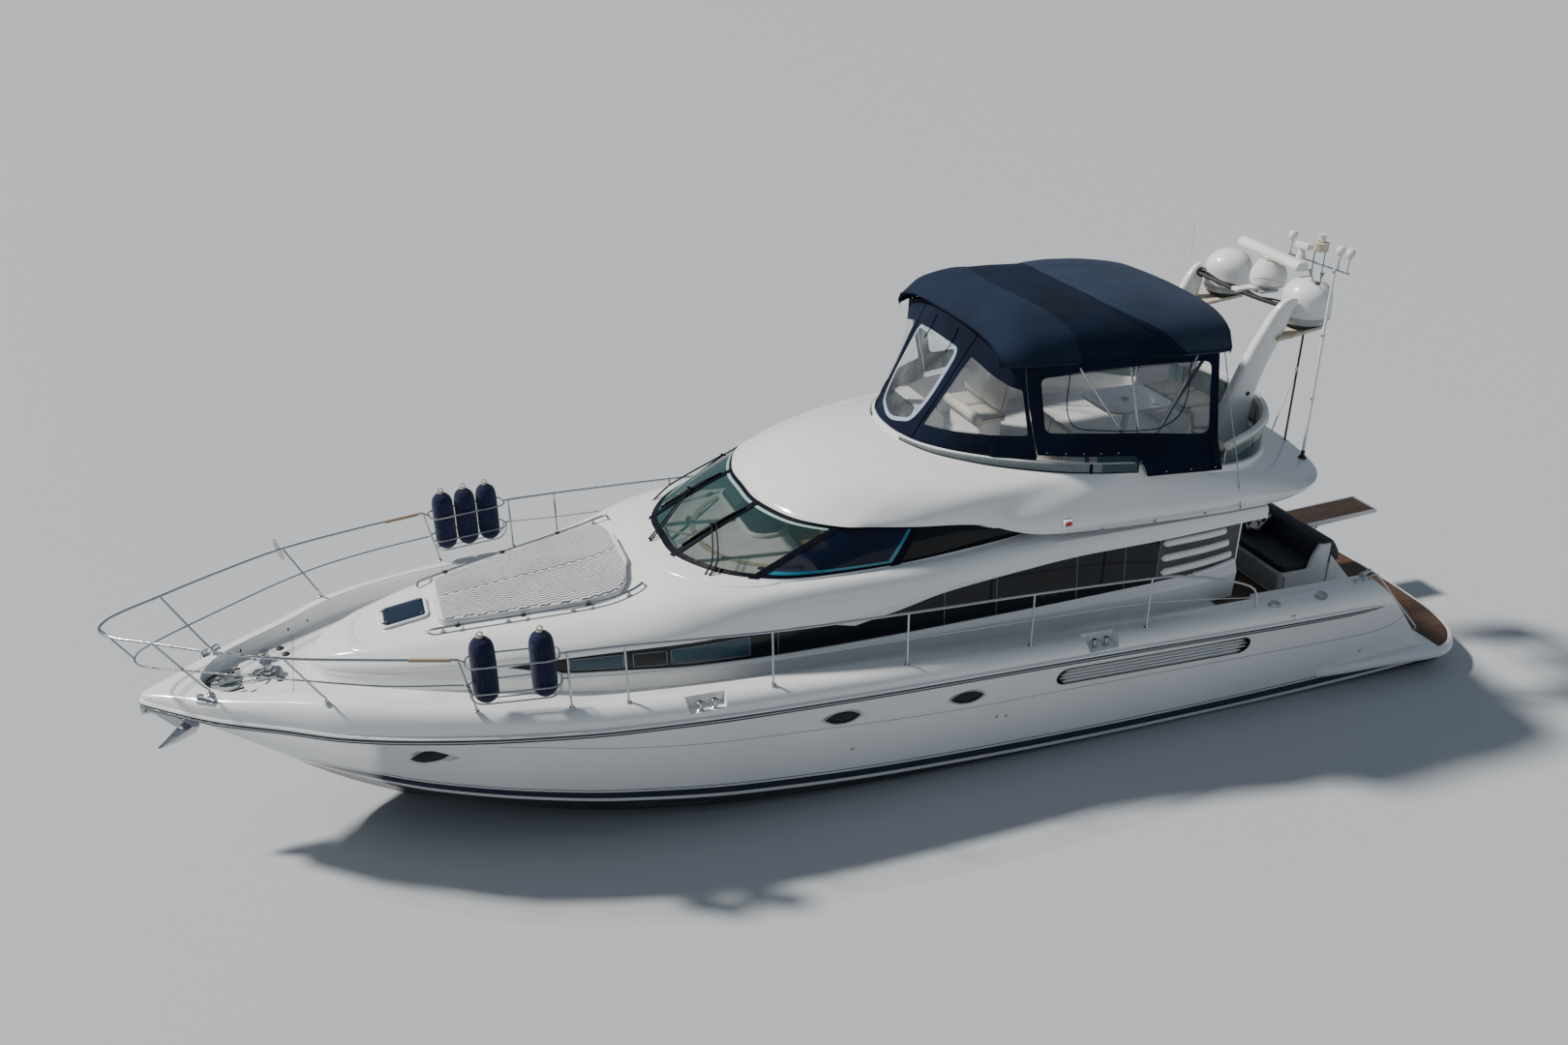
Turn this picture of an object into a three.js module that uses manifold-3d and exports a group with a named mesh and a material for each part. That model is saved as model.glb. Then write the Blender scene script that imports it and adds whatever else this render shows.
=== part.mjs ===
// A flybridge motor yacht as an assembly of separate solids, in millimetres.
// +X is forward, +Y is port, +Z is up; the origin is on the waterline amidships.
import * as THREE from "three";
import { mergeVertices } from "three/addons/utils/BufferGeometryUtils.js";
import Module from "manifold-3d";

const wasm = await Module();
wasm.setup();

// Driving dimensions
const GAP = 0.3; // between pieces that touch
const HULL_AFT = -8550;
const TRANSOM_TOP_X = -6950;
const TRANSOM_FOOT_X = -8230;
const PLATFORM_TOP = 430;
const PLATFORM_THICK = 150;
const BULKHEAD_X = -4900;
const SALON_SOLE = 1250;
const COCKPIT_SOLE = 1000;
const FLY_DECK = 3420;
const KEEL_FLAT = -930;
const PASSERELLE = { x: -7520, z: 1290, y: -475, half: 270, end: -9150, lift: 60 };
const STRUT = { x: -7860, z: 800, eyeX: -8420, eyeZ: 1215 };
const RUDDER = { x: -7700, y: 850, stock: 40.8, top: -575, low: -1160 };
const SHAFT = { y: 900, slope: 9.5, propX: -6950, propZ: -900, radius: 35, propRadius: 355 };

// Hull stations: x, half beam at the rub rail, rub rail z, cap z, chine half beam, chine z, keel z
const HULL = [
  [8640, 60, 1990, 2100, 20, 1975, 1955],
  [8340, 330, 1975, 2150, 90, 1800, 1740],
  [7820, 720, 1960, 2200, 170, 1450, 1370],
  [7160, 1100, 1945, 2260, 330, 1050, 780],
  [6500, 1490, 1930, 2310, 560, 780, 290],
  [5600, 1850, 1915, 2270, 950, 520, -200],
  [4500, 2150, 1890, 2200, 1330, 330, -560],
  [3500, 2320, 1860, 2140, 1600, 230, -760],
  [2000, 2420, 1800, 2070, 1850, 150, -900],
  [0, 2450, 1720, 1970, 1980, 90, -960],
  [-3000, 2440, 1600, 1830, 2040, 60, -900],
  [-6000, 2400, 1450, 1730, 2060, 50, -780],
  [-7000, 2380, 1420, 1710, 2060, 50, -740],
  [HULL_AFT, 2300, 1390, 1700, 2040, 50, -680],
];

// Deck inside the bulwarks: x, deck z, half width of the well
const DECK = [
  [8020, 2030, 250],
  [7820, 2035, 430],
  [7160, 2060, 800],
  [6500, 2075, 1170],
  [5600, 2050, 1520],
  [4500, 1995, 1810],
  [3500, 1930, 1980],
  [2000, 1875, 2080],
  [0, 1800, 2110],
  [-3000, 1680, 2100],
  [-5000, 1600, 2070],
];

// Deckhouse stations: x, half width at the foot, at the window ledge, at the wing, at the shoulder,
// then z of the ledge, the wing's lower edge, the shoulder and the crown
const HOUSE = [
  [6820, 120, 110, 105, 80, 2120, 2150, 2190, 2215],
  [6650, 400, 380, 370, 320, 2150, 2200, 2280, 2340],
  [6300, 660, 640, 620, 540, 2180, 2240, 2350, 2440],
  [5800, 900, 880, 860, 770, 2200, 2270, 2400, 2530],
  [5200, 1120, 1100, 1080, 980, 2200, 2300, 2450, 2610],
  [4400, 1360, 1340, 1320, 1210, 2190, 2340, 2540, 2690],
  [3400, 1580, 1580, 1580, 1450, 2170, 2400, 2660, 2800],
  [2500, 1690, 1740, 1770, 1680, 2140, 2440, 2800, 3020],
  [1500, 1730, 1800, 1880, 1840, 2110, 2450, 2930, 3050],
  [500, 1740, 1810, 1950, 1900, 2090, 2560, 2990, 3055],
  [-500, 1740, 1810, 2010, 1950, 2080, 2740, 3040, 3080],
  [-1850, 1740, 1810, 2080, 2060, 2080, 2850, 3120, 3190],
  [-3400, 1740, 1810, 2130, 2140, 2100, 2930, 3150, 3190],
  [-4960, 1700, 1800, 2160, 2170, 2140, 2990, 3160, 3190],
];

// Windscreen, port half from the centreline aft: foot x, y, z and head x, y, z
const SCREEN = [
  [2470, 0, 3050, 1380, 0, 3560],
  [2430, 560, 3050, 1350, 530, 3555],
  [2120, 1130, 3050, 1110, 1130, 3545],
  [1690, 1480, 3052, 680, 1500, 3530],
  [1150, 1680, 3055, 300, 1600, 3505],
  [50, 1760, 3065, -220, 1690, 3465],
  [-940, 1790, 3130, -1000, 1765, 3400],
  [-1790, 1800, 3205, -1790, 1795, 3235],
];

// Roof rings, port half from the bow aft: x, y, z of the lower edge, the belly and the coaming's foot,
// then z of the coaming's top
const ROOF = [
  [1400, 0, 3580, 1330, 0, 3650, -500, 0, 4080, 4120],
  [1370, 540, 3575, 1290, 560, 3645, -560, 480, 4070, 4120],
  [1120, 1150, 3565, 1020, 1130, 3635, -760, 900, 4040, 4110],
  [690, 1530, 3550, 560, 1480, 3620, -1100, 1230, 4000, 4090],
  [300, 1640, 3525, 160, 1640, 3600, -1500, 1500, 3960, 4070],
  [-220, 1740, 3485, -360, 1770, 3570, -2000, 1760, 3930, 4050],
  [-1000, 1840, 3420, -1100, 1890, 3520, -2500, 1920, 3900, 4020],
  [-1800, 2040, 3250, -1850, 2090, 3420, -3000, 2010, 3870, 3990],
  [-3400, 2140, 3200, -3400, 2200, 3370, -3700, 2040, 3770, 3860],
  [-4900, 2170, 3200, -4900, 2240, 3370, -4350, 2000, 3670, 3760],
  [-5450, 2140, 3290, -5480, 2220, 3390, -4950, 1780, 3560, 3700],
  [-5800, 1800, 3350, -5850, 1880, 3440, -5400, 1380, 3520, 3680],
  [-6020, 1000, 3380, -6080, 1040, 3470, -5720, 760, 3510, 3680],
  [-6080, 0, 3390, -6150, 0, 3480, -5800, 0, 3510, 3680],
];

// Flybridge curtains, port half from the front aft: foot x, y, z and head x, y, z
const CURTAIN = [
  [-560, 0, 4120, -1400, 0, 5530],
  [-620, 500, 4120, -1420, 500, 5490],
  [-830, 900, 4110, -1460, 1000, 5390],
  [-1180, 1230, 4090, -1500, 1380, 5300],
  [-1640, 1500, 4065, -1640, 1600, 5250],
  [-2300, 1790, 4030, -2400, 1615, 5230],
  [-3040, 1960, 3990, -3100, 1610, 5200],
  [-4210, 1970, 3780, -4340, 1565, 5120],
];

// Canopy stations: x, half width and z of its edge, z of its crown
const CANOPY = [
  [-1330, 1480, 5290, 5540],
  [-1680, 1640, 5290, 5750],
  [-2200, 1670, 5270, 5830],
  [-3400, 1660, 5210, 5770],
  [-4300, 1620, 5150, 5690],
  [-4520, 1580, 5140, 5600],
];

// Shared shape helpers

// A three.js geometry as a solid whose faces point out
function solid(geometry) {
  const bare = geometry.index ? geometry.toNonIndexed() : geometry.clone();
  bare.deleteAttribute("normal");
  bare.deleteAttribute("uv");
  const merged = mergeVertices(bare, 1e-3);
  const faces = new Uint32Array(merged.index.array);
  const make = () =>
    new wasm.Manifold(
      new wasm.Mesh({ numProp: 3, vertProperties: merged.attributes.position.array, triVerts: faces }),
    );
  const made = make();
  if (made.volume() >= 0) return made;
  for (let i = 0; i < faces.length; i += 3) [faces[i + 1], faces[i + 2]] = [faces[i + 2], faces[i + 1]];
  return make();
}

// A solid back as a geometry to draw
function geometryOf(body) {
  const mesh = body.getMesh();
  const geometry = new THREE.BufferGeometry();
  const points = new Float32Array(mesh.vertProperties);
  geometry.setAttribute("position", new THREE.BufferAttribute(points, 3));
  geometry.setIndex(new THREE.BufferAttribute(new Uint32Array(mesh.triVerts), 1));
  geometry.computeVertexNormals();
  return geometry;
}

const join = (...bodies) => bodies.flat().reduce((all, next) => all.add(next));
const mirrored = (body) => body.mirror([0, 1, 0]);
const bothSides = (body) => body.add(mirrored(body));

// Linear interpolation of one row of a table at x, the table running from high x to low x
function rowAt(table, x) {
  let i = 0;
  while (i < table.length - 2 && x < table[i + 1][0]) i += 1;
  const [a, b] = [table[i], table[i + 1]];
  const t = (x - a[0]) / (b[0] - a[0]);
  return a.map((value, k) => value + (b[k] - value) * t);
}

// A solid through rings of points, each ring having as many points; both ends are capped. The second
// half of each ring splits its quads the other way, so that port and starboard are mirror images.
function loft(rings, flatten = (p) => new THREE.Vector2(p.x, p.y)) {
  const count = rings[0].length;
  const points = rings.flat();
  const faces = [];
  for (let r = 0; r + 1 < rings.length; r += 1) {
    for (let i = 0; i < count; i += 1) {
      const j = (i + 1) % count;
      const [a, b, c, d] = [r * count + i, r * count + j, (r + 1) * count + j, (r + 1) * count + i];
      if (i < count / 2) faces.push(a, b, c, a, c, d);
      else faces.push(a, b, d, b, c, d);
    }
  }
  const last = (rings.length - 1) * count;
  const cap = THREE.ShapeUtils.triangulateShape(rings[0].map(flatten), []);
  const capEnd = THREE.ShapeUtils.triangulateShape(rings.at(-1).map(flatten), []);
  const clockwise = THREE.ShapeUtils.isClockWise(rings[0].map(flatten)) ? -1 : 1;
  const orient = (t) => (clockwise > 0 ? t : [t[0], t[2], t[1]]);
  for (const t of cap) faces.push(...orient([t[0], t[2], t[1]]));
  for (const t of capEnd) faces.push(...orient(t).map((k) => k + last));
  const geometry = new THREE.BufferGeometry().setFromPoints(points);
  geometry.setIndex(faces);
  return solid(geometry);
}

// A closed ring across the boat from its port half, which runs from the lower centreline to the upper one
function acrossRing(x, half) {
  const port = half.map(([y, z]) => new THREE.Vector3(x, y, z));
  const starboard = half
    .filter(([y]) => y > 0)
    .map(([y, z]) => new THREE.Vector3(x, -y, z))
    .reverse();
  return [...port, ...starboard];
}
const acrossPlane = (p) => new THREE.Vector2(p.y, p.z);

// A closed ring round the boat from its port half, which runs from the bow's centreline aft
function roundRing(half) {
  const port = half.map(([x, y, z]) => new THREE.Vector3(x, y, z));
  const starboard = half
    .filter(([, y]) => y > 0)
    .map(([x, y, z]) => new THREE.Vector3(x, -y, z))
    .reverse();
  return [...port, ...starboard];
}

function block(x0, x1, y0, y1, z0, z1) {
  const box = new THREE.BoxGeometry(x1 - x0, y1 - y0, z1 - z0);
  box.translate((x0 + x1) / 2, (y0 + y1) / 2, (z0 + z1) / 2);
  return solid(box);
}

// A plan outline of [x, y] raised from z0 to z1
function slab(outline, z0, z1) {
  const shape = new THREE.Shape(outline.map(([x, y]) => new THREE.Vector2(x, y)));
  const raised = new THREE.ExtrudeGeometry(shape, { depth: z1 - z0, bevelEnabled: false });
  return solid(raised.translate(0, 0, z0));
}

// A side outline of [x, z] carried from y0 to y1
function sideSlab(outline, y0, y1) {
  const shape = new THREE.Shape(outline.map(([x, z]) => new THREE.Vector2(x, z)));
  const carried = new THREE.ExtrudeGeometry(shape, { depth: y1 - y0, bevelEnabled: false });
  return solid(carried.rotateX(Math.PI / 2).translate(0, y1, 0));
}

// A rectangle with round corners as a plan outline
function roundedOutline(x0, x1, y0, y1, radius, steps = 4) {
  const corners = [
    [x1 - radius, y1 - radius, 0],
    [x0 + radius, y1 - radius, 1],
    [x0 + radius, y0 + radius, 2],
    [x1 - radius, y0 + radius, 3],
  ];
  return corners.flatMap(([cx, cy, quarter]) =>
    Array.from({ length: steps + 1 }, (_, i) => {
      const angle = ((quarter + i / steps) * Math.PI) / 2;
      return [cx + radius * Math.cos(angle), cy + radius * Math.sin(angle)];
    }),
  );
}

// A round bar along points with mitred corners, closed into a ring or capped at its ends
function sweep(points, radius, sides, closed = false) {
  const count = points.length;
  const at = (i) => points[closed ? (i + count) % count : Math.min(Math.max(i, 0), count - 1)];
  const towards = (i) => at(i + 1).clone().sub(at(i - 1)).normalize();
  const first = towards(0);
  let side = Math.abs(first.z) < 0.9 ? new THREE.Vector3(0, 0, 1) : new THREE.Vector3(1, 0, 0);
  const corners = points.flatMap((point, i) => {
    const along = towards(i);
    side = side.addScaledVector(along, -side.dot(along)).normalize();
    const up = along.clone().cross(side);
    const straight = at(i + 1).clone().sub(point).normalize();
    const stretch = straight.lengthSq() > 0 ? 1 / Math.max(0.6, along.dot(straight)) : 1;
    return Array.from({ length: sides }, (_, k) => {
      const angle = ((k + 0.5) / sides) * 2 * Math.PI;
      const reach = radius * (closed ? stretch : 1);
      return point.clone().addScaledVector(side, radius * Math.cos(angle)).addScaledVector(up, reach * Math.sin(angle));
    });
  });
  const faces = [];
  for (let i = 0; i < (closed ? count : count - 1); i += 1) {
    for (let k = 0; k < sides; k += 1) {
      const m = (k + 1) % sides;
      const next = ((i + 1) % count) * sides;
      faces.push(i * sides + k, i * sides + m, next + m, i * sides + k, next + m, next + k);
    }
  }
  for (let k = 1; k + 1 < sides && !closed; k += 1) {
    const last = (count - 1) * sides;
    faces.push(0, k + 1, k, last, last + k, last + k + 1);
  }
  const geometry = new THREE.BufferGeometry().setFromPoints(corners);
  geometry.setIndex(faces);
  return solid(geometry);
}
const vectorsOf = (points) => points.map((p) => new THREE.Vector3(...p));

// A round tube through points, its bends softened by the curve
function tube(points, radius, { steps = 2, sides = 6 } = {}) {
  const curve = new THREE.CatmullRomCurve3(vectorsOf(points), false, "centripetal");
  const spans = Math.round((points.length - 1) * steps);
  return sweep(curve.getPoints(spans), radius, sides);
}
const rod = (from, to, radius, sides = 6) => sweep(vectorsOf([from, to]), radius, sides);

// A turned solid from a profile of [radius, height] about +Z, moved to x, y, z
function turned(profile, x, y, z, sides = 16) {
  const lathe = new THREE.LatheGeometry(
    profile.map(([r, h]) => new THREE.Vector2(r, h)),
    sides,
  );
  return solid(lathe.rotateX(Math.PI / 2).translate(x, y, z));
}

// Materials
const MATERIALS = {
  gelcoat: { color: 0xe9e8e4, roughness: 0.22, metalness: 0 },
  glass: { color: 0x32414a, roughness: 0.06, metalness: 0 },
  darkGlass: { color: 0x0f1418, roughness: 0.06, metalness: 0 },
  steel: { color: 0xc9ccce, roughness: 0.18, metalness: 1 },
  teak: { color: 0x3d2618, roughness: 0.7, metalness: 0 },
  canvas: { color: 0x101a2c, roughness: 0.9, metalness: 0 },
  vinyl: { color: 0xdedad2, roughness: 0.5, metalness: 0 },
  sunbed: { color: 0x9a948c, roughness: 0.85, metalness: 0 },
  navyLeather: { color: 0x0d1322, roughness: 0.45, metalness: 0 },
  rubber: { color: 0x15181c, roughness: 0.6, metalness: 0 },
  bronze: { color: 0xa9793a, roughness: 0.35, metalness: 1 },
  domeWhite: { color: 0xf1f1ef, roughness: 0.3, metalness: 0 },
};
const yacht = new THREE.Group();
const solids = {};

// Keeps a solid under its name and adds it to the model
function piece(name, material, body) {
  const mesh = new THREE.Mesh(geometryOf(body), new THREE.MeshStandardMaterial(MATERIALS[material]));
  mesh.name = name;
  solids[name] = body;
  yacht.add(mesh);
  return body;
}
const raised = (body, dz = GAP) => body.translate([0, 0, dz]);

// Hull: a solid with a raked stem, a chine, a rounded cap above the rub rail, and wells for the decks
function hullHalf([, b, rub, cap, chineY, chineZ, keelZ]) {
  const height = cap - rub;
  const inset = (d) => Math.max(b - d * Math.min(1, b / 900), b * 0.3);
  const flare = Math.max(0, 170 * (1 - b / 2450) * Math.min(1, b / 700));
  const side = [0.35, 0.7].map((t) => [
    chineY + (b - chineY) * t - flare * Math.sin(Math.PI * t),
    chineZ + (rub - chineZ) * t,
  ]);
  return [
    [0, keelZ],
    [chineY * 0.55, keelZ + (chineZ - keelZ) * 0.5],
    [chineY * 0.96, chineZ - 12],
    [chineY, chineZ],
    ...side,
    [b, rub],
    [inset(4), rub + height * 0.45],
    [inset(60), rub + height * 0.8],
    [inset(140), rub + height * 0.96],
    [inset(250), cap],
    [0, cap],
  ];
}

function hull() {
  const body = loft(
    HULL.map((row) => acrossRing(row[0], hullHalf(row))),
    acrossPlane,
  );
  const deckWell = loft(
    DECK.map(([x, z, half]) => acrossRing(x, [[0, z], [half, z], [half, 3000], [0, 3000]])),
    acrossPlane,
  );
  const salonWell = block(BULKHEAD_X + 60, 1000, -1560, 1560, SALON_SOLE, 3000);
  const cockpitWell = block(-6980, BULKHEAD_X - 100, -1960, 1960, COCKPIT_SOLE, 3000);
  const sideGap = block(-5050, BULKHEAD_X - 90, -2060, 2060, 1500, 3000);
  const rake = sideSlab(
    [
      [TRANSOM_TOP_X, 1800],
      [TRANSOM_TOP_X, 1700],
      [TRANSOM_FOOT_X, PLATFORM_TOP - PLATFORM_THICK - 1],
      [HULL_AFT - 100, PLATFORM_TOP - PLATFORM_THICK - 1],
      [HULL_AFT - 100, 1800],
    ],
    -3000,
    3000,
  );
  const steps = join(
    block(-7400, -6900, 1260, 1960, COCKPIT_SOLE, 3000),
    block(-7800, -7300, 1260, 1960, 720, 3000),
  );
  const engineSpace = block(-6900, -5040, -1300, 1300, -100, COCKPIT_SOLE + 10);
  const doorSill = block(-5100, BULKHEAD_X + 70, -1000, 1000, SALON_SOLE, 3000);
  const sofaBack = block(-7300, -6900, -1250, 1255, 1520, 3000);
  const keelFlat = block(-9000, 9000, -3000, 3000, -1500, KEEL_FLAT);
  const bores = join(
    [1, -1].map((sign) => turned([[0, 0], [41.5, 0], [41.5, 520], [0, 520]], RUDDER.x, sign * RUDDER.y, -760, 24)),
  );
  const cut = body.subtract(
    join(deckWell, salonWell, cockpitWell, sideGap, rake, steps, engineSpace, doorSill, sofaBack, bores, keelFlat),
  );
  const lugs = [
    [PASSERELLE.x, PASSERELLE.z, 60, 212, 36.5],
    [STRUT.x, STRUT.z, 40, 32, 22.5],
  ].flatMap(([x, z, radius, offset, bore]) =>
    [-1, 1].map((side) => {
      const centre = PASSERELLE.y + side * (offset + 10);
      const cheek = sideSlab([[x - radius, z - radius], [x - radius, z + radius], [x + 330, z + radius], [x + 330, z - radius]], centre - 10, centre + 10);
      return cheek.subtract(rod([x, centre - 20, z], [x, centre + 20, z], bore, 20));
    }),
  );
  return join(cut, lugs);
}
piece("hull", "gelcoat", hull());

// Rub rail: a half-round strip along the joint of hull and deck, round the bow
function rubRail() {
  const rows = HULL.filter(([x]) => x > -7100);
  const out = 34;
  const rings = rows.map(([x, b, rub], i) => {
    const y = i === 0 ? b + 6 : b + 3;
    return [
      new THREE.Vector3(x, y, rub - 36),
      new THREE.Vector3(x, y + out, rub - 22),
      new THREE.Vector3(x, y + out, rub + 12),
      new THREE.Vector3(x, y + 1, rub + 26),
    ];
  });
  const port = loft(rings, acrossPlane);
  const nose = block(8636, 8690, -97, 97, 1956, 2010);
  return join(port, mirrored(port), nose).subtract(solids.hull);
}
piece("rub_rail", "rubber", rubRail());

// Swim platform: a moulded plate across the stern, its after corners round, with a teak deck laid in
const PLATFORM_OUTLINE = [
  [TRANSOM_FOOT_X, 2345],
  [-8400, 2300],
  [-8620, 2180],
  [-8860, 1900],
  [-9020, 1400],
  [-9090, 700],
  [-9105, 0],
];
const symmetric = (outline) => [
  ...outline,
  ...outline
    .filter(([, y]) => y > 0)
    .map(([x, y]) => [x, -y])
    .reverse(),
];
const platformAt = (inset) =>
  symmetric(PLATFORM_OUTLINE.map(([x, y]) => [x + (x < -8250 ? inset : 0), Math.max(0, y - inset)]));
function platform() {
  const plate = slab(platformAt(0), PLATFORM_TOP - PLATFORM_THICK, PLATFORM_TOP);
  return plate.subtract(join(solids.hull, solids.hull.translate([-GAP, 0, 0])));
}
piece("swim_platform", "gelcoat", platform());

// Deckhouse: the foredeck trunk and cabin sides in one moulding, hollow over the saloon
const WINDOW_BAND = [
  [4650, 2440],
  [4300, 2530],
  [3400, 2600],
  [2400, 2660],
  [1500, 2620],
  [1000, 2520],
  [640, 2420],
  [300, 2560],
  [-500, 2740],
  [-1850, 2850],
  [-3400, 2930],
  [-5100, 2995],
];
const SCREEN_PLAN = SCREEN.map(([x, y]) => [x, y]);

function houseHalf([, foot, ledge, wing, shoulder, ledgeZ, wingZ, shoulderZ, crown], deckZ) {
  return [
    [0, deckZ - 40],
    [foot, deckZ - 40],
    [ledge, ledgeZ],
    [wing, wingZ],
    [wing * 0.995, wingZ * 0.4 + shoulderZ * 0.6],
    [shoulder, shoulderZ],
    [shoulder * 0.93, shoulderZ * 0.45 + crown * 0.55],
    [shoulder * 0.6, crown - 12],
    [0, crown],
  ];
}

function house() {
  const outer = loft(
    HOUSE.map((row) => acrossRing(row[0], houseHalf(row, rowAt(DECK, row[0])[1]))),
    acrossPlane,
  );
  const underWing = sideSlab([...WINDOW_BAND, [-5100, 1400], [4650, 1400]], 1812, 2600);
  const inset = 75;
  const screenPlan = symmetric([
    ...SCREEN_PLAN.map(([x, y]) => [x > 0 ? x - inset : x, Math.max(0, y - inset)]),
    [BULKHEAD_X + 70, 1700],
    [BULKHEAD_X + 70, 0],
  ]);
  const upper = slab(screenPlan, 2760, 3400);
  const salon = block(BULKHEAD_X + 70, 1000, -1680, 1680, 1200, 2900);
  const doorway = block(-5100, BULKHEAD_X + 80, -1690, 1690, 1200, 3400);
  return outer
    .subtract(join(underWing, mirrored(underWing)))
    .subtract(join(upper, salon, doorway))
    .subtract(bothSides(sideSlab(SIDE_PANE, 1500, 1900)))
    .subtract(raised(solids.hull));
}

// Saloon window each side as an outline of x and z
const SIDE_PANE = [
  [400, 2170],
  [400, 2520],
  [-500, 2690],
  [-1850, 2800],
  [-3560, 2880],
  [-3560, 2190],
  [-1700, 2160],
];
const paneGrown = (grow) => {
  const [cx, cz] = [-1580, 2500];
  return SIDE_PANE.map(([x, z]) => [x + Math.sign(x - cx) * grow, z + Math.sign(z - cz) * grow]);
};
solids.deckhouse = house();
const sidePane = sideSlab(paneGrown(40), 1640, 1679.6);
piece("side_glass_port", "darkGlass", sidePane.subtract(solids.deckhouse));
piece("side_glass_starboard", "darkGlass", mirrored(solids.side_glass_port));

// Panels between a foot curve and a head curve, u along the rows and v from foot to head
const lerp = (a, b, t) => a + (b - a) * t;
function panelPoint(table, u, v, out) {
  const i = Math.min(table.length - 2, Math.floor(u));
  const row = table[i].map((value, k) => lerp(value, table[i + 1][k], u - i));
  const foot = new THREE.Vector3(...row.slice(0, 3));
  const head = new THREE.Vector3(...row.slice(3, 6));
  const along = new THREE.Vector3(...table[i + 1].slice(0, 3)).sub(new THREE.Vector3(...table[i].slice(0, 3)));
  const normal = along.cross(head.clone().sub(foot)).normalize();
  const point = foot.lerp(head, v).addScaledVector(normal, -out);
  return u === 0 ? point.setY(0) : point;
}
function panel(table, u0, u1, v0, v1, inner, outer) {
  const between = Array.from(table.keys()).filter((k) => k > u0 + 0.02 && k < u1 - 0.02);
  const rings = [u0, ...between, u1].map((u) => [
    panelPoint(table, u, v0, inner),
    panelPoint(table, u, v1, inner),
    panelPoint(table, u, v1, outer),
    panelPoint(table, u, v0, outer),
  ]);
  const e1 = rings[0][1].clone().sub(rings[0][0]).normalize();
  const across = e1.clone().cross(rings[0][3].clone().sub(rings[0][0])).normalize();
  const e2 = across.cross(e1);
  return loft(rings, (p) => new THREE.Vector2(p.dot(e1), p.dot(e2)));
}

// Roof: the hood, the flybridge's deck and coaming, and the overhang over the cockpit
function planInset(ring, distance) {
  return ring.map(([x, y, z], i) => {
    const before = i > 0 ? ring[i - 1] : [ring[1][0], -ring[1][1]];
    const after = i < ring.length - 1 ? ring[i + 1] : [ring[i - 1][0], -ring[i - 1][1]];
    const along = new THREE.Vector2(after[0] - before[0], after[1] - before[1]).normalize();
    const inY = y === 0 ? 0 : Math.max(1, y + along.x * distance);
    return [x + -along.y * distance, inY, z];
  });
}
function roof() {
  const lower = ROOF.map(([x, y, z]) => [x, y, z]);
  const belly = ROOF.map((row) => row.slice(3, 6));
  const foot = ROOF.map((row) => row.slice(6, 9));
  const ceiling = ROOF.map((row) => [lerp(row[0], row[6], 0.45), lerp(row[1], row[7], 0.45), FLY_DECK - 100]);
  const top = ROOF.map((row) => [row[6], row[7], row[9]]);
  const inner = planInset(top, 90);
  const deck = planInset(top, 110).map(([x, y]) => [x, y, FLY_DECK]);
  const lip = planInset(lower, 30).map(([x, y, z]) => [x, y, z + 10]);
  const rings = [ceiling, lip, lower, belly, foot, top, inner, deck];
  return loft(rings.map(roundRing));
}
piece("roof", "gelcoat", roof());
const below = (body) => body.translate([0, 0, -GAP]);

// The deckhouse reaches up to the roof aft of the windscreen
const riser = bothSides(block(BULKHEAD_X - 50, -1790, 1705, 1780, 3100, FLY_DECK - 40));
const deckhouse = solids.deckhouse.add(riser).subtract(join(below(solids.roof), solids.roof));
piece("deckhouse", "gelcoat", deckhouse);

// Windscreen frame and glass, the glass lying inside the frame
const MULLIONS = [1, 3, 5];
function screenFrame() {
  const strips = [
    panel(SCREEN, 0, 6.97, -0.14, 0.06, -6, 14),
    panel(SCREEN, 0, 6.97, 0.95, 1.06, -6, 14),
    panel(SCREEN, 6.8, 6.97, -0.14, 1.06, -6, 14),
    ...MULLIONS.map((u) => panel(SCREEN, u - 0.045, u + 0.045, -0.1, 1.02, -6, 14)),
  ];
  return bothSides(join(strips)).subtract(raised(solids.deckhouse)).subtract(below(solids.roof));
}
piece("windscreen_frame", "rubber", screenFrame());
const frameAround = join(
  [[0, 0, 0], [-GAP, 0, 0], [GAP, 0, 0]].map((move) => solids.windscreen_frame.translate(move)),
  [[0, -GAP, 0], [0, GAP, 0], [0, 0, -GAP]].map((move) => solids.windscreen_frame.translate(move)),
  raised(solids.deckhouse),
  below(solids.roof),
);
const centrePane = bothSides(panel(SCREEN, 0, 0.98, 0.01, 0.98, -18, -6.9));
piece("windscreen_centre", "glass", centrePane.subtract(frameAround));
const portPane = panel(SCREEN, 1.02, 6.9, 0.01, 0.98, -18, -7.2).subtract(frameAround);
piece("windscreen_port", "glass", portPane);
piece("windscreen_starboard", "glass", mirrored(portPane));

// Dash and lower helm behind the windscreen
const HELM_Y = -850;
function dash() {
  const plan = symmetric([
    ...SCREEN_PLAN.map(([x, y]) => [x > 0 ? x - 80 : x, Math.max(0, y - 80)]),
  ]).filter(([x]) => x > 0);
  const top = slab(plan, 2760 + GAP, 2940);
  const console = block(830, 1300, HELM_Y - 420, HELM_Y + 420, 2300, 2990);
  const face = block(1000 + GAP, 1300, -1500, 1500, 2300, 2800);
  const whole = join(top, console, face).subtract(join(solids.windscreen_frame, frameAround));
  return whole.intersect(block(700, 2600, -2000, 2000, 2200, 3000)).subtract(raised(solids.deckhouse, 0.01));
}

// A steering wheel with its hub facing aft, about the origin, its axis along x
function helmWheel(radius, grip) {
  const rim = solid(new THREE.TorusGeometry(radius, grip, 5, 16).rotateY(Math.PI / 2));
  const spokes = [90, 210, 330].map((degrees) => {
    const angle = (degrees * Math.PI) / 180;
    return rod([0, 0, 0], [0, radius * Math.cos(angle), radius * Math.sin(angle)], 9);
  });
  const hub = turned([[0, -12], [45, -12], [45, 30], [0, 30]], 0, 0, 0, 12).rotate([0, 90, 0]);
  return join(rim, hub, spokes);
}
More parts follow.
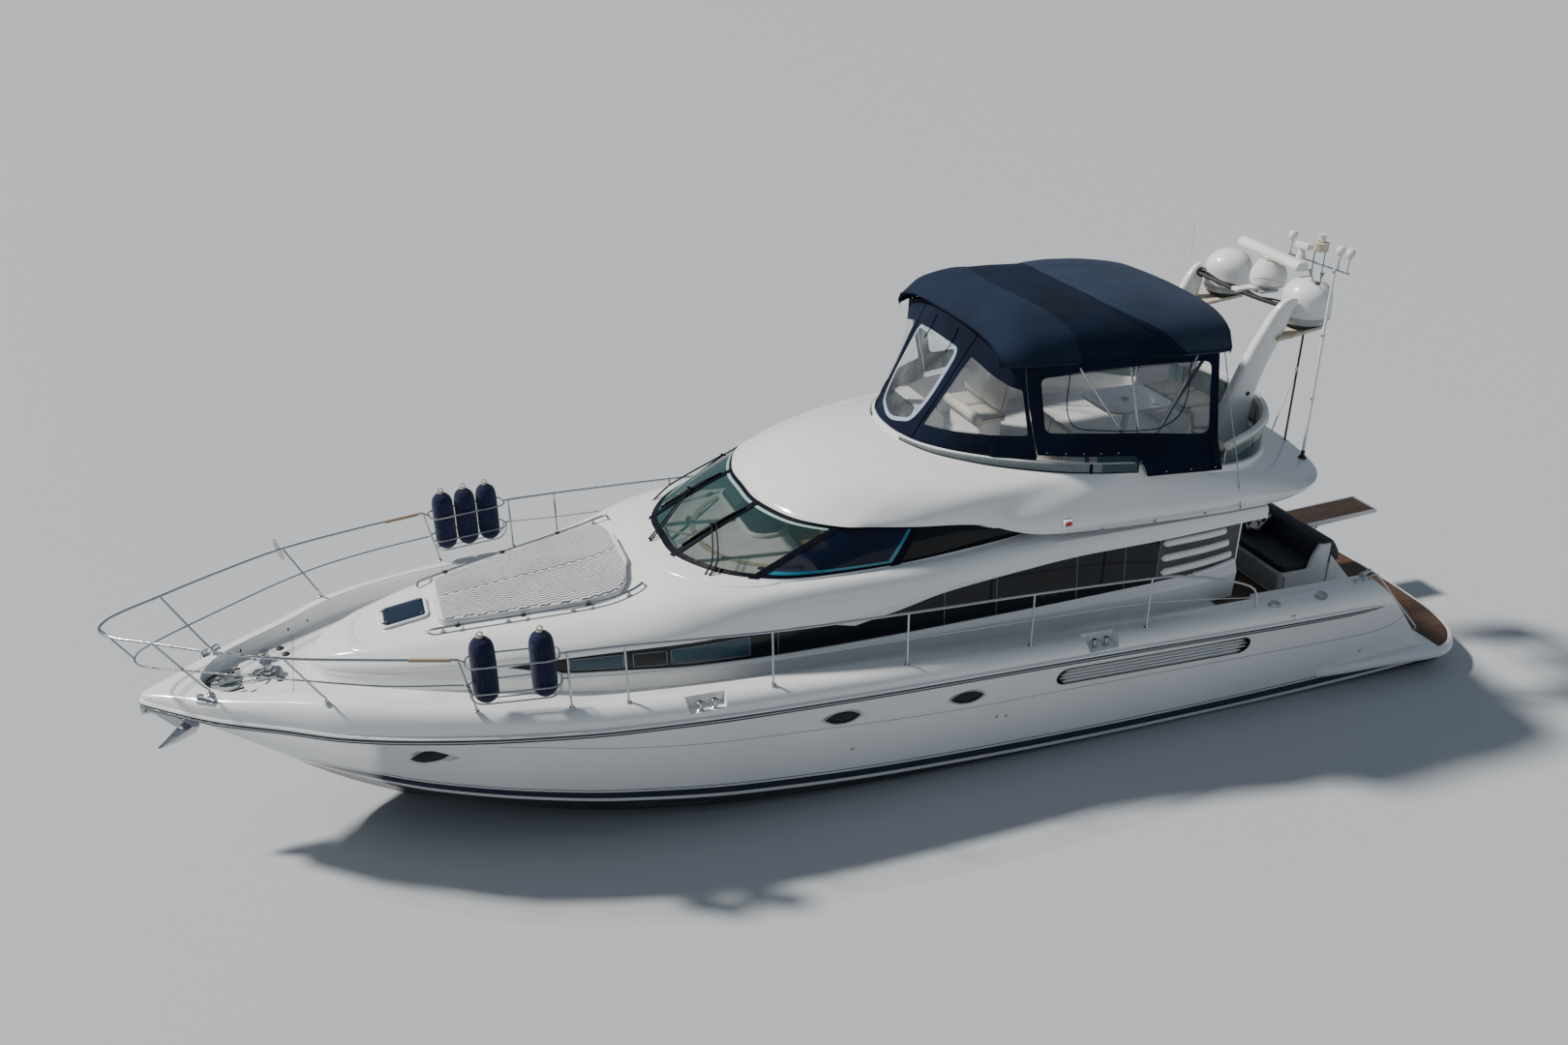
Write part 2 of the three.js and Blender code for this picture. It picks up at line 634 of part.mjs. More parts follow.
// A seat with a back and a pedestal: x, y of its centre, z of the deck and of the cushion, its width
function helmSeat(x, y, floor, cushion, width) {
  const half = width / 2;
  const pedestal = turned([[0, 0], [150, 0], [150, 25], [55, 60], [55, 900], [0, 900]], x, y, floor, 12);
  const below = block(x - 250, x + 250, y - half, y + half, cushion - 140, cushion);
  const back = sideSlab(
    [
      [x - 180, cushion - 20],
      [x - 250, cushion + 560],
      [x - 340, cushion + 560],
      [x - 300, cushion - 100],
    ],
    y - half,
    y + half,
  );
  const trimmed = pedestal.intersect(block(x - 400, x + 400, y - 400, y + 400, floor, cushion - 20));
  return join(trimmed, below, back);
}
piece("dash", "vinyl", dash());
const WHEEL = { x: 770, z: 2620, radius: 190 };
piece("helm_wheel", "rubber", helmWheel(WHEEL.radius, 14).translate([WHEEL.x + 29.7, HELM_Y, WHEEL.z]));
piece("helm_seat", "vinyl", helmSeat(150, HELM_Y, SALON_SOLE + GAP, 2150, 620));

// Saloon bulkhead and its sliding door
const DOOR = { low: SALON_SOLE + 12, high: 3150, half: 950 };
function bulkhead() {
  const wall = block(-4905, -4845, -1689.7, 1689.7, SALON_SOLE + GAP, 3395);
  const opening = block(-4910, -4840, -DOOR.half, DOOR.half, DOOR.low + 40, DOOR.high);
  const fixedPane = block(-4885, -4865, 20, DOOR.half + 10, DOOR.low + 20, DOOR.high + 20);
  const post = block(-4905, -4845, 0, 40, SALON_SOLE + GAP, DOOR.high + 20);
  const track = block(-4975, -4860, -990, 990, SALON_SOLE + GAP, DOOR.low);
  return join(wall.subtract(opening), fixedPane, post, track)
    .subtract(join(solids.hull, raised(solids.hull)))
    .subtract(join(below(solids.roof), solids.roof));
}
piece("salon_bulkhead", "gelcoat", bulkhead());
piece("salon_door", "glass", block(-4955, -4915, -985, 0, DOOR.low + GAP, DOOR.high));

// Cockpit: sole over the engine space, engines, and the sofa along the transom
const ENGINE = { x0: -6600, x1: -4990 - 60, y: 780, half: 430, z0: -100, z1: 850 };
piece(
  "cockpit_sole",
  "teak",
  block(-6979.7, -5000.3, -1959.7, 1959.7, COCKPIT_SOLE + GAP, COCKPIT_SOLE + 40),
);
for (const [side, sign] of [["port", 1], ["starboard", -1]]) {
  const centre = ENGINE.y * sign;
  const body = block(ENGINE.x0, ENGINE.x1, centre - ENGINE.half, centre + ENGINE.half, ENGINE.z0 + GAP, ENGINE.z1);
  piece(`engine_${side}`, "rubber", body);
}
function sofa() {
  const base = block(-6975, -6250, -1150, 1180, COCKPIT_SOLE + 40 + GAP, 1450);
  const cushion = block(-6900, -6230, -1140, 1170, 1440, 1560);
  const back = sideSlab(
    [
      [-6700, 1550],
      [-6860, 1870],
      [-7010, 1880],
      [-7190, 1660],
      [-7190, 1520 + GAP],
      [-6975, 1520 + GAP],
      [-6975, 1440],
      [-6700, 1440],
    ],
    -1180,
    1210,
  );
  return join(base, cushion, back).subtract(solids.hull);
}
piece("cockpit_sofa", "navyLeather", sofa());

// Flybridge fittings
const FLY_HELM_Y = -620;
function flyConsole() {
  return sideSlab(
    [
      [-950, FLY_DECK + GAP],
      [-950, 3990],
      [-1080, 4210],
      [-1330, 4190],
      [-1470, 4000],
      [-1480, FLY_DECK + GAP],
    ],
    FLY_HELM_Y - 420,
    FLY_HELM_Y + 420,
  );
}
piece("fly_console", "gelcoat", flyConsole().subtract(join(raised(solids.roof), solids.roof)));
const FLY_WHEEL = { x: -1503, z: 3900, radius: 190 };
piece(
  "fly_wheel",
  "rubber",
  helmWheel(FLY_WHEEL.radius, 14).translate([FLY_WHEEL.x, FLY_HELM_Y, FLY_WHEEL.z]),
);
function flyChairs() {
  const chairs = [-900, -340].map((y) => helmSeat(-2150, y, FLY_DECK + GAP, 3980, 480));
  const plinth = block(-2350, -1950, -1140, -100, FLY_DECK + GAP, FLY_DECK + 90);
  return join(chairs, plinth);
}
piece("fly_chairs", "navyLeather", flyChairs());
piece(
  "fly_lounge",
  "vinyl",
  join(
    block(-2700, -1420, 230, 1150, FLY_DECK + GAP, 3800),
    block(-2720, -2560, 230, 1150, FLY_DECK + GAP, 4150),
  ),
);
const FLY_SETTEE = [
  [-3300, 1750],
  [-4450, 1750],
  [-4740, 1600],
  [-4740, 900],
  [-5450, 900],
  [-5600, 600],
  [-5620, 0],
  [-5600, -600],
  [-5450, -900],
  [-4950, -900],
  [-4950, 350],
  [-4550, 850],
  [-3300, 1080],
];
piece("fly_settee", "vinyl", slab(FLY_SETTEE, FLY_DECK + GAP, 3830));
function flyTable() {
  const top = slab(roundedOutline(-4500, -3500, -250, 650, 200), 4040, 4075);
  const leg = turned([[0, 0], [180, 0], [180, 20], [50, 50], [50, 690], [0, 690]], -4000, 200, FLY_DECK + GAP, 12);
  return join(top, leg);
}
piece("fly_table", "gelcoat", flyTable());

// Padded rail round the after end of the flybridge, standing on posts
function flyRail() {
  const run = [
    [-4340, 1955, 4000],
    [-4900, 1740, 4050],
    [-5360, 1340, 4060],
    [-5680, 740, 4060],
    [-5760, 0, 4060],
  ];
  const whole = [...run, ...run.slice(0, -1).map(([x, y, z]) => [x, -y, z]).reverse()];
  const posts = whole.map(([x, y, z]) => rod([x, y, 3500], [x, y, z], 22));
  return join(tube(whole, 60, { steps: 1, sides: 8 }), posts).subtract(raised(solids.roof));
}
piece("fly_rail", "vinyl", flyRail());

// Canopy over the flybridge: a thin shell on three hoops, with curtains down to the coaming
function canopyHalf([, half, edge, crown], inset) {
  const rise = crown - edge;
  const at = (t, s) => [Math.max(0, half * t - inset * (t > 0.5 ? 1 : 0)), edge + rise * s - inset];
  return [at(0, 1), at(0.35, 0.97), at(0.66, 0.86), at(0.86, 0.64), at(0.97, 0.32), [half - inset, edge]];
}
function canopy() {
  const rings = CANOPY.map((row) => {
    const outer = canopyHalf(row, 0);
    const inner = canopyHalf(row, 14).reverse();
    const port = [...outer, ...inner];
    const points = [
      ...port.map(([y, z]) => new THREE.Vector3(row[0], y, z)),
      ...inner.slice(0, -1).reverse().map(([y, z]) => new THREE.Vector3(row[0], -y, z)),
      ...outer.slice(1).reverse().map(([y, z]) => new THREE.Vector3(row[0], -y, z)),
    ];
    return points;
  });
  return loft(rings, acrossPlane);
}
piece("canopy", "canvas", canopy());
const hoopAt = (x, inset) => {
  const [, half, edge, crown] = rowAt(CANOPY, x);
  const port = canopyHalf([x, half - inset, edge, crown], 0).map(([y, z]) => [x, y, z - 28.4]);
  return [...port.slice(1).reverse(), ...port.slice(0, 1), ...port.slice(1).map(([px, y, z]) => [px, -y, z])];
};
function biminiFrame() {
  const foot = [-3150, 1855, 3975];
  const tubes = [[-2100, 165], [-3000, 110], [-4200, 110]].map(([x, inset]) => {
    const hoop = hoopAt(x, inset);
    const start = foot;
    const end = [foot[0], -foot[1], foot[2]];
    return tube([start, ...hoop, end], 14, { steps: 1 });
  });
  const feet = bothSides(block(-3200, -3100, 1840, 1935, 3925, 3990));
  return join(tubes, feet).subtract(raised(solids.roof));
}
piece("bimini_frame", "steel", biminiFrame());
const overCoaming = join(solids.roof, raised(solids.roof, 0.6));
const CURTAINS = [
  ["front", 0, 3.45, [[0.0, 0.9], [1.1, 3.3]]],
  ["side", 3.5, 7, [[4.2, 6.8]]],
];
function curtain(u0, u1, windows) {
  const sheet = panel(CURTAIN, u0, u1, 0, 1, 0, 8);
  const holes = windows.map(([a, b]) => panel(CURTAIN, Math.max(a, u0), b, 0.3, 0.9, -20, 28));
  return sheet.subtract(join(holes));
}
for (const [name, u0, u1, windows] of CURTAINS) {
  const frame = solids.bimini_frame;
  const frames = [frame, mirrored(frame)].flatMap((body) => [body, body.translate([0, -GAP, 0]), body.translate([0, GAP, 0])]);
  const half = curtain(u0, u1, windows).subtract(join(overCoaming, solids.canopy, frames));
  if (name === "front") {
    piece("curtain_front", "canvas", bothSides(half));
  } else {
    piece("curtain_port", "canvas", half);
    piece("curtain_starboard", "canvas", mirrored(half));
  }
}

// Mast: a leg each side on the flybridge's deck, tied by a bridge that carries the radar, and a dome on each
const MAST_LEG = [
  [-4780, FLY_DECK + GAP],
  [-5010, 4150],
  [-5300, 4850],
  [-5560, 5300],
  [-5700, 5450],
  [-5860, 5470],
  [-5880, 5400],
  [-5840, 5300],
  [-5760, 5000],
  [-5620, 4700],
  [-5450, 4150],
  [-5410, FLY_DECK + GAP],
];
const MAST_Y = { inner: 945, outer: 1010 };
const DOME = { x: -6180, y: 830, base: 5040, radius: 310, tall: 640 };
function mastLeg() {
  const leg = sideSlab(MAST_LEG, MAST_Y.inner, MAST_Y.outer);
  const bracket = sideSlab([[-5700, 4870], [-5700, 4990], [-6330, 5040 - GAP], [-6330, 4990]], 700, 960);
  const plate = block(-6400, -5980, 640, 1020, 5000, DOME.base - GAP);
  return join(leg, bracket, plate);
}
piece("mast_leg_port", "gelcoat", mastLeg());
piece("mast_leg_starboard", "gelcoat", mirrored(solids.mast_leg_port));
function mastBridge() {
  const half = MAST_Y.inner - GAP;
  const beam = block(-5840, -5640, -half, half, 5290, 5400);
  const arm = block(-6330, -5700, -90, 90, 5300, 5395);
  const pod = turned([[0, 0], [250, 0], [250, 190], [215, 320], [0, 320]], -6200, 0, 5390, 20);
  return join(beam, arm, pod);
}
piece("mast_bridge", "domeWhite", mastBridge());
function dome(sign) {
  const { x, y, base, radius, tall } = DOME;
  const profile = [
    [0, 0],
    [radius * 0.9, 0],
    [radius, 40],
    [radius, tall - radius],
    [radius * 0.92, tall - radius * 0.62],
    [radius * 0.71, tall - radius * 0.28],
    [radius * 0.38, tall - radius * 0.07],
    [0, tall],
  ];
  return turned(profile, x, sign * y, base, 20);
}
piece("dome_port", "domeWhite", dome(1));
piece("dome_starboard", "domeWhite", dome(-1));
const RADAR = { x: -6200, foot: 5710, low: 5745, high: 5855, half: 760, yaw: -8 };
function radar() {
  const { x, foot, low, high, half, yaw } = RADAR;
  const neck = turned([[0, 0], [90, 0], [90, 60], [0, 60]], x, 0, foot + GAP, 12);
  const bar = sideSlab([[-70, low], [70, low], [60, high - 25], [25, high], [-25, high], [-60, high - 25]], -half, half);
  return join(neck, bar.rotate([0, 0, yaw]).translate([x, 0, 0]));
}
piece("radar_bar", "domeWhite", radar());

// Pole on the port quarter of the overhang with a crossbar of antennas and lamps, and a whip to starboard
const POLE = { x: -5860, y: 1590, top: 6000, whipY: 1300, whipTop: 5930 };
const onOverhang = (y) => turned([[0, 0], [55, 0], [55, 25], [25, 110], [0, 110]], POLE.x, y, 3440, 12);
function antennaPole() {
  const { x, y, top } = POLE;
  const pole = rod([x, y, 3450], [x, y, top], 18, 8);
  const crossbar = rod([x, 730, top], [x, 1840, top], 12);
  const stem = rod([x, 1290, top], [x, 1290, top + 250], 9);
  const mushroom = [[0, 0], [9, 0], [9, 150], [22, 170], [55, 250], [55, 285], [30, 310], [0, 310]];
  const mushrooms = [760, 1640, 1810].map((at) => turned(mushroom, x, at, top, 10));
  const lamp = turned([[0, 0], [50, 0], [50, 80], [30, 90], [30, 200], [0, 210]], x, 1290, top + 170, 10);
  const boxLamp = block(x - 50, x + 50, 870, 1110, top + 130, top + 200);
  const boxFoot = turned([[0, 0], [60, 0], [35, 140], [0, 140]], x, 960, top, 10);
  return join(onOverhang(y), pole, crossbar, stem, mushrooms, lamp, boxLamp, boxFoot).subtract(raised(solids.roof));
}
piece("antenna_pole", "domeWhite", antennaPole());
const whip = rod([POLE.x, -POLE.whipY, 3450], [POLE.x, -POLE.whipY, POLE.whipTop], 14, 8);
piece("whip_starboard", "domeWhite", join(onOverhang(-POLE.whipY), whip).subtract(raised(solids.roof)));

// Bow rail and side rails with a fender basket a side
const RAIL_TOP = [
  [8910, 0, 3010],
  [8800, 230, 3010],
  [8330, 560, 3010],
  [7700, 980, 3005],
  [6980, 1380, 3000],
  [6000, 1730, 2970],
  [5230, 1960, 2940],
];
const RAIL_AFT = [
  [4090, 2120, 2885],
  [3460, 2165, 2860],
  [1790, 2285, 2765],
  [110, 2295, 2675],
  [-1550, 2305, 2610],
  [-3210, 2310, 2520],
  [-4340, 2260, 2260],
  [-4800, 2255, 2060],
  [-4920, 2255, 1640],
];
const MID_RAIL = [
  [8640, 0, 2560],
  [8560, 200, 2560],
  [8000, 590, 2600],
  [6800, 1330, 2650],
  [6000, 1700, 2625],
  [5200, 1935, 2600],
];
const WIRE = [
  [4090, 2120, 2560],
  [3460, 2165, 2500],
  [1790, 2285, 2410],
  [110, 2295, 2320],
  [-1550, 2305, 2250],
  [-3210, 2310, 2170],
  [-4870, 2258, 1900],
];
// Stanchions: x, y, z of the foot and of the head
const STANCHIONS = [
  [7890, 460, 2200, 8330, 560, 3010],
  [6640, 1290, 2310, 6980, 1380, 3000],
  [5100, 1925, 2240, 5230, 1960, 2940],
  [4090, 2120, 2180, 4090, 2120, 2885],
  [3460, 2165, 2130, 3460, 2165, 2860],
  [1790, 2285, 2060, 1790, 2285, 2765],
  [110, 2295, 1970, 110, 2295, 2675],
  [-1550, 2305, 1900, -1550, 2305, 2610],
  [-3210, 2310, 1820, -3210, 2310, 2520],
];
const FENDER = { radius: 140, tall: 830, foot: 2380.7 };
const BASKET = { x: 4660, y: 2030, turn: -9, half: 500, width: 156, corner: 110, low: 2374 };
function basketPlace([x, y, z]) {
  const angle = (BASKET.turn * Math.PI) / 180;
  const along = x * Math.cos(angle) - y * Math.sin(angle);
  return [BASKET.x + along, BASKET.y + x * Math.sin(angle) + y * Math.cos(angle), z];
}
function basketRing(z) {
  const outline = roundedOutline(-BASKET.half, BASKET.half, -BASKET.width, BASKET.width, BASKET.corner, 1);
  const points = outline.map(([x, y]) => basketPlace([x, y, z]));
  return sweep(vectorsOf(points), 11, 5, true);
}
function basket() {
  const { half, width, low } = BASKET;
  const uprights = [-0.7, 0.7].flatMap((end) =>
    [-1, 1].map((side) =>
      rod(basketPlace([end * half, side * width, low]), basketPlace([end * half, side * width, 2890]), 9, 4),
    ),
  );
  const crossBars = [-0.7, 0.7].map((end) =>
    rod(basketPlace([end * half, -width - 8, low]), basketPlace([end * half, width + 8, low]), 9, 4),
  );
  const floorBars = [-45, 45].map((y) => rod(basketPlace([-half * 0.71, y, low]), basketPlace([half * 0.71, y, low]), 9, 4));
  return join([2560, 2890].map(basketRing), uprights, crossBars, floorBars);
}
function rail() {
  const posts = STANCHIONS.map(([x0, y0, z0, x1, y1, z1]) => {
    const t = -90 / (z1 - z0);
    return rod([lerp(x0, x1, t), lerp(y0, y1, t), z0 - 90], [x1, y1, z1], 13, 5);
  });
  const ties = [
    rod([5230, 1960, 2940], basketPlace([BASKET.half, 0, 2890]), 11, 5),
    rod([5180, 1945, 2600], basketPlace([BASKET.half, 0, 2560]), 11),
    rod([4090, 2120, 2885], basketPlace([-BASKET.half, 0, 2890]), 11),
    rod([4090, 2120, 2560], basketPlace([-BASKET.half, 0, 2560]), 11),
  ];
  const whole = join(
    tube(RAIL_TOP, 15, { steps: 2, sides: 5 }),
    tube(RAIL_AFT, 15, { sides: 5 }),
    tube(MID_RAIL, 11, { steps: 1, sides: 4 }),
    tube(WIRE, 6, { steps: 1, sides: 4 }),
    rod([8640, 10, 2560], [8910, 10, 3010], 11),
    posts,
    basket(),
    ties,
  );
  return whole.intersect(block(-6000, 9000, GAP / 2, 3000, 1000, 4000));
}
piece("rail_port", "steel", rail().subtract(raised(solids.hull)));
piece("rail_starboard", "steel", mirrored(solids.rail_port));
function fender(x, sign) {
  const [fx, fy] = basketPlace([x, 0, 0]);
  const { radius, tall } = FENDER;
  const profile = [
    [0, 0],
    [radius * 0.5, 0],
    [radius * 0.92, 80],
    [radius, 150],
    [radius, tall - 170],
    [radius * 0.8, tall - 95],
    [radius * 0.35, tall - 40],
    [35, tall],
    [0, tall],
  ];
  return turned(profile, fx, sign * fy, FENDER.foot, 14);
}
// Fenders: name, place along the basket, side
const FENDERS = [
  ["fender_port_1", 315, 1],
  ["fender_port_2", -315, 1],
  ["fender_starboard_1", 310, -1],
  ["fender_starboard_2", 15, -1],
  ["fender_starboard_3", -280, -1],
];
for (const [name, x, sign] of FENDERS) {
  piece(name, "navyLeather", fender(x, sign));
}

// Foredeck: sunpad, hatch lid, windlass and anchor
const houseOuter = loft(
  HOUSE.map((row) => acrossRing(row[0], houseHalf(row, rowAt(DECK, row[0])[1]))),
  acrossPlane,
);
function onCrown(outline, thick) {
  return houseOuter
    .translate([0, 0, thick])
    .intersect(slab(outline, 2300, 3200))
    .subtract(raised(solids.deckhouse));
}
const SUNPAD = [
  [5320, 430],
  [5270, 530],
  [5120, 590],
  [4200, 810],
  [3500, 950],
  [3280, 950],
  [3120, 800],
  [3030, 450],
  [3000, 0],
];
piece("sunpad", "sunbed", onCrown(symmetric(SUNPAD), 90));
const HATCH = roundedOutline(5400, 5960, -260, 260, 70, 3);
piece("hatch_lid", "darkGlass", onCrown(HATCH, 45));
function windlass() {
  const base = slab(roundedOutline(7160, 7460, -110, 110, 60, 2), 2000, 2110);
  const profile = [[0, 0], [85, 0], [85, 30], [50, 60], [50, 110], [80, 140], [80, 165], [0, 165]];
  const drum = turned(profile, 7290, 0, 2105);
  return join(base, drum).subtract(join(solids.hull, raised(solids.hull)));
}
piece("windlass", "steel", windlass());
function anchor() {
  const cheeks = [-1, 1].map((side) => block(8450, 8700, side * 62 - 6, side * 62 + 6, 1850, 1975));
  const roller = rod([8660, -68, 1890], [8660, 68, 1890], 32, 10);
  const shank = sideSlab([[8690, 1900], [8630, 1930], [8200, 1480], [8250, 1430]], -16, 16);
  const flukes = [-1, 1].map((side) => {
    const inner = [[8640, 0, 1320], [8200, 0, 1450], [8150, 0, 1560], [8230, 0, 1540]];
    const outer = [[8590, 30, 1345], [8230, 150, 1600], [8180, 170, 1625], [8220, 160, 1615]];
    const rings = [inner, outer].map((ring) => ring.map(([x, y, z]) => new THREE.Vector3(x, side * y, z)));
    return loft(rings, (p) => new THREE.Vector2(p.x, p.z));
  });
  const web = sideSlab([[8640, 1320], [8640, 1345], [8260, 1520], [8160, 1560], [8140, 1500], [8200, 1450]], -22, 22);
  const around = [solids.hull, below(solids.hull), solids.hull.translate([GAP, 0, 0]), solids.rub_rail];
  return join(cheeks, roller, shank, flukes, web).subtract(join(around));
}
piece("anchor", "steel", anchor());

// Passerelle: a gangway hinged at the transom and held up by a strut
function passerelle() {
  const { x, z, y, half, end, lift } = PASSERELLE;
  const sides = [[x - 75, z - 35], [x - 75, z + 35], [end, z + lift + 35], [end, z + lift - 20]];
  const plank = sideSlab(sides, y - half, y + half);
  const knuckle = rod([x, y - 230, z], [x, y + 230, z], 35.7, 20);
  const arm = block(x - 90, x, y - 200, y + 200, z - 30, z + 30);
  const ears = [-1, 1].map((side) =>
    block(STRUT.eyeX - 35, STRUT.eyeX + 35, y + side * 45 - 7, y + side * 45 + 7, STRUT.eyeZ - 25, z + 20),
  );
  return join(plank, knuckle, arm, ears);
}
piece("passerelle", "teak", passerelle());
function strut() {
  const { x, z, eyeX, eyeZ } = STRUT;
  const y = PASSERELLE.y;
  const foot = rod([x, y - 50, z], [x, y + 50, z], 21.8, 20);
  const sleeve = rod([x, y, z], [lerp(x, eyeX, 0.62), y, lerp(z, eyeZ, 0.62)], 28, 10);
  const rodEnd = rod([x, y, z], [eyeX, y, eyeZ], 17, 10);
  const eye = rod([eyeX, y - 32, eyeZ], [eyeX, y + 32, eyeZ], 30, 12);
  return join(foot, sleeve, rodEnd, eye);
}
piece("passerelle_strut", "steel", strut());

// Running gear: shafts in their struts, propellers and rudders
const slopeTurn = (body) => body.rotate([0, -SHAFT.slope, 0]);
const shaftPlace = (body) => slopeTurn(body).translate([SHAFT.propX, SHAFT.y, SHAFT.propZ]);
const alongX = (profile, sides = 16) => turned(profile, 0, 0, 0, sides).rotate([0, 90, 0]);
function shaft() {
  const rodBody = alongX([[0, 200], [SHAFT.radius, 200], [SHAFT.radius, 2600], [0, 2600]]);
  const barrel = alongX([[0, 76], [72, 76], [72, 330], [0, 330]]);
  const bore = alongX([[0, 60], [36.2, 60], [36.2, 210], [0, 210]], 24);
  const plate = sideSlab([[-6860, -880], [-6620, -860], [-6560, -300], [-6800, -300]], SHAFT.y - 18, SHAFT.y + 18);
  return join(shaftPlace(rodBody), shaftPlace(barrel), plate)
    .subtract(shaftPlace(bore))
    .subtract(join(solids.hull, below(solids.hull)));
}
function propeller() {
  const hub = alongX([[0, -120], [40, -110], [62, -60], [62, 70], [0, 70]]);
  const stub = alongX([[0, 60], [35.5, 60], [35.5, 200], [0, 200]], 24);
  const blades = [0, 1, 2, 3].map((k) => {
    const blade = new THREE.SphereGeometry(1, 8, 5).scale(9, 115, 155);
    blade.rotateZ((-28 * Math.PI) / 180).translate(0, 0, 200).rotateX((k * Math.PI) / 2);
    return solid(blade);
  });
  return shaftPlace(join(hub, stub, blades));
}
function rudder() {
  const { x, y, stock, top, low } = RUDDER;
  const foil = [[130, 0], [90, 22], [-60, 26], [-310, 4], [-310, -4], [-60, -26], [90, -22]];
  const blade = slab(foil.map(([fx, fy]) => [x + fx, y + fy]), low, top);
  const post = turned([[0, 0], [stock, 0], [stock, -262 - top + 100], [0, -262 - top + 100]], x, y, top - 100, 24);
  return join(blade, post);
}
for (const [name, material, body] of [
  ["shaft", "steel", shaft()],
  ["propeller", "bronze", propeller()],
  ["rudder", "bronze", rudder()],
]) {
  piece(`${name}_port`, material, body);
  piece(`${name}_starboard`, material, mirrored(body));
}

export default yacht;
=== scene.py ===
"""A flybridge motor yacht afloat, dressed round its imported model. Metres; +X forward, +Y to port, +Z up."""
import math

import bpy
import numpy as np
from mathutils import Matrix
from mathutils.bvhtree import BVHTree


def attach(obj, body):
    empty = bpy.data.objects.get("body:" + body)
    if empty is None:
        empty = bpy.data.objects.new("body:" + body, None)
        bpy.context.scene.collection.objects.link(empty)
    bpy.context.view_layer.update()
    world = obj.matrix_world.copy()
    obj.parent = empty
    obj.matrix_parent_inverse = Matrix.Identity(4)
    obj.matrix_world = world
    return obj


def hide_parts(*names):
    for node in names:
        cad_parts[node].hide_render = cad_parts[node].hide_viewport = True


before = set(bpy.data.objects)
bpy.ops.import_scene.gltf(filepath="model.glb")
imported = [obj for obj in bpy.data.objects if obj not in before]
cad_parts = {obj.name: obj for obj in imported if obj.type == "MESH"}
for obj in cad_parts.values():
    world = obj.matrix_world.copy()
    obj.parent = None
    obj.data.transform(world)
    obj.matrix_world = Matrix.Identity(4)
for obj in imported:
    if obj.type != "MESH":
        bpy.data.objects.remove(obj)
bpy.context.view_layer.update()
scene = bpy.context.scene

# Studio: a pale floor at the waterline, pale light from all round, one broad soft sun over the starboard
# bow, and the camera above and ahead of the boat on its port side.
EYE = (5.79, 14.37, 10.26)
AZIMUTH, ELEVATION, ROLL = np.radians([161.03, 25.71, -0.74])
LENS = 29.93
SUN_FROM = (0.62, -0.40, 0.80)
SUN_COLOR, SUN_ENERGY, SUN_SPREAD = (1.0, 0.965, 0.91), 5.0, 5
SKY_COLOR, SKY_STRENGTH = (0.70, 0.83, 1.0, 1), 0.29
FLOOR_COLOR, FLOOR_REACH = (0.46, 0.48, 0.50, 1), 400


def lamp_turn(towards):
    """The turn that points a lamp's ray, which leaves along its -Z, away from the direction it comes from."""
    back = np.array(towards) / np.linalg.norm(towards)
    side = np.cross((0, 0, 1), back)
    side /= np.linalg.norm(side)
    return Matrix(np.column_stack([side, np.cross(back, side), back]).tolist())


def camera_place(eye, azimuth, elevation, roll):
    """The camera's matrix: level right and up from azimuth and elevation, then turned about the view."""
    right = np.array([math.cos(azimuth), math.sin(azimuth), 0])
    back = np.array(
        [
            math.sin(azimuth) * math.cos(elevation), -math.cos(azimuth) * math.cos(elevation),
            math.sin(elevation),
        ]
    )
    up = np.cross(back, right)
    rolled = right * math.cos(roll) + up * math.sin(roll)
    place = np.eye(4)
    place[:3] = np.column_stack([rolled, np.cross(back, rolled), back, eye])
    return Matrix(place.tolist())


lens = bpy.data.cameras.new("camera")
lens.lens = LENS
lens.clip_end = 500
camera = bpy.data.objects.new("camera", lens)
camera.matrix_world = camera_place(EYE, AZIMUTH, ELEVATION, ROLL)
scene.collection.objects.link(camera)
scene.camera = camera

sun_lamp = bpy.data.lights.new("sun", "SUN")
sun_lamp.energy = SUN_ENERGY
sun_lamp.angle = math.radians(SUN_SPREAD)
sun_lamp.color = SUN_COLOR
sun = bpy.data.objects.new("sun", sun_lamp)
sun.matrix_world = lamp_turn(SUN_FROM).to_4x4()
scene.collection.objects.link(sun)

sky = bpy.data.worlds.new("sky")
sky.use_nodes = True
sky.node_tree.nodes["Background"].inputs["Color"].default_value = SKY_COLOR
sky.node_tree.nodes["Background"].inputs["Strength"].default_value = SKY_STRENGTH
scene.world = sky

floor_mesh = bpy.data.meshes.new("floor")
floor_corners = [(x * FLOOR_REACH, y * FLOOR_REACH, 0) for x, y in ((-1, -1), (1, -1), (1, 1), (-1, 1))]
floor_mesh.from_pydata(floor_corners, [], [(0, 1, 2, 3)])
floor = bpy.data.objects.new("floor", floor_mesh)
floor_paint = bpy.data.materials.new("floor")
floor_paint.use_nodes = True
floor_shader = floor_paint.node_tree.nodes["Principled BSDF"]
floor_shader.inputs["Base Color"].default_value = FLOOR_COLOR
floor_shader.inputs["Roughness"].default_value = 0.75
floor_mesh.materials.append(floor_paint)
scene.collection.objects.link(floor)

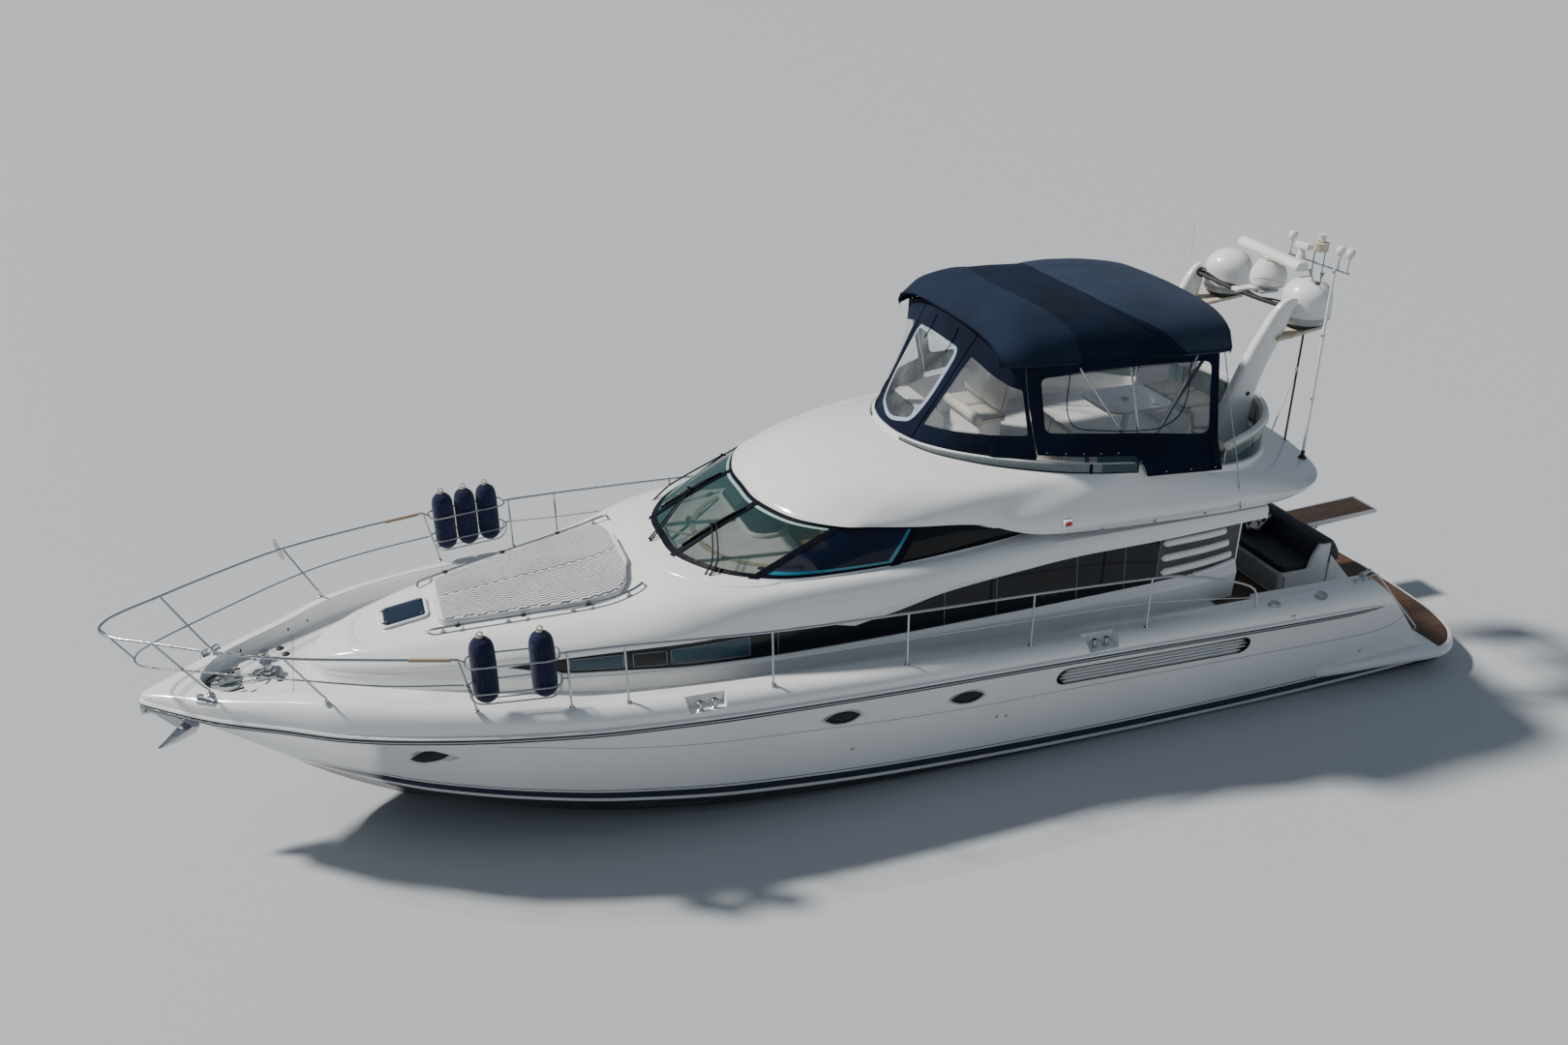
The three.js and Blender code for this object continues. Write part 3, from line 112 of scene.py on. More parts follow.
# Hull: a glass-fibre shell with a raked stem, flared topsides and a broad rounded cap, moulded in one with
# the side decks, the foredeck, the cockpit and the raked transom. White gelcoat over a navy band, a white
# stripe and dark antifouling; fine non-skid on the decks. Columns: x, half beam at the rub rail, z of the
# rub rail, z of the cap, half beam and z of the chine, z of the keel.
HULL = [
    (8.64, 0.06, 1.990, 2.100, 0.02, 1.975, 1.955),
    (8.34, 0.33, 1.975, 2.150, 0.09, 1.800, 1.740),
    (7.82, 0.72, 1.960, 2.200, 0.17, 1.450, 1.370),
    (7.16, 1.10, 1.945, 2.260, 0.33, 1.050, 0.780),
    (6.50, 1.49, 1.930, 2.310, 0.56, 0.780, 0.290),
    (5.60, 1.85, 1.915, 2.270, 0.95, 0.520, -0.200),
    (4.50, 2.15, 1.890, 2.200, 1.33, 0.330, -0.560),
    (3.50, 2.32, 1.860, 2.140, 1.60, 0.230, -0.760),
    (2.00, 2.42, 1.800, 2.070, 1.85, 0.150, -0.900),
    (0.00, 2.45, 1.720, 1.970, 1.98, 0.090, -0.960),
    (-3.00, 2.44, 1.600, 1.830, 2.04, 0.060, -0.900),
    (-6.00, 2.40, 1.450, 1.730, 2.06, 0.050, -0.780),
    (-7.00, 2.38, 1.420, 1.710, 2.06, 0.050, -0.740),
    (-8.55, 2.30, 1.390, 1.700, 2.04, 0.050, -0.680),
]
# Deck inside the bulwarks: x, z of the deck, half width of the well
DECK = [
    (8.02, 2.030, 0.25),
    (7.82, 2.035, 0.43),
    (7.16, 2.060, 0.80),
    (6.50, 2.075, 1.17),
    (5.60, 2.050, 1.52),
    (4.50, 1.995, 1.81),
    (3.50, 1.930, 1.98),
    (2.00, 1.875, 2.08),
    (0.00, 1.800, 2.11),
    (-3.00, 1.680, 2.10),
    (-5.00, 1.600, 2.07),
]
TRANSOM_TOP = (-6.95, 1.70)
TRANSOM_FOOT = (-8.23, 0.279)
STEPS_Y = (1.26, 1.96)
STEP_Z = 0.72
COCKPIT_Z = 1.0
PLATFORM_Z = 0.43


def between(table, at, free=False):
    """Rows of a table read at places along its first column, by a cubic from row to row. A row's slope is
    the harmonic mean of the slopes beside it, which never overshoots, or, if free, the slope across it."""
    table = np.asarray(table, float)
    if table[0, 0] > table[-1, 0]:
        table = table[::-1]
    at = np.clip(at, table[0, 0], table[-1, 0])
    x, y = table[:, 0], table[:, 1:]
    step = np.diff(x)[:, None]
    rise = np.diff(y, axis=0) / step
    slope = np.vstack([rise[:1], np.zeros_like(rise[1:]), rise[-1:]])
    product = rise[1:] * rise[:-1]
    total = rise[1:] + rise[:-1]
    even = np.where(product > 0, 2 * product / np.where(product > 0, total, 1), 0)
    slope[1:-1] = (y[2:] - y[:-2]) / (step[1:] + step[:-1]) if free else even
    i = np.clip(np.searchsorted(x, at) - 1, 0, len(x) - 2)
    h = (x[i + 1] - x[i])[:, None]
    t = (at - x[i])[:, None] / h
    low = y[i] * (1 + 2 * t) * (1 - t) ** 2 + slope[i] * h * t * (1 - t) ** 2
    return low + y[i + 1] * t**2 * (3 - 2 * t) + slope[i + 1] * h * t**2 * (t - 1)


def through(points, count, free=True):
    """Evenly many points on a smooth curve through the given ones, run by its length."""
    points = np.asarray(points, float)
    run = np.concatenate([[0], np.cumsum(np.linalg.norm(np.diff(points, axis=0), axis=1))])
    return between(np.column_stack([run, points]), np.linspace(0, run[-1], count), free)


def full_turn(count):
    """Evenly many angles round a whole turn."""
    return np.linspace(0, 2 * math.pi, count, endpoint=False)


def at_height(plan, z):
    """Points of a plan set at one height."""
    return np.column_stack([plan, np.full(len(plan), z)])


def across(half):
    """Closed rings across the boat from port halves, which run from the lower centreline to the upper one."""
    return np.concatenate([half, half[:, -2:0:-1] * (1, -1, 1)], 1)


def skin(rings, looped=False):
    """A shape through rings of points: four-sided faces between rings, and one face over each open end. The
    faces are turned outwards by the sign of the volume that they sweep from the shape's middle."""
    rings = np.asarray(rings, float)
    rows, ring = rings.shape[:2]
    at = np.arange(rows * ring).reshape(rows, ring)
    at = np.hstack([at, at[:, :1]])
    at = np.vstack([at, at[:1]]) if looped else at
    square = np.stack([at[:-1, :-1], at[:-1, 1:], at[1:, 1:], at[1:, :-1]], -1).reshape(-1, 4)
    points = rings.reshape(-1, 3)
    a, b, c, d = (points[square[:, k]] - points.mean(0) for k in range(4))
    inward = (a * (np.cross(b, c) + np.cross(c, d))).sum() < 0
    faces = square.tolist()
    if not looped:
        faces += [list(range(ring))[::-1], list(range((rows - 1) * ring, rows * ring))]
    return points, [face[::-1] for face in faces] if inward else faces


def block(low, high):
    """A plain box between two corners, as a cutter or the core of a bevelled piece."""
    (x0, y0, z0), (x1, y1, z1) = low, high
    return skin([[(x0, y0, z), (x1, y0, z), (x1, y1, z), (x0, y1, z)] for z in (z0, z1)])


def mirror(shape):
    """The shape on the other side of the boat."""
    points, faces = shape
    return points * (1, -1, 1), [face[::-1] for face in faces]


def both(shape):
    return [shape, mirror(shape)]


def moved(shape, by):
    """The shape moved by an offset."""
    return shape[0] + by, shape[1]


def dressed(shapes, finish):
    """Shapes paired with one finish, as piece takes them."""
    return [(shape, finish) for shape in shapes]


def twice(shapes, finish):
    """The same on both sides of the boat."""
    return [(part, finish) for shape in shapes for part in both(shape)]


def mesh_of(name, parts):
    """One mesh from pairs of a shape and its finish; each finish becomes a material slot of the mesh."""
    finishes = list(dict.fromkeys(finish for _, finish in parts if finish))
    points, faces, marks, start = [], [], [], 0
    for (corners, around), finish in parts:
        points.append(corners)
        faces += [[k + start for k in face] for face in around]
        marks += [finishes.index(finish) if finish else 0] * len(around)
        start += len(corners)
    mesh = bpy.data.meshes.new(name)
    mesh.from_pydata(np.concatenate(points).tolist(), [], faces)
    mesh.polygons.foreach_set("material_index", marks)
    for finish in finishes:
        mesh.materials.append(finish.material)
    return mesh


def piece(name, parts, body="yacht", replaces=(), sharp=32):
    """An object of the boat from pairs of shape and finish, riding on a body and standing for CAD nodes."""
    mesh = mesh_of(name, parts)
    mesh.shade_smooth()
    mesh.set_sharp_from_angle(angle=math.radians(sharp))
    made = bpy.data.objects.new(name, mesh)
    scene.collection.objects.link(made)
    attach(made, body)
    if replaces:
        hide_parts(*replaces)
    return made


def carve(made, cutters, sharp=32):
    """Takes shapes out of a piece, one Boolean after another, and keeps the mesh that results."""
    tools = []
    for shape in cutters:
        tool = bpy.data.objects.new("tool", mesh_of("tool", [(shape, None)]))
        scene.collection.objects.link(tool)
        change = made.modifiers.new("carve", "BOOLEAN")
        change.object = tool
        change.operation = "DIFFERENCE"
        change.solver = "MANIFOLD"
        tools.append(tool)
    graph = bpy.context.evaluated_depsgraph_get()
    mesh = bpy.data.meshes.new_from_object(made.evaluated_get(graph))
    made.modifiers.clear()
    made.data = mesh
    mesh.shade_smooth()
    mesh.set_sharp_from_angle(angle=math.radians(sharp))
    for tool in tools:
        bpy.data.objects.remove(tool)
    return made


def faces_of(made):
    """Normals and middles of a mesh's faces, as arrays."""
    count = len(made.data.polygons)
    normal, middle = np.empty(count * 3), np.empty(count * 3)
    made.data.polygons.foreach_get("normal", normal)
    made.data.polygons.foreach_get("center", middle)
    return normal.reshape(-1, 3), middle.reshape(-1, 3)


def repaint(made, chosen, finish):
    """Gives a finish to the chosen faces of a piece."""
    if finish.material.name not in made.data.materials:
        made.data.materials.append(finish.material)
    marks = np.empty(len(made.data.polygons), int)
    made.data.polygons.foreach_get("material_index", marks)
    marks[chosen] = made.data.materials.find(finish.material.name)
    made.data.polygons.foreach_set("material_index", marks)


class Reading:
    """A socket's value that takes part in sums: each operator adds one Math node to the finish."""

    def __init__(self, finish, socket):
        self.finish, self.socket = finish, socket

    __add__ = __radd__ = lambda self, other: self.finish.reckon("ADD", self, other)
    __mul__ = __rmul__ = lambda self, other: self.finish.reckon("MULTIPLY", self, other)
    __sub__ = lambda self, other: self.finish.reckon("SUBTRACT", self, other)
    __gt__ = lambda self, other: self.finish.reckon("GREATER_THAN", self, other)
    __lt__ = lambda self, other: self.finish.reckon("LESS_THAN", self, other)


class Finish:
    """A material of the boat: a Principled shader whose constants are set on its sockets."""

    def __init__(self, name, color, roughness, **constants):
        self.material = bpy.data.materials.new(name)
        self.material.use_nodes = True
        self.tree = self.material.node_tree
        self.shader = self.tree.nodes["Principled BSDF"]
        self.set(Base_Color=(*color, 1), Roughness=roughness, **constants)

    def set(self, **values):
        for name, value in values.items():
            self.give(self.shader.inputs[name.replace("_", " ")], value)

    def give(self, socket, value):
        if isinstance(value, Reading):
            self.tree.links.new(value.socket, socket)
        else:
            socket.default_value = value

    def node(self, kind, settings=None, sockets=None, out=0):
        """A node of a type, with its settings put first, then its sockets' values or links."""
        made = self.tree.nodes.new("ShaderNode" + kind)
        for key, value in (settings or {}).items():
            if key == "stops":
                for stop, (place, color) in zip(made.color_ramp.elements, value):
                    stop.position, stop.color = place, (*color, 1)
            else:
                setattr(made, key, value)
        for key, value in (sockets or {}).items():
            self.give(made.inputs[key], value)
        return Reading(self, made.outputs[out])

    def reckon(self, operation, *values):
        """A Math node on one value or two."""
        return self.node("Math", {"operation": operation}, dict(enumerate(values)))

    def place(self, scale=(1, 1, 1), turn=(0, 0, 0)):
        """Object coordinates, scaled and turned by a Mapping node."""
        plain = self.node("TexCoord", out=3)
        return self.node("Mapping", None, {"Vector": plain, "Scale": scale, "Rotation": turn})

    def axes(self):
        """The three object coordinates, one reading each."""
        split = self.node("SeparateXYZ", None, {0: self.node("TexCoord", out=3)})
        outs = split.socket.node.outputs
        return [Reading(self, outs[k]) for k in range(3)]

    def noise(self, scale, detail=3, stretch=(1, 1, 1), rough=0.5):
        sockets = {"Vector": self.place(stretch), "Scale": scale, "Detail": detail, "Roughness": rough}
        return self.node("TexNoise", None, sockets)

    def ramp(self, value, low, high, start=0.0, end=1.0):
        """A value brought smoothly from the range low to high into the range start to end."""
        sockets = {"Value": value, 1: low, 2: high, 3: start, 4: end}
        return self.node("MapRange", {"interpolation_type": "SMOOTHSTEP"}, sockets)

    def mix(self, mask, first, second):
        """Two colours mixed by a mask, each a triple or a reading."""
        full = [(*c, 1) if isinstance(c, tuple) else c for c in (first, second)]
        return self.node("Mix", {"data_type": "RGBA"}, {0: mask, 6: full[0], 7: full[1]}, out=2)

    def bump(self, height, strength, distance):
        sockets = {"Height": height, "Strength": strength, "Distance": distance}
        self.set(Normal=self.node("Bump", None, sockets))


def tinted(color, factor):
    return tuple(min(1.0, c * factor) for c in color)


def wandering(name, color, roughness, socket, noise, low, high, **constants):
    """A finish with one socket that wanders between two values, or between two colours, by a noise."""
    made = Finish(name, color, roughness, **constants)
    made.cloud = made.noise(*noise)
    colored = socket == "Base Color"
    value = made.mix(made.cloud, low, high) if colored else made.ramp(made.cloud, 0.3, 0.7, low, high)
    made.set(**{socket: value})
    return made


WHITE = (0.82, 0.825, 0.82)
NAVY_STRIPE = (0.006, 0.009, 0.035)
ANTIFOUL = (0.010, 0.011, 0.013)


def gelcoat(name, color, rough=0.16):
    """Polished gelcoat: faint clouds in colour and gloss, and the long soft waves of a moulded laminate."""
    made = Finish(name, color, rough, Coat_Weight=0.5, Coat_Roughness=0.05)
    cloud = made.noise(0.7, 4)
    fine = made.noise(9, 3)
    streak = made.noise(1.6, 3, (1.2, 1.2, 0.15))
    shade = made.mix(made.ramp(cloud, 0.3, 0.7), tinted(color, 0.965), tinted(color, 1.025))
    made.set(Base_Color=made.mix(made.ramp(streak, 0.55, 0.8, 0, 0.35), shade, tinted(color, 0.9)))
    made.set(Roughness=made.ramp(fine, 0.25, 0.75, rough * 0.8, rough * 1.5))
    made.bump(cloud, 0.12, 0.02)
    return made


white = gelcoat("gelcoat", WHITE)


def topsides():
    """Gelcoat with the boot stripes: height above a line that rises forward by a square law picks each."""
    made = gelcoat("topsides", WHITE, 0.12)
    x, y, z = made.axes()
    run = x + 1.6
    level = z - (run * 0.035 + run * run * 0.0052 + 0.29)
    plain = made.shader.inputs["Base Color"].links[0].from_socket
    pin = (level > 0.035) * (level < 0.050)
    navy = (level < 0.0) * (level > -0.125)
    foul = level < -0.185
    color = made.mix(pin + navy, Reading(made, plain), NAVY_STRIPE)
    scum = made.noise(5, 6, (1, 1, 3))
    weed = made.mix(made.ramp(scum, 0.45, 0.7), ANTIFOUL, (0.035, 0.037, 0.034))
    made.set(Base_Color=made.mix(foul, color, weed))
    made.set(Roughness=foul * 0.5 + 0.13)
    return made


def non_skid():
    """Deck gelcoat with a fine moulded grain and the grey that feet leave in it."""
    made = Finish("non_skid", tinted(WHITE, 0.9), 0.55)
    soil = made.noise(1.3, 5)
    made.set(Base_Color=made.mix(made.ramp(soil, 0.35, 0.75), tinted(WHITE, 0.93), tinted(WHITE, 0.8)))
    grain = made.node("TexVoronoi", None, {"Vector": made.place(), "Scale": 160.0})
    made.bump(grain, 0.35, 0.0015)
    return made


hull_paint = topsides()
deck_paint = non_skid()
# Near-black painted shade for the walls of recesses, with a wandering gloss.
shadow_gap = wandering("painted_recess_shade", (0.012, 0.013, 0.015), 0.6, "Roughness", (12,), 0.45, 0.8)

NOSE_X = 8.67
bow_rows = 8.34 + (NOSE_X - 8.34) * np.sin(np.linspace(0, math.pi / 2, 12))
hull_x = np.concatenate([np.linspace(-8.55, 8.30, 132), bow_rows])


def hull_station(x):
    """Half beam and heights at x, the bow rounded off: past x 8.34 the half beam falls as an ellipse does."""
    rows = between(HULL, x)
    past = np.clip((x - 8.34) / (NOSE_X - 8.34), 0, 1)[:, None]
    start, before = between(HULL, np.array([8.34, 8.24]))[:, 0]
    straight = start + (start - before) * 10 * (NOSE_X - 8.34) * (past - 0.4 * past**2)
    rows[:, :1] = np.where(past > 0, straight * np.sqrt(1 - past**2) + 0.012 * past, rows[:, :1])
    rows[:, 3:4] = np.where(past > 0, np.minimum(rows[:, 3:4], rows[:, :1] * 0.5), rows[:, 3:4])
    return rows.T


def hull_side(x, t):
    """A point of the topsides at x, t running from the chine, 0, to the rub rail, 1: a straight line from
    chine to rail, hollowed by a sine whose depth is the flare."""
    b, rub, cap, chine, chine_z, keel = hull_station(x)
    flare = np.maximum(0, 0.17 * (1 - b / 2.45) * np.minimum(1, b / 0.7))
    return chine + (b - chine) * t - flare * np.sin(math.pi * t), chine_z + (rub - chine_z) * t


def hull_y(x, z):
    """Half width of the topsides at x and z."""
    b, rub, cap, chine, chine_z, keel = hull_station(x)
    return hull_side(x, (z - chine_z) / (rub - chine_z))[0]


def hull_point(x, z):
    """The same at one place, as a plain number."""
    return float(hull_y(np.array([x]), np.array([z]))[0])


def hull_rings():
    """Port halves: keel to chine, topsides, the cap as a superellipse 0.25 m wide and the deck inside."""
    x = hull_x
    b, rub, cap, chine, chine_z, keel = hull_station(x)
    bottom = [(chine * t, keel + (chine_z - keel) * t**0.9) for t in (0.0, 0.3, 0.6, 0.85, 0.985)]
    sides = [hull_side(x, t) for t in np.linspace(0, 1, 15)]
    turn = np.linspace(0.12, 1, 12) * math.pi / 2
    width = np.minimum(0.25, b * 0.7)
    shoulder = [
        (b - width * (1 - math.cos(a) ** 0.77), rub + (cap - rub) * math.sin(a) ** 0.67) for a in turn
    ]
    inner = [(b * 0.3 * k, cap) for k in (1, 0)]
    half = [np.stack([x, y * np.ones_like(x), z], -1) for y, z in bottom + sides + shoulder + inner]
    return across(np.stack(half, 1))


hull = piece("hull_moulding", [(skin(hull_rings()), hull_paint)], replaces=["hull"])


def deck_well():
    """What is above the decks: stations across, with a round of 60 mm where deck meets bulwark."""
    x = np.concatenate([np.linspace(-5.0, 7.9, 90), [7.96, 8.0, 8.02]])
    z, half = between(DECK, x).T
    half = half * np.where(x > 7.8, np.sqrt(np.clip(1 - ((x - 7.8) / 0.225) ** 2, 0.01, 1)), 1)
    bend = np.linspace(0, math.pi / 2, 6)
    round_y = [half - 0.06 + 0.06 * math.sin(a) for a in bend]
    round_z = [z + 0.06 - 0.06 * math.cos(a) for a in bend]
    ys = [half * 0, *round_y, half + 0.012, half * 0]
    zs = [z, *round_z, z * 0 + 3.0, z * 0 + 3.0]
    return skin(across(np.stack([np.stack([x, y, h], -1) for y, h in zip(ys, zs)], 1)))


def side_prism(outline, *at):
    """A side outline of x and z carried from one y to the next."""
    return skin([[(x, y, z) for x, z in outline] for y in at])


def rounded(x0, x1, y0, y1, radius, steps=8):
    """A rectangle with round corners as points, counter-clockwise."""
    arc = np.linspace(0, math.pi / 2, steps)
    corners = [(x1, y1, 0), (x0, y1, 1), (x0, y0, 2), (x1, y0, 3)]
    points = []
    for x, y, quarter in corners:
        cx = x - radius if quarter in (0, 3) else x + radius
        cy = y - radius if quarter < 2 else y + radius
        turned_arc = arc + quarter * math.pi / 2
        points += list(zip(cx + radius * np.cos(turned_arc), cy + radius * np.sin(turned_arc)))
    return np.array(points)


rake = [TRANSOM_TOP, TRANSOM_FOOT, (-8.7, 0.279), (-8.7, 1.9), (-6.95, 1.9)]
VENT = {"fore": (-1.93, 1.375), "aft": (-4.83, 1.255), "tall": 0.25}


def stadium(start, end, width, steps=12):
    """A long oval round a line in the side plane: two half circles joined by straights."""
    start, end = np.asarray(start), np.asarray(end)
    along = (end - start) / np.linalg.norm(end - start)
    up = np.array([-along[1], along[0]])
    arc = np.linspace(-math.pi / 2, math.pi / 2, steps)[:, None] * np.ones(2)
    far = end - along * width / 2 + width / 2 * (np.cos(arc) * along + np.sin(arc) * up)
    near = start + along * width / 2 - width / 2 * (np.cos(arc) * along + np.sin(arc) * up)
    return np.vstack([far, near])


PORTHOLES = [(0.94, 1.43), (-0.70, 1.35), (5.64, 1.50)]
CLEAT_POCKETS = [(2.60, 1.95), (-2.53, 1.70)]
vent_cut = side_prism(stadium(VENT["fore"], VENT["aft"], VENT["tall"]), 2.26, 2.6)
pocket_cuts = []
for x, z in CLEAT_POCKETS:
    floor_z = z - 0.005
    outline = [(x - 0.21, floor_z), (x + 0.21, floor_z), (x + 0.27, floor_z + 0.3), (x - 0.27, floor_z + 0.3)]
    pocket_cuts.append(side_prism(outline, 2.235, 2.6))


def lens_outline(x, z, long, tall, slope, steps=28):
    """A pointed oval: two arcs of height tall over length long, leaning with the sheer."""
    t = np.linspace(-1, 1, steps)
    arch = tall / 2 * (1 - np.abs(t) ** 2.4)
    upper = np.column_stack([x + t * long / 2, z + slope * t * long / 2 + arch])
    lower = np.column_stack([x + t * long / 2, z + slope * t * long / 2 - arch])[::-1]
    return np.vstack([upper[1:-1], lower])


def porthole_cut(x, z, slope=0.035):
    """A dish sunk in the topsides round a porthole: the lens outline drawn in as it goes deeper."""
    y = hull_point(x, z)
    rings = [(0.62, 0.30, 0.12), (0.62, 0.26, 0.0), (0.50, 0.19, -0.035)]
    return skin(
        [
            [(px, y + out, pz) for px, pz in lens_outline(x, z, long, tall, slope)]
            for long, tall, out in rings
        ]
    )


porthole_cuts = [porthole_cut(x, z) for x, z in PORTHOLES]
# Boxes cut from the hull, from low to high corner
CABIN_SPACE = (-4.84, -1.56, 1.25), (1.0, 1.56, 3.0)
COCKPIT = (-6.98, -1.96, COCKPIT_Z), (-5.0, 1.96, 3.0)
COCKPIT_EDGE = (-5.05, -2.06, 1.5), (-4.99, 2.06, 3.0)
UPPER_STEP = (-7.4, STEPS_Y[0], COCKPIT_Z), (-6.9, STEPS_Y[1], 3.0)
LOWER_STEP = (-7.8, STEPS_Y[0], STEP_Z), (-7.3, STEPS_Y[1], 3.0)
ENGINE_SPACE = (-6.9, -1.3, -0.1), (-5.04, 1.3, 1.01)
DOORWAY = (-5.1, -1.0, 1.25), (-4.83, 1.0, 3.0)
TRANSOM_DIP = (-7.3, -1.25, 1.52), (-6.9, 1.255, 3.0)
KEEL_FOOT = (-9, -3, -1.5), (9, 3, -0.93)
hull_cuts = [deck_well(), block(*CABIN_SPACE), block(*COCKPIT), block(*COCKPIT_EDGE), side_prism(rake, -3, 3)]
hull_cuts += [block(*box) for box in (UPPER_STEP, LOWER_STEP, ENGINE_SPACE, DOORWAY, TRANSOM_DIP, KEEL_FOOT)]
hull_cuts += [shape for cut in [vent_cut] + pocket_cuts + porthole_cuts for shape in both(cut)]
carve(hull, hull_cuts)
normals, middles = faces_of(hull)
walked = (normals[:, 2] > 0.96) & (np.abs(middles[:, 1]) < 2.07) & (middles[:, 2] > 0.9)
repaint(hull, walked & (middles[:, 0] < 7.9), deck_paint)

# Rub rail: an extruded rubber fender screwed along the joint of hull and deck, with a half-round strip of
# polished steel let into its face under the moulded lip of the cap. It runs round the bow and tapers out
# at the quarter.
def unit(vectors):
    return vectors / np.maximum(np.linalg.norm(vectors, axis=-1, keepdims=True), 1e-12)


def carried(path, section, out, size=1.0):
    """A section of (outward, upward) pairs carried along a path: each ring is the path's point plus outward
    times the outward direction there plus upward times +Z, both scaled by size."""
    section = np.asarray(section, float)
    size = np.asarray(size, float)[..., None, None] * np.ones((len(path), 1, 1))
    outward = section[None, :, :1] * np.asarray(out)[:, None]
    upward = section[None, :, 1:] * np.array((0, 0, 1.0))
    return skin(np.asarray(path)[:, None] + size * (outward + upward))


def plan_normals(path, looped=False):
    """Directions square to a path in plan, to the right of its run."""
    if looped:
        step = np.roll(path, -1, 0) - np.roll(path, 1, 0)
    else:
        step = np.gradient(path, axis=0)
    return unit(np.column_stack([step[:, 1], -step[:, 0], step[:, 0] * 0]))


# Stainless with its base colour held dark: a painted reflection of the dark water round the boat.
steel = wandering(
    "stainless", (0.46, 0.47, 0.49), 0.14, "Roughness", (14, 4, (1, 1, 6)), 0.09, 0.26, Metallic=1.0,
)
RUBBERS = (0.010, 0.011, 0.014), (0.032, 0.033, 0.036)
rubber = wandering("rubber", (0.018, 0.019, 0.022), 0.55, "Base Color", (30, 5), *RUBBERS)
rubber.bump(rubber.cloud, 0.2, 0.001)

rail_x = np.concatenate([np.linspace(-6.98, 8.30, 150), bow_rows])
rail_b, rail_z = hull_station(rail_x)[:2]
port_run = np.column_stack([rail_x, rail_b, rail_z])
rail_path = np.vstack([port_run, port_run[::-1] * (1, -1, 1)])
rail_out = plan_normals(rail_path) * -1
rail_size = np.concatenate([np.sin(np.clip((rail_x + 7.02) / 0.7, 0, 1) * math.pi / 2) ** 0.6] * 2)
rail_size[len(rail_x) :] = rail_size[len(rail_x) - 1 :: -1]
FENDER_SECTION = [
    (-0.03, -0.046), (0.020, -0.044), (0.031, -0.030), (0.033, -0.006), (0.030, 0.010), (-0.03, 0.012),
]
LIP_SECTION = [(-0.03, 0.014), (0.024, 0.014), (0.032, 0.022), (0.030, 0.034), (0.018, 0.046), (-0.03, 0.056)]
half_turn = np.linspace(-math.pi / 2, math.pi / 2, 7)
BEAD_SECTION = [(0.028 + 0.009 * math.cos(a), -0.010 + 0.010 * math.sin(a)) for a in half_turn]
BEAD_SECTION.append((0.02, 0.0))
piece(
    "rub_rail_fender", [(carried(rail_path, FENDER_SECTION, rail_out, size=rail_size), rubber)],
    replaces=["rub_rail"],
)
piece("rub_rail_bead", [(carried(rail_path, BEAD_SECTION, rail_out, size=rail_size), steel)])
piece("cap_lip", [(carried(rail_path, LIP_SECTION, rail_out, size=rail_size), white)])

# Topside details: a fine style line moulded along each side, drawn as a thin dark grey bead that is painted
# shade for its groove, the engine air vents with their lengthwise ribs and painted shade on the walls behind
# them, three pointed portholes a side with dark toughened glass, drains and vent grilles.
STYLE_LINE = [
    (4.90, 1.735),
    (4.51, 1.68),
    (2.99, 1.44),
    (1.33, 1.31),
    (-0.70, 1.16),
    (-2.50, 1.11),
    (-5.06, 1.01),
    (-6.60, 0.95),
    (-7.10, 0.96),
    (-7.36, 1.05),
    (-7.48, 1.20),
]


def facing_out(path, middle):
    """Directions square to a path in plan, each on the side away from a middle point."""
    out = plan_normals(path)
    return out * np.sign((out * (path - middle)).sum(1))[:, None]


def tube(path, radius, sides=10, looped=False):
    """A round bar: rings of sides points square to the path, turned from the axis that the path follows
    least; radius may differ from point to point. Open ends close with a face and a short round."""
    path = np.asarray(path, float)
    radius = np.broadcast_to(np.asarray(radius, float), len(path)).copy()
    if looped:
        step = np.roll(path, -1, 0) - np.roll(path, 1, 0)
    else:
        step = np.gradient(path, axis=0)
        ends = unit(step[[0, -1]])
        path = np.vstack([path[0] - ends[0] * radius[0] * 0.45, path, path[-1] + ends[1] * radius[-1] * 0.45])
        step = np.vstack([step[:1], step, step[-1:]])
        radius = np.concatenate([[radius[0] * 0.6], radius, [radius[-1] * 0.6]])
    run = unit(step)
    least = np.eye(3)[np.abs(run).max(0).argmin()]
    side = unit(np.cross(run, least))
    lift = np.cross(side, run)
    around = full_turn(sides)
    circle = np.cos(around)[None, :, None] * side[:, None] + np.sin(around)[None, :, None] * lift[:, None]
    return skin(path[:, None] + circle * radius[:, None, None], looped=looped)


def turned(profile, centre, axis=(0, 0, 1), steps=28):
    """A surface of revolution: a profile of (radius, distance along the axis) pairs turned about an axis."""
    profile = np.asarray(profile, float)
    axis = unit(np.asarray(axis, float))
    side = unit(np.cross(axis, np.eye(3)[np.abs(axis).argmin()]))
    lift = np.cross(axis, side)
    around = full_turn(steps)
    circle = np.cos(around)[:, None] * side + np.sin(around)[:, None] * lift
    radius = np.maximum(profile[:, 0], 0.0006)
    return skin(np.asarray(centre) + radius[:, None, None] * circle + profile[:, 1][:, None, None] * axis)


line_x, line_z = through(STYLE_LINE, 120).T
line_path = np.column_stack([line_x, hull_y(line_x, line_z) - 0.002, line_z])
# The style line's dark grey is painted shade: a bead coloured as the shadow inside a moulded groove.
groove_shade = gelcoat("style_line_shade", (0.30, 0.31, 0.33))
piece("style_line_shade", twice([tube(line_path, 0.007, 6)], groove_shade))

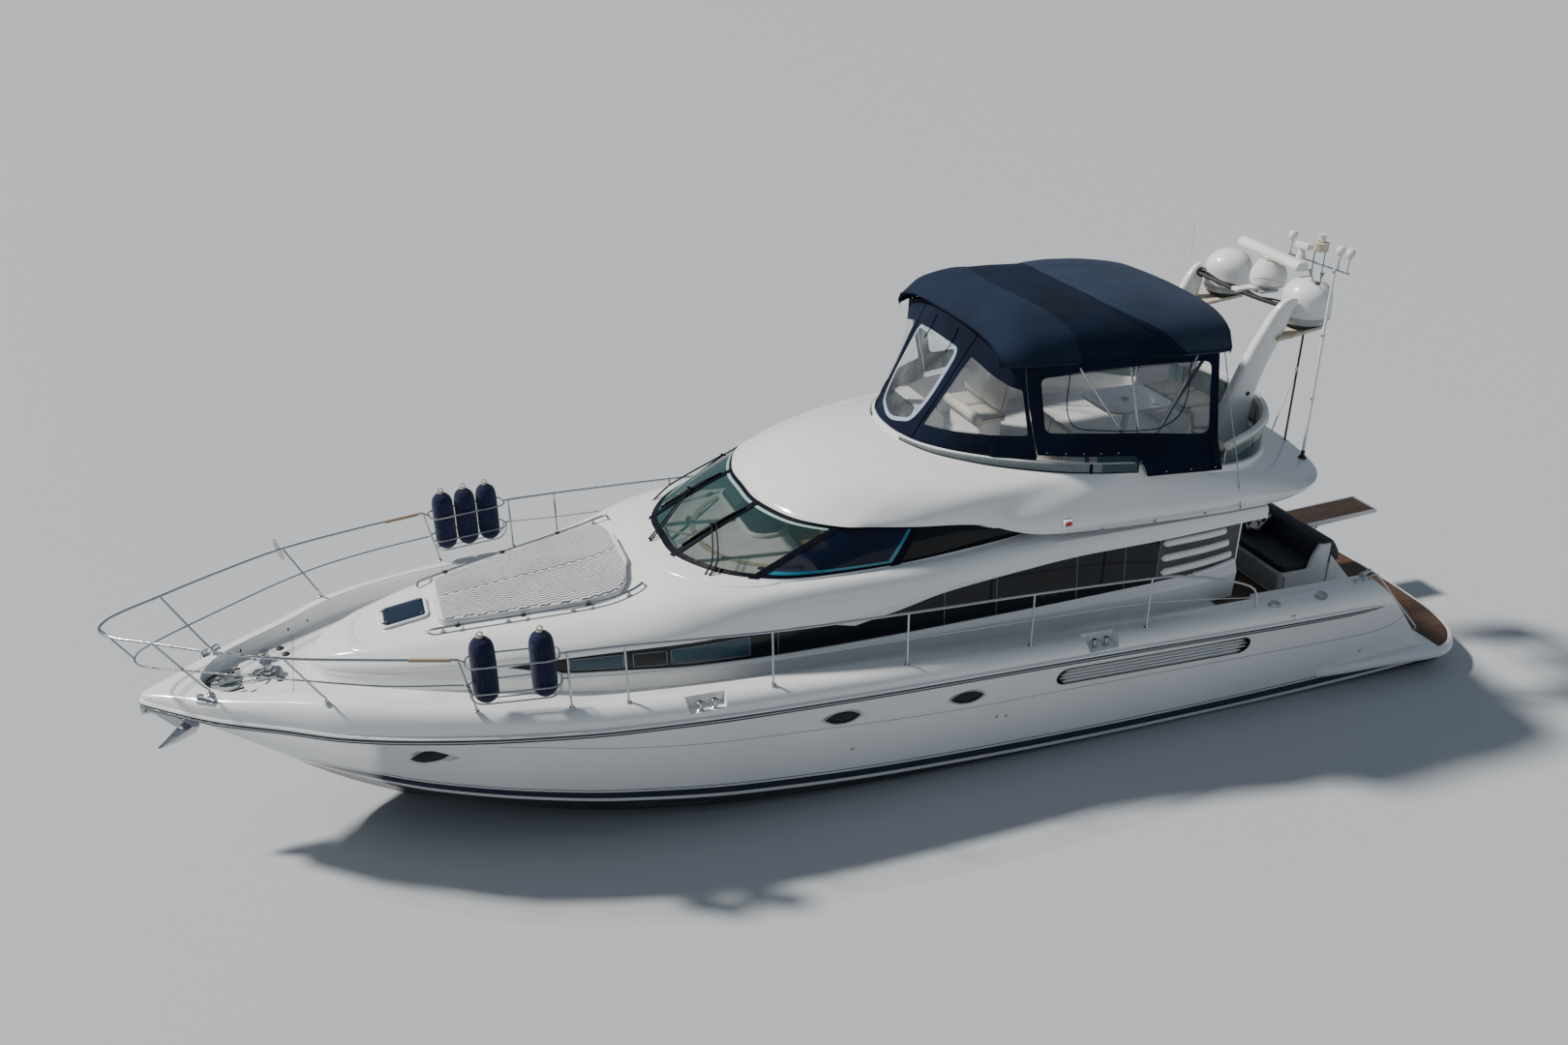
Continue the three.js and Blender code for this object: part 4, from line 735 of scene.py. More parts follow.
vent_path = np.array([VENT["fore"], VENT["aft"]])
vent_along = unit(vent_path[1] - vent_path[0])
vent_ribs = []
for k in (-1.5, -0.5, 0.5, 1.5):
    offset = k * 0.058
    short = VENT["tall"] / 2 - math.sqrt((VENT["tall"] / 2 - 0.004) ** 2 - (abs(offset) + 0.02) ** 2) + 0.03
    reach = np.linspace(short, np.linalg.norm(vent_path[1] - vent_path[0]) - short, 40)
    middle = vent_path[0] + reach[:, None] * vent_along + offset * np.array([vent_along[1], -vent_along[0]])
    out = hull_y(middle[:, 0], middle[:, 1])
    rib_path = np.column_stack([middle[:, 0], out, middle[:, 1]])
    bend = np.linspace(0, math.pi, 9)
    rib = [(-0.045 + 0.048 * math.sin(a) ** 0.6, -0.013 * math.cos(a)) for a in bend]
    out_ways = np.tile((0, 1.0, 0), (40, 1))
    end = np.minimum(1, np.sqrt(np.maximum(0.05, np.minimum(np.arange(40), np.arange(40)[::-1]) * 0.7)))
    vent_ribs += both(carried(rib_path, rib, out_ways, size=end))
piece("vent_ribs", dressed(vent_ribs, white))
# Painted shade: the hull's faces on the walls behind the vent ribs take the near-black finish in place of the
# recess's shadow.
face_x, beside, face_z = middles[:, 0], np.abs(middles[:, 1]), middles[:, 2]
behind = (beside > 2.255) & (beside < hull_y(face_x, face_z) - 0.02) & (face_z > 1.1) & (face_z < 1.49)
repaint(hull, behind & (face_x < VENT["fore"][0]) & (face_x > VENT["aft"][0]), shadow_gap)
rim_x, rim_z = stadium(VENT["fore"], VENT["aft"], VENT["tall"] + 0.012, 16).T
rim = np.column_stack([rim_x, hull_y(rim_x, rim_z) + 0.001, rim_z])
rim_line = tube(rim, 0.008, 6, looped=True)
piece("vent_rims", twice([rim_line], rubber))

DARKS = (0.003, 0.004, 0.006), (0.014, 0.018, 0.024)
DARK_CLOUD = (1.1, 3, (1, 1, 3))
dark_glass = wandering(
    "dark_glass", DARKS[0], 0.07, "Base Color", DARK_CLOUD, *DARKS, Specular_IOR_Level=0.22,
)
dark_glass.bump(dark_glass.noise(0.9, 2), 0.05, 0.02)

ports = []
for x, z in PORTHOLES:
    y = hull_point(x, z)
    steps = [
        (0.47, 0.17, -0.035), (0.47, 0.17, -0.022), (0.44, 0.155, -0.016), (0.22, 0.07, -0.010),
        (0.01, 0.004, -0.009),
    ]
    rings = [[(px, y + o, pz) for px, pz in lens_outline(x, z, a, b, 0.035)] for a, b, o in steps]
    edge = np.array([(px, y - 0.010, pz) for px, pz in lens_outline(x, z, 0.49, 0.182, 0.035)])
    ports += twice([skin(rings)], dark_glass)
    ports += twice([tube(edge, 0.006, 6, looped=True)], steel)
piece("portholes", ports)

drains = []
for x, z in [(0.75, 0.83), (-1.18, 0.89), (-1.32, 0.87), (-6.9, 0.62)]:
    y = hull_point(x, z)
    flange = [
        (0.0, -0.01), (0.026, -0.01), (0.026, 0.004), (0.018, 0.009), (0.013, 0.007), (0.012, -0.006),
        (0.0, -0.006),
    ]
    drains += both(turned(flange, (x, y, z), (0, 1, 0), 16))
piece("drain_fittings", dressed(drains, steel))

brass = wandering("brass", (0.42, 0.33, 0.18), 0.35, "Roughness", (60, 4), 0.28, 0.55, Metallic=0.8)
grilles = []
for x, z in [(-4.95, 1.56), (-5.43, 1.55)]:
    y = 2.36
    grilles += both(block((x - 0.05, y, z - 0.04), (x + 0.05, y + 0.042, z + 0.045)))
    for k in range(4):
        slat_z = z - 0.026 + k * 0.019
        grilles += both(tube([(x - 0.04, y + 0.042, slat_z), (x + 0.04, y + 0.042, slat_z)], 0.005, 6))
piece("vent_grilles", dressed(grilles, brass))

# Swim platform: a moulded plate across the stern whose round edge runs forward along both quarters as a
# rubbing moulding. Its top, the two transom steps and the side deck's after end are laid with teak planks
# in dark caulking.
PLATFORM_EDGE = [
    (-6.22, 2.05),
    (-6.29, 2.165),
    (-6.60, 2.215),
    (-7.40, 2.265),
    (-8.23, 2.335),
    (-8.42, 2.30),
    (-8.63, 2.18),
    (-8.86, 1.90),
    (-9.02, 1.40),
    (-9.09, 0.70),
    (-9.105, 0.0),
]


def inset(outline, amount):
    """A closed plan or side outline drawn in by an amount, each point square to its neighbours' chord."""
    outline = np.asarray(outline, float)
    step = unit(np.roll(outline, -1, 0) - np.roll(outline, 1, 0))
    area = (outline[:, 0] * np.roll(outline[:, 1], -1) - outline[:, 1] * np.roll(outline[:, 0], -1)).sum()
    side = np.sign(area)
    return outline + amount * side * np.column_stack([-step[:, 1], step[:, 0]])


def slab(outline, z0, z1, edge, foot=None):
    """A plate with its upper edge rounded by a quarter circle, and its lower edge by foot, if given."""
    foot = edge if foot is None else foot
    bend = np.linspace(0, math.pi / 2, 5)
    rings = [(foot * (1 - math.sin(a)), z0 + foot * (1 - math.cos(a))) for a in bend] if foot else [(0, z0)]
    rings += [(edge * (1 - math.cos(a)), z1 - edge * (1 - math.sin(a))) for a in bend]
    return skin([at_height(inset(outline, d), z) for d, z in rings])


edge_port = through(PLATFORM_EDGE, 70)
edge_loop = np.vstack([edge_port, edge_port[-2::-1] * (1, -1)])
inner_run = [(-6.22, -1.9), (-8.20, -1.9), (-8.20, 1.9), (-6.22, 1.9)]
platform_outline = np.vstack([edge_loop, inner_run])
piece(
    "platform_moulding", [(slab(platform_outline, 0.28, PLATFORM_Z, 0.07, 0.055), white)],
    replaces=["swim_platform"],
)


def teak_deck(name, along="x", tone=0.4):
    """Teak planks 52 mm wide: caulked seams from the fraction of the cross coordinate, each plank its own
    shade from a coarse noise, and grain from a noise stretched along the plank. Every wood colour is scaled
    by tone, a darkening that is painted shade."""
    made = Finish(name, tinted((0.17, 0.085, 0.042), tone), 0.62)
    x, y, z = made.axes()
    across_plank = y if along == "x" else x
    part = made.reckon("FRACT", across_plank * 19.2 + 0.5)
    seam = part < 0.11
    stretch = (0.9, 19.2, 1) if along == "x" else (19.2, 0.9, 1)
    shade = made.noise(1.0, 1, stretch)
    grain = made.noise(9, 7, (0.35, 6, 2) if along == "x" else (6, 0.35, 2), 0.65)
    woods = [tinted(c, tone) for c in ((0.115, 0.055, 0.028), (0.22, 0.115, 0.058), (0.30, 0.17, 0.09))]
    wood = made.mix(made.ramp(shade, 0.3, 0.7), woods[0], woods[1])
    wood = made.mix(made.ramp(grain, 0.35, 0.7, 0, 0.7), wood, woods[2])
    made.set(Base_Color=made.mix(seam, wood, (0.012, 0.012, 0.013)))
    made.set(Roughness=made.ramp(grain, 0.2, 0.8, 0.5, 0.8))
    made.bump(grain * 0.4 - seam * 1.0, 0.5, 0.0015)
    return made


# The decks' teak at the default tone of 0.4, darkened as painted shade.
teak = teak_deck("teak_deck")
MARGIN_WOODS = (0.046, 0.022, 0.012), (0.100, 0.054, 0.028)
MARGIN_GRAIN = (6, 7, (1.5, 1.5, 3), 0.65)
margin_wood = wandering("teak_margin", (0.10, 0.05, 0.025), 0.6, "Base Color", MARGIN_GRAIN, *MARGIN_WOODS)
margin_wood.bump(margin_wood.cloud, 0.3, 0.001)

after = edge_loop[edge_loop[:, 0] < -8.27]
stern_side = plan_normals(np.column_stack([after, after[:, 0] * 0]))[:, :2]
stern_side *= np.sign((stern_side * ((-8.5, 0) - after)).sum(1))[:, None]
plank_edge = after + 0.085 * stern_side
plank_edge[:, 0] = np.minimum(plank_edge[:, 0], -8.29)
plank_field = after + 0.135 * stern_side
plank_field[:, 0] = np.minimum(plank_field[:, 0], -8.33)
platform_teak = [
    (slab(plank_edge, 0.42, 0.4345, 0.003, 0), margin_wood),
    (slab(plank_field, 0.42, 0.4365, 0.002, 0), teak),
]
for x0, x1, z in [(-7.38, -6.99, COCKPIT_Z), (-7.78, -7.42, STEP_Z)]:
    tread = rounded(x0 + 0.03, x1 - 0.02, STEPS_Y[0] + 0.05, STEPS_Y[1] - 0.05, 0.05)
    platform_teak.append((slab(tread, z - 0.005, z + 0.008, 0.003, 0), teak))
for side in (-1, 1):
    low, high = sorted((side * 1.62, side * 1.97))
    platform_teak.append((slab(rounded(-4.985, -4.62, low, high, 0.05), 1.56, 1.617, 0.003, 0), teak))
piece("teak_laying", platform_teak)

# Quarters: a polished handrail down the edge of the transom on each side, a horn cleat and a fairlead by
# the corner of the deck, and oval fairleads let into the cap.
def spun(points, turn):
    """Points, in plan or in space, turned about the vertical through the origin."""
    points = np.asarray(points, float)
    c, s = math.cos(turn), math.sin(turn)
    return np.column_stack([points[:, :2] @ np.array([(c, s), (-s, c)]), points[:, 2:]])


def horn_cleat(x, y, z, long=0.26, turn=0.0):
    """A cleat: two feet on the deck and a bar over them whose ends taper upwards."""
    t = np.linspace(-1, 1, 15)
    bar = np.column_stack([t * long / 2, t * 0, 0.052 + 0.014 * t**2])
    size = 0.012 * (1 - 0.45 * np.abs(t) ** 3)
    parts = [tube(bar, size, 10)]
    for k in (-1, 1):
        foot = [(0.020, 0.0), (0.020, 0.006), (0.011, 0.016), (0.010, 0.05), (0.0, 0.052)]
        parts.append(turned(foot, (k * long * 0.22, 0, 0), steps=12))
    return [(spun(points, turn) + (x, y, z), faces) for points, faces in parts]


quarter = [*horn_cleat(-6.72, 2.12, 1.705, 0.3)]
for x, z in CLEAT_POCKETS:
    for dx in (-0.085, 0.085):
        post = [
            (0.040, 0), (0.040, 0.008), (0.022, 0.02), (0.019, 0.085), (0.034, 0.095), (0.036, 0.11),
            (0.026, 0.118), (0, 0.12),
        ]
        quarter.append(turned(post, (x + dx, 2.33, z - 0.006), steps=16))
        cross = [(x + dx - 0.055, 2.33, z + 0.092), (x + dx + 0.055, 2.33, z + 0.092)]
        quarter.append(tube(cross, 0.013, 8))
for x, z in [(-5.19, 1.735), (-5.95, 1.73)]:
    turns = full_turn(24)
    for lift, size in ((0.004, 1.0), (0.004, 0.62)):
        loop = np.column_stack(
            [x + 0.085 * size * np.cos(turns), 2.29 + 0.045 * size * np.sin(turns), turns * 0 + z + lift]
        )
        loop[:, 2] -= (loop[:, 1] - 2.29) * 0.9
        quarter.append(tube(loop, 0.011, 8, looped=True))
grab = through(
    [
        (-6.90, 2.10, 1.70), (-6.93, 2.11, 1.77), (-7.02, 2.12, 1.75), (-7.40, 2.15, 1.31),
        (-7.80, 2.16, 0.865), (-7.87, 2.16, 0.77), (-7.84, 2.14, 0.70),
    ],
    40,
)
quarter.append(tube(grab, 0.014, 12))
for x, z in [(-7.2, 1.53), (-7.5, 1.19)]:
    quarter.append(tube([(x + 0.02, 2.14, z), (x + 0.075, 2.13, z - 0.075)], 0.010, 8))
for x in (-7.30, -7.52, -7.66):
    z = 1.70 - (-6.95 - x) * 1.11
    pin = [(0.022, 0), (0.022, 0.006), (0.011, 0.014), (0.011, 0.075), (0.018, 0.09), (0, 0.10)]
    quarter.append(turned(pin, (x, 2.02, z), (-0.74, 0, 0.67), 12))
roller = [
    (0.0, -0.11), (0.030, -0.11), (0.034, -0.10), (0.034, -0.085), (0.024, -0.075), (0.024, 0.075),
    (0.034, 0.085), (0.034, 0.10), (0.03, 0.11), (0, 0.11),
]
quarter.append(turned(roller, (-6.94, 1.98, 1.742), (0.95, 0.30, 0), 16))
piece("quarter_fittings", twice(quarter, steel))

# Deckhouse: the foredeck trunk and the cabin sides in one hollow moulding. The shoulder runs aft as a wing
# that overhangs the side windows and dips to a point; a sloping ledge carries the dark window band, and the
# after end is panelled with curved white louvres. Columns: x, half width at foot, ledge, wing and shoulder,
# z of ledge, wing, shoulder and crown.
HOUSE = [
    (6.82, 0.12, 0.11, 0.105, 0.08, 2.12, 2.15, 2.19, 2.215),
    (6.65, 0.40, 0.38, 0.37, 0.32, 2.15, 2.20, 2.28, 2.34),
    (6.30, 0.66, 0.64, 0.62, 0.54, 2.18, 2.24, 2.35, 2.44),
    (5.80, 0.90, 0.88, 0.86, 0.77, 2.20, 2.27, 2.40, 2.53),
    (5.20, 1.12, 1.10, 1.08, 0.98, 2.20, 2.31, 2.45, 2.61),
    (4.40, 1.36, 1.34, 1.32, 1.21, 2.19, 2.37, 2.54, 2.69),
    (3.40, 1.58, 1.58, 1.58, 1.45, 2.17, 2.45, 2.66, 2.80),
    (2.50, 1.69, 1.74, 1.77, 1.68, 2.14, 2.49, 2.80, 3.02),
    (1.50, 1.73, 1.80, 1.88, 1.84, 2.11, 2.50, 2.93, 3.05),
    (0.50, 1.74, 1.81, 1.95, 1.90, 2.09, 2.56, 2.99, 3.055),
    (-0.50, 1.74, 1.81, 2.01, 1.95, 2.08, 2.74, 3.04, 3.08),
    (-1.85, 1.74, 1.81, 2.08, 2.06, 2.08, 2.85, 3.12, 3.19),
    (-3.40, 1.74, 1.81, 2.13, 2.14, 2.10, 2.93, 3.15, 3.19),
    (-4.30, 1.735, 1.795, 2.145, 2.155, 2.12, 2.96, 3.155, 3.19),
    (-4.96, 1.70, 1.735, 2.16, 2.17, 2.14, 2.99, 3.16, 3.19),
]
# Lower edge of the wing over the windows, before and behind its point
LIP_FORE = [
    (4.66, 2.30), (4.30, 2.355), (3.41, 2.435), (2.86, 2.47), (1.91, 2.52), (1.30, 2.52), (0.96, 2.475),
    (0.62, 2.385),
]
LIP_AFT = [
    (0.62, 2.385), (0.40, 2.44), (0.08, 2.51), (-0.50, 2.67), (-1.20, 2.78), (-1.90, 2.87), (-2.40, 2.905),
    (-3.40, 2.93), (-4.96, 3.00),
]
# The windscreen's foot and head, from the centreline aft along the port side
SCREEN = [
    (2.47, 0.0, 3.050, 1.38, 0.0, 3.560),
    (2.43, 0.56, 3.050, 1.35, 0.53, 3.555),
    (2.12, 1.13, 3.050, 1.11, 1.13, 3.545),
    (1.69, 1.48, 3.052, 0.68, 1.50, 3.530),
    (1.15, 1.68, 3.055, 0.30, 1.60, 3.505),
    (0.05, 1.76, 3.065, -0.22, 1.69, 3.465),
    (-0.94, 1.79, 3.130, -1.00, 1.765, 3.400),
    (-1.79, 1.80, 3.205, -1.79, 1.795, 3.235),
]


def even_rows(controls, count):
    """Smooth curves through control points, row by row at once: a free cubic by their mean spacing."""
    controls = np.asarray(controls, float)
    gaps = np.linalg.norm(np.diff(controls, axis=0), axis=-1).mean(1)
    run = np.concatenate([[0], np.cumsum(gaps)])
    flat = between(
        np.column_stack([run, controls.reshape(len(run), -1)]), np.linspace(0, run[-2], count), True,
    )
    return flat.reshape(count, *controls.shape[1:])


def house_rings(x):
    """Port halves at each x: foot, swell under the ledge, ledge sloping in, straight to the wing, then a
    free cubic over wing, shoulder and crown, carried past the centreline so that it arrives level."""
    foot, ledge, wing, shoulder, ledge_z, wing_z, shoulder_z, crown = between(HOUSE, x).T
    deck = between(DECK, x)[:, 0]
    tall = np.clip((ledge_z - deck - 0.1) / 0.35, 0, 1)
    side = [
        (foot * 0, deck - 0.04),
        (foot, deck - 0.04),
        (foot + 0.012 * tall, deck + 0.05 * tall),
        (ledge - 0.012 + 0.012 * tall, ledge_z - 0.17 * tall),
        (ledge + 0.008 * tall, ledge_z - 0.13 * tall),
        (ledge - 0.006 * tall, ledge_z - 0.10 * tall),
        (ledge - 0.045 * tall, ledge_z),
        (ledge - 0.02 * tall, ledge_z + (wing_z - ledge_z) * 0.06),
        (wing - 0.006, wing_z - 0.004),
        (wing, wing_z),
    ]
    controls = [
        (wing, wing_z),
        (wing * 0.998, wing_z * 0.62 + shoulder_z * 0.38),
        (shoulder * 0.45 + wing * 0.545, wing_z * 0.22 + shoulder_z * 0.78),
        (shoulder * 0.975, shoulder_z + (crown - shoulder_z) * 0.22),
        (shoulder * 0.85, shoulder_z * 0.28 + crown * 0.72),
        (shoulder * 0.6, crown - 0.012),
        (shoulder * 0.3, crown - 0.003),
        (shoulder * 0, crown),
        (shoulder * -0.3, crown - 0.003),
    ]
    upper = even_rows(np.array([np.stack(pair, -1) for pair in controls]), 30)[1:]
    half = [np.stack([x, y, z], -1) for y, z in side]
    half += [np.column_stack([x, pair]) for pair in upper]
    half[-1][:, 1] = 0
    return across(np.stack(half, 1))


def wall(x, z):
    """The face behind the window band: from the ledge's inner edge to just inside the wing, straight in z."""
    foot, ledge, wing, shoulder, ledge_z, wing_z, shoulder_z, crown = between(HOUSE, x).T
    inner = ledge - 0.045
    outer = np.minimum(wing, ledge + 0.01) - 0.03
    return inner + (outer - inner) * np.clip((z - ledge_z) / (wing_z - ledge_z), 0, 1)


def on_wall(x, z, out=0.0):
    """Points of the wall at x and z, moved outwards."""
    return np.column_stack([x, wall(x, z) + out, z])


def lip_z(x):
    return np.where(x > 0.62, between(LIP_FORE, x)[:, 0], between(LIP_AFT, x)[:, 0])


def band_foot(x):
    """The window band's lower edge: the ledge, lifted to the lip as the band runs out forward."""
    ledge_z = between(HOUSE, x)[:, 4]
    rise = np.clip((x - 3.9) / 0.76, 0, 1) ** 2.2
    return ledge_z + (lip_z(x) - 0.004 - ledge_z) * rise


def band_strip(x, inner, outer, low=0.0, high=0.0):
    """A strip along the wall from the band's foot plus low to the lip plus high, between two offsets."""
    z0, z1 = band_foot(x) + low, lip_z(x) + high
    return np.stack(
        [on_wall(x, z, out) for z, out in ((z0, outer), (z1, outer), (z1, inner), (z0, inner))], 1,
    )


house_x = np.concatenate(
    [6.82 - 0.52 * (1 - np.sin(np.linspace(math.pi / 2, 0.05, 14))), np.linspace(6.25, -4.96, 118)]
)
screen_plan = through([row[:2] for row in SCREEN], 60)
screen_plan = np.vstack([screen_plan, [(-4.83, 1.70)]])
hollow_plan = inset(np.vstack([screen_plan, screen_plan[:0:-1] * (1, -1)]), 0.075)
cut_x = np.concatenate([np.linspace(4.655, 0.62, 60), np.linspace(0.60, -5.0, 60)])
house = piece("deckhouse_moulding", [(skin(house_rings(house_x)), white)], replaces=["deckhouse"])
SALOON = (-4.83, -1.68, 1.2), (1.0, 1.68, 2.9)
SALOON_MOUTH = (-5.1, -1.69, 1.2), (-4.82, 1.69, 3.4)
hollow = skin([at_height(hollow_plan, z) for z in (2.76, 3.40)])
window_cuts = both(skin(band_strip(cut_x, 0.0, 0.9)))
carve(house, [*window_cuts, hollow, block(*SALOON), block(*SALOON_MOUTH)], sharp=38)
riser_walls = both(block((-4.95, 1.705, 3.10), (-1.79, 1.785, 3.38)))
piece("riser_walls", dressed(riser_walls, white))

# Window band: dark toughened glass bonded along the wall from a point forward to the louvres, with two
# sky-blue panes and an opening port let in, fine mullions, and a sealing bead below.
band_x = np.concatenate([np.linspace(4.645, 0.62, 60), np.linspace(0.60, -3.66, 44)])
louvre_x = np.linspace(-3.66, -4.93, 30)
# A dark navy sheet for behind the louvres: painted shade for the gaps between the slats.
louvre_shade = wandering(
    "louvre_painted_shade", (0.010, 0.014, 0.026), 0.35, "Roughness", (3, 4), 0.28, 0.45, Coat_Weight=0.3,
)
BLUES = (0.004, 0.020, 0.036), (0.018, 0.080, 0.125)
BLUE_CLOUD = (1.3, 3, (1, 1, 4))
blue_glass = wandering(
    "blue_glass", (0.010, 0.045, 0.075), 0.07, "Base Color", BLUE_CLOUD, *BLUES, Specular_IOR_Level=0.35,
)
frame_grey = wandering(
    "pane_frame", (0.20, 0.215, 0.24), 0.35, "Roughness", (20, 3), 0.25, 0.45, Metallic=0.6,
)


def wall_line(points, out, count):
    """Points along straight runs between corners given by x and z, laid on the wall at an offset."""
    points = np.asarray(points, float)
    t = np.linspace(0, len(points) - 1, count)
    x, z = between(np.column_stack([np.arange(len(points)), points]), t).T
    return on_wall(x, z, out)


def wall_pane(x0, x1, low, high):
    """A pane on the wall and its edge bead: low and high are heights over the ledge at its two ends."""
    t = np.linspace(0, 1, 20)
    x = x0 + (x1 - x0) * t
    base = between(HOUSE, x)[:, 4]
    z0, z1 = base + low[0] + (low[1] - low[0]) * t, base + high[0] + (high[1] - high[0]) * t
    glass = [on_wall(x, z, out) for z, out in ((z0, 0.009), (z1, 0.009), (z1, 0.0), (z0, 0.0))]
    edge = np.vstack([on_wall(x, z0, 0.010), on_wall(x, z1, 0.010)[::-1]])
    return skin(np.stack(glass, 1)), tube(edge, 0.0055, 6, looped=True)


band = [
    (skin(band_strip(band_x, -0.002, 0.005, 0.004, 0.03)), dark_glass),
    # Behind the louvres the strip is dark navy, the painted shade of the gaps between the slats.
    (skin(band_strip(louvre_x, -0.002, 0.007, 0.004, 0.03)), louvre_shade),
]
for ends, low, high, finish in [
    ((3.97, 3.37), (0.035, 0.035), (0.17, 0.215), blue_glass),
    ((3.26, 2.88), (0.035, 0.05), (0.215, 0.24), dark_glass),
    ((2.83, 1.90), (0.05, 0.05), (0.25, 0.315), blue_glass),
]:
    glass, edge = wall_pane(*ends, low, high)
    band += [(glass, finish), (edge, frame_grey)]
for x, lean in [(1.55, 0.0), (-0.60, -0.02), (-1.30, -0.04), (-2.42, -0.06), (-3.12, -0.06), (-3.66, 0.0)]:
    z0, z1 = (float(f(np.array([x]))[0]) for f in (band_foot, lip_z))
    band.append((tube(wall_line([(x + lean, z0 + 0.01), (x, z1)], 0.006, 8), 0.006, 6), frame_grey))
low_edge = np.column_stack([band_x, wall(band_x, band_foot(band_x)) + 0.004, band_foot(band_x) + 0.004])
band.append((tube(low_edge, 0.006, 6), rubber))
piece("window_band", [(part, finish) for shape, finish in band for part in both(shape)])

slats = []
for x0, x1, z0, z1, tall in [
    (-3.70, -4.70, 2.67, 2.675, 0.050),
    (-3.70, -4.78, 2.455, 2.485, 0.052),
    (-3.72, -4.86, 2.245, 2.295, 0.052),
    (-4.22, -4.93, 2.10, 2.175, 0.044),
]:
    x = np.linspace(x0, x1, 34)
    z = z0 + (z1 - z0) * ((x - x0) / (x1 - x0)) ** 1.6
    near = np.minimum(np.abs(x - x0), np.abs(x - x1)) / tall
    size = np.sqrt(np.maximum(0.03, 1 - np.clip(1 - near, 0, 1) ** 2))
    a = np.linspace(0, math.pi, 11)
    section = np.column_stack([0.052 * np.sin(a) ** 0.55 - 0.004, -tall * np.cos(a)])
    slats.append(carried(on_wall(x, z), section, np.tile((0, 1.0, 0), (34, 1)), size=size))
piece("louvres", twice(slats, white))

# Windscreen: panes of toughened glass bent round the front of the saloon between black rubber-faced posts,
# with a rubber seal along foot and head and a moulded apron before it. In screen, u counts the rows of
# SCREEN from the centreline, negative to starboard, and v runs from foot to head.
def both_ways(table):
    """Rows of foot and head points numbered from the centreline, continued to starboard by mirror images."""
    table = np.array(table)
    whole = np.vstack([table[:0:-1] * (1, -1, 1, 1, -1, 1), table])
    return np.column_stack([np.arange(len(whole)) - (len(table) - 1), whole])


def screen(u, v, out=0.0):
    """A point of the screen: foot and head read at u by a free cubic, joined straight, plus a slight
    outward crown sin(pi v), and moved along the surface normal by out."""
    u, v, out = np.broadcast_arrays(*(np.asarray(value, float) for value in (u, v, out)))
    key = both_ways(SCREEN)
    rows, ahead = between(key, u.ravel(), True), between(key, u.ravel() + 0.01, True)
    s = v.ravel()[:, None]
    foot, head = rows[:, :3], rows[:, 3:]
    point = foot + (head - foot) * s
    normal = unit(np.cross(ahead[:, :3] + (ahead[:, 3:] - ahead[:, :3]) * s - point, head - foot))
    crown = 0.018 * np.sin(math.pi * np.clip(s, 0, 1))
    return (point + normal * (out.ravel()[:, None] + crown)).reshape(*u.shape, 3)


def screen_panel(u0, u1, v0, v1, inner, outer, count=24, rows=7):
    """A closed panel of the screen between two offsets, its ring running up outside and down inside."""
    u = np.linspace(u0, u1, count)[:, None]
    v = np.linspace(v0, v1, rows)
    v = np.concatenate([v, v[::-1]])
    out = np.concatenate([np.full(rows, outer), np.full(rows, inner)])
    return skin(screen(u, v[None], out[None]))


seal = wandering(
    "screen_seal", (0.003, 0.004, 0.010), 0.5, "Roughness", (16, 4), 0.4, 0.6, Specular_IOR_Level=0.08,
)
seal.bump(seal.cloud, 0.15, 0.001)
clear_glass = Finish("clear_glass", (0.035, 0.082, 0.085), 0.03, IOR=1.5)
grazing = clear_glass.node("LayerWeight", None, {"Blend": 0.35}, out=1)
clear_glass.set(Alpha=clear_glass.ramp(grazing, 0.1, 0.95, 0.24, 0.92))
clear_glass.set(Roughness=clear_glass.ramp(clear_glass.noise(0.9, 4), 0.3, 0.7, 0.015, 0.06))
clear_glass.material.surface_render_method = "BLENDED"
navy_glass = wandering(
    "navy_glass", (0.003, 0.009, 0.034), 0.04, "Alpha", (0.8, 2), 0.74, 0.84, Specular_IOR_Level=0.3,
)
smoke_glass = wandering(
    "smoke_glass", (0.004, 0.006, 0.009), 0.05, "Alpha", (0.8, 2), 0.90, 0.96, Specular_IOR_Level=0.25,
)
teal_trim = wandering(
    "pane_trim", (0.012, 0.20, 0.28), 0.22, "Base Color", (3, 3), (0.010, 0.16, 0.24), (0.018, 0.28, 0.38),
    Coat_Weight=0.5,
)
pale_edge = wandering(
    "pane_edge", (0.30, 0.46, 0.45), 0.25, "Base Color", (4, 3), (0.24, 0.38, 0.38), (0.38, 0.56, 0.54),
    Coat_Weight=0.5,
)
POSTS = [(1.0, 0.080), (3.0, 0.115), (5.0, 0.060)]
trims = []
seals = [
    (screen_panel(-6.97, 6.97, -0.035, 0.035, -0.006, 0.014, 150, 5), seal),
    (screen_panel(-6.97, 6.97, -0.12, -0.030, -0.010, 0.010, 150, 5), white),
    (screen_panel(-6.97, 6.97, 0.955, 1.05, -0.006, 0.014, 150, 5), seal),
]
for u, half in POSTS:
    for side in (-1, 1):
        seals.append((screen_panel(side * u - half, side * u + half, -0.06, 1.02, -0.008, 0.015, 5), seal))
for side in (-1, 1):
    ends = sorted((side * 6.80, side * 6.97))
    seals.append((screen_panel(*ends, -0.06, 1.02, -0.008, 0.015, 5), seal))
piece("windscreen_seals", seals, replaces=["windscreen_frame"])
front = screen_panel(-0.965, 0.965, 0.03, 0.965, -0.006, 0.004, 28)
piece("windscreen_front_pane", [(front, clear_glass)], replaces=["windscreen_centre"])
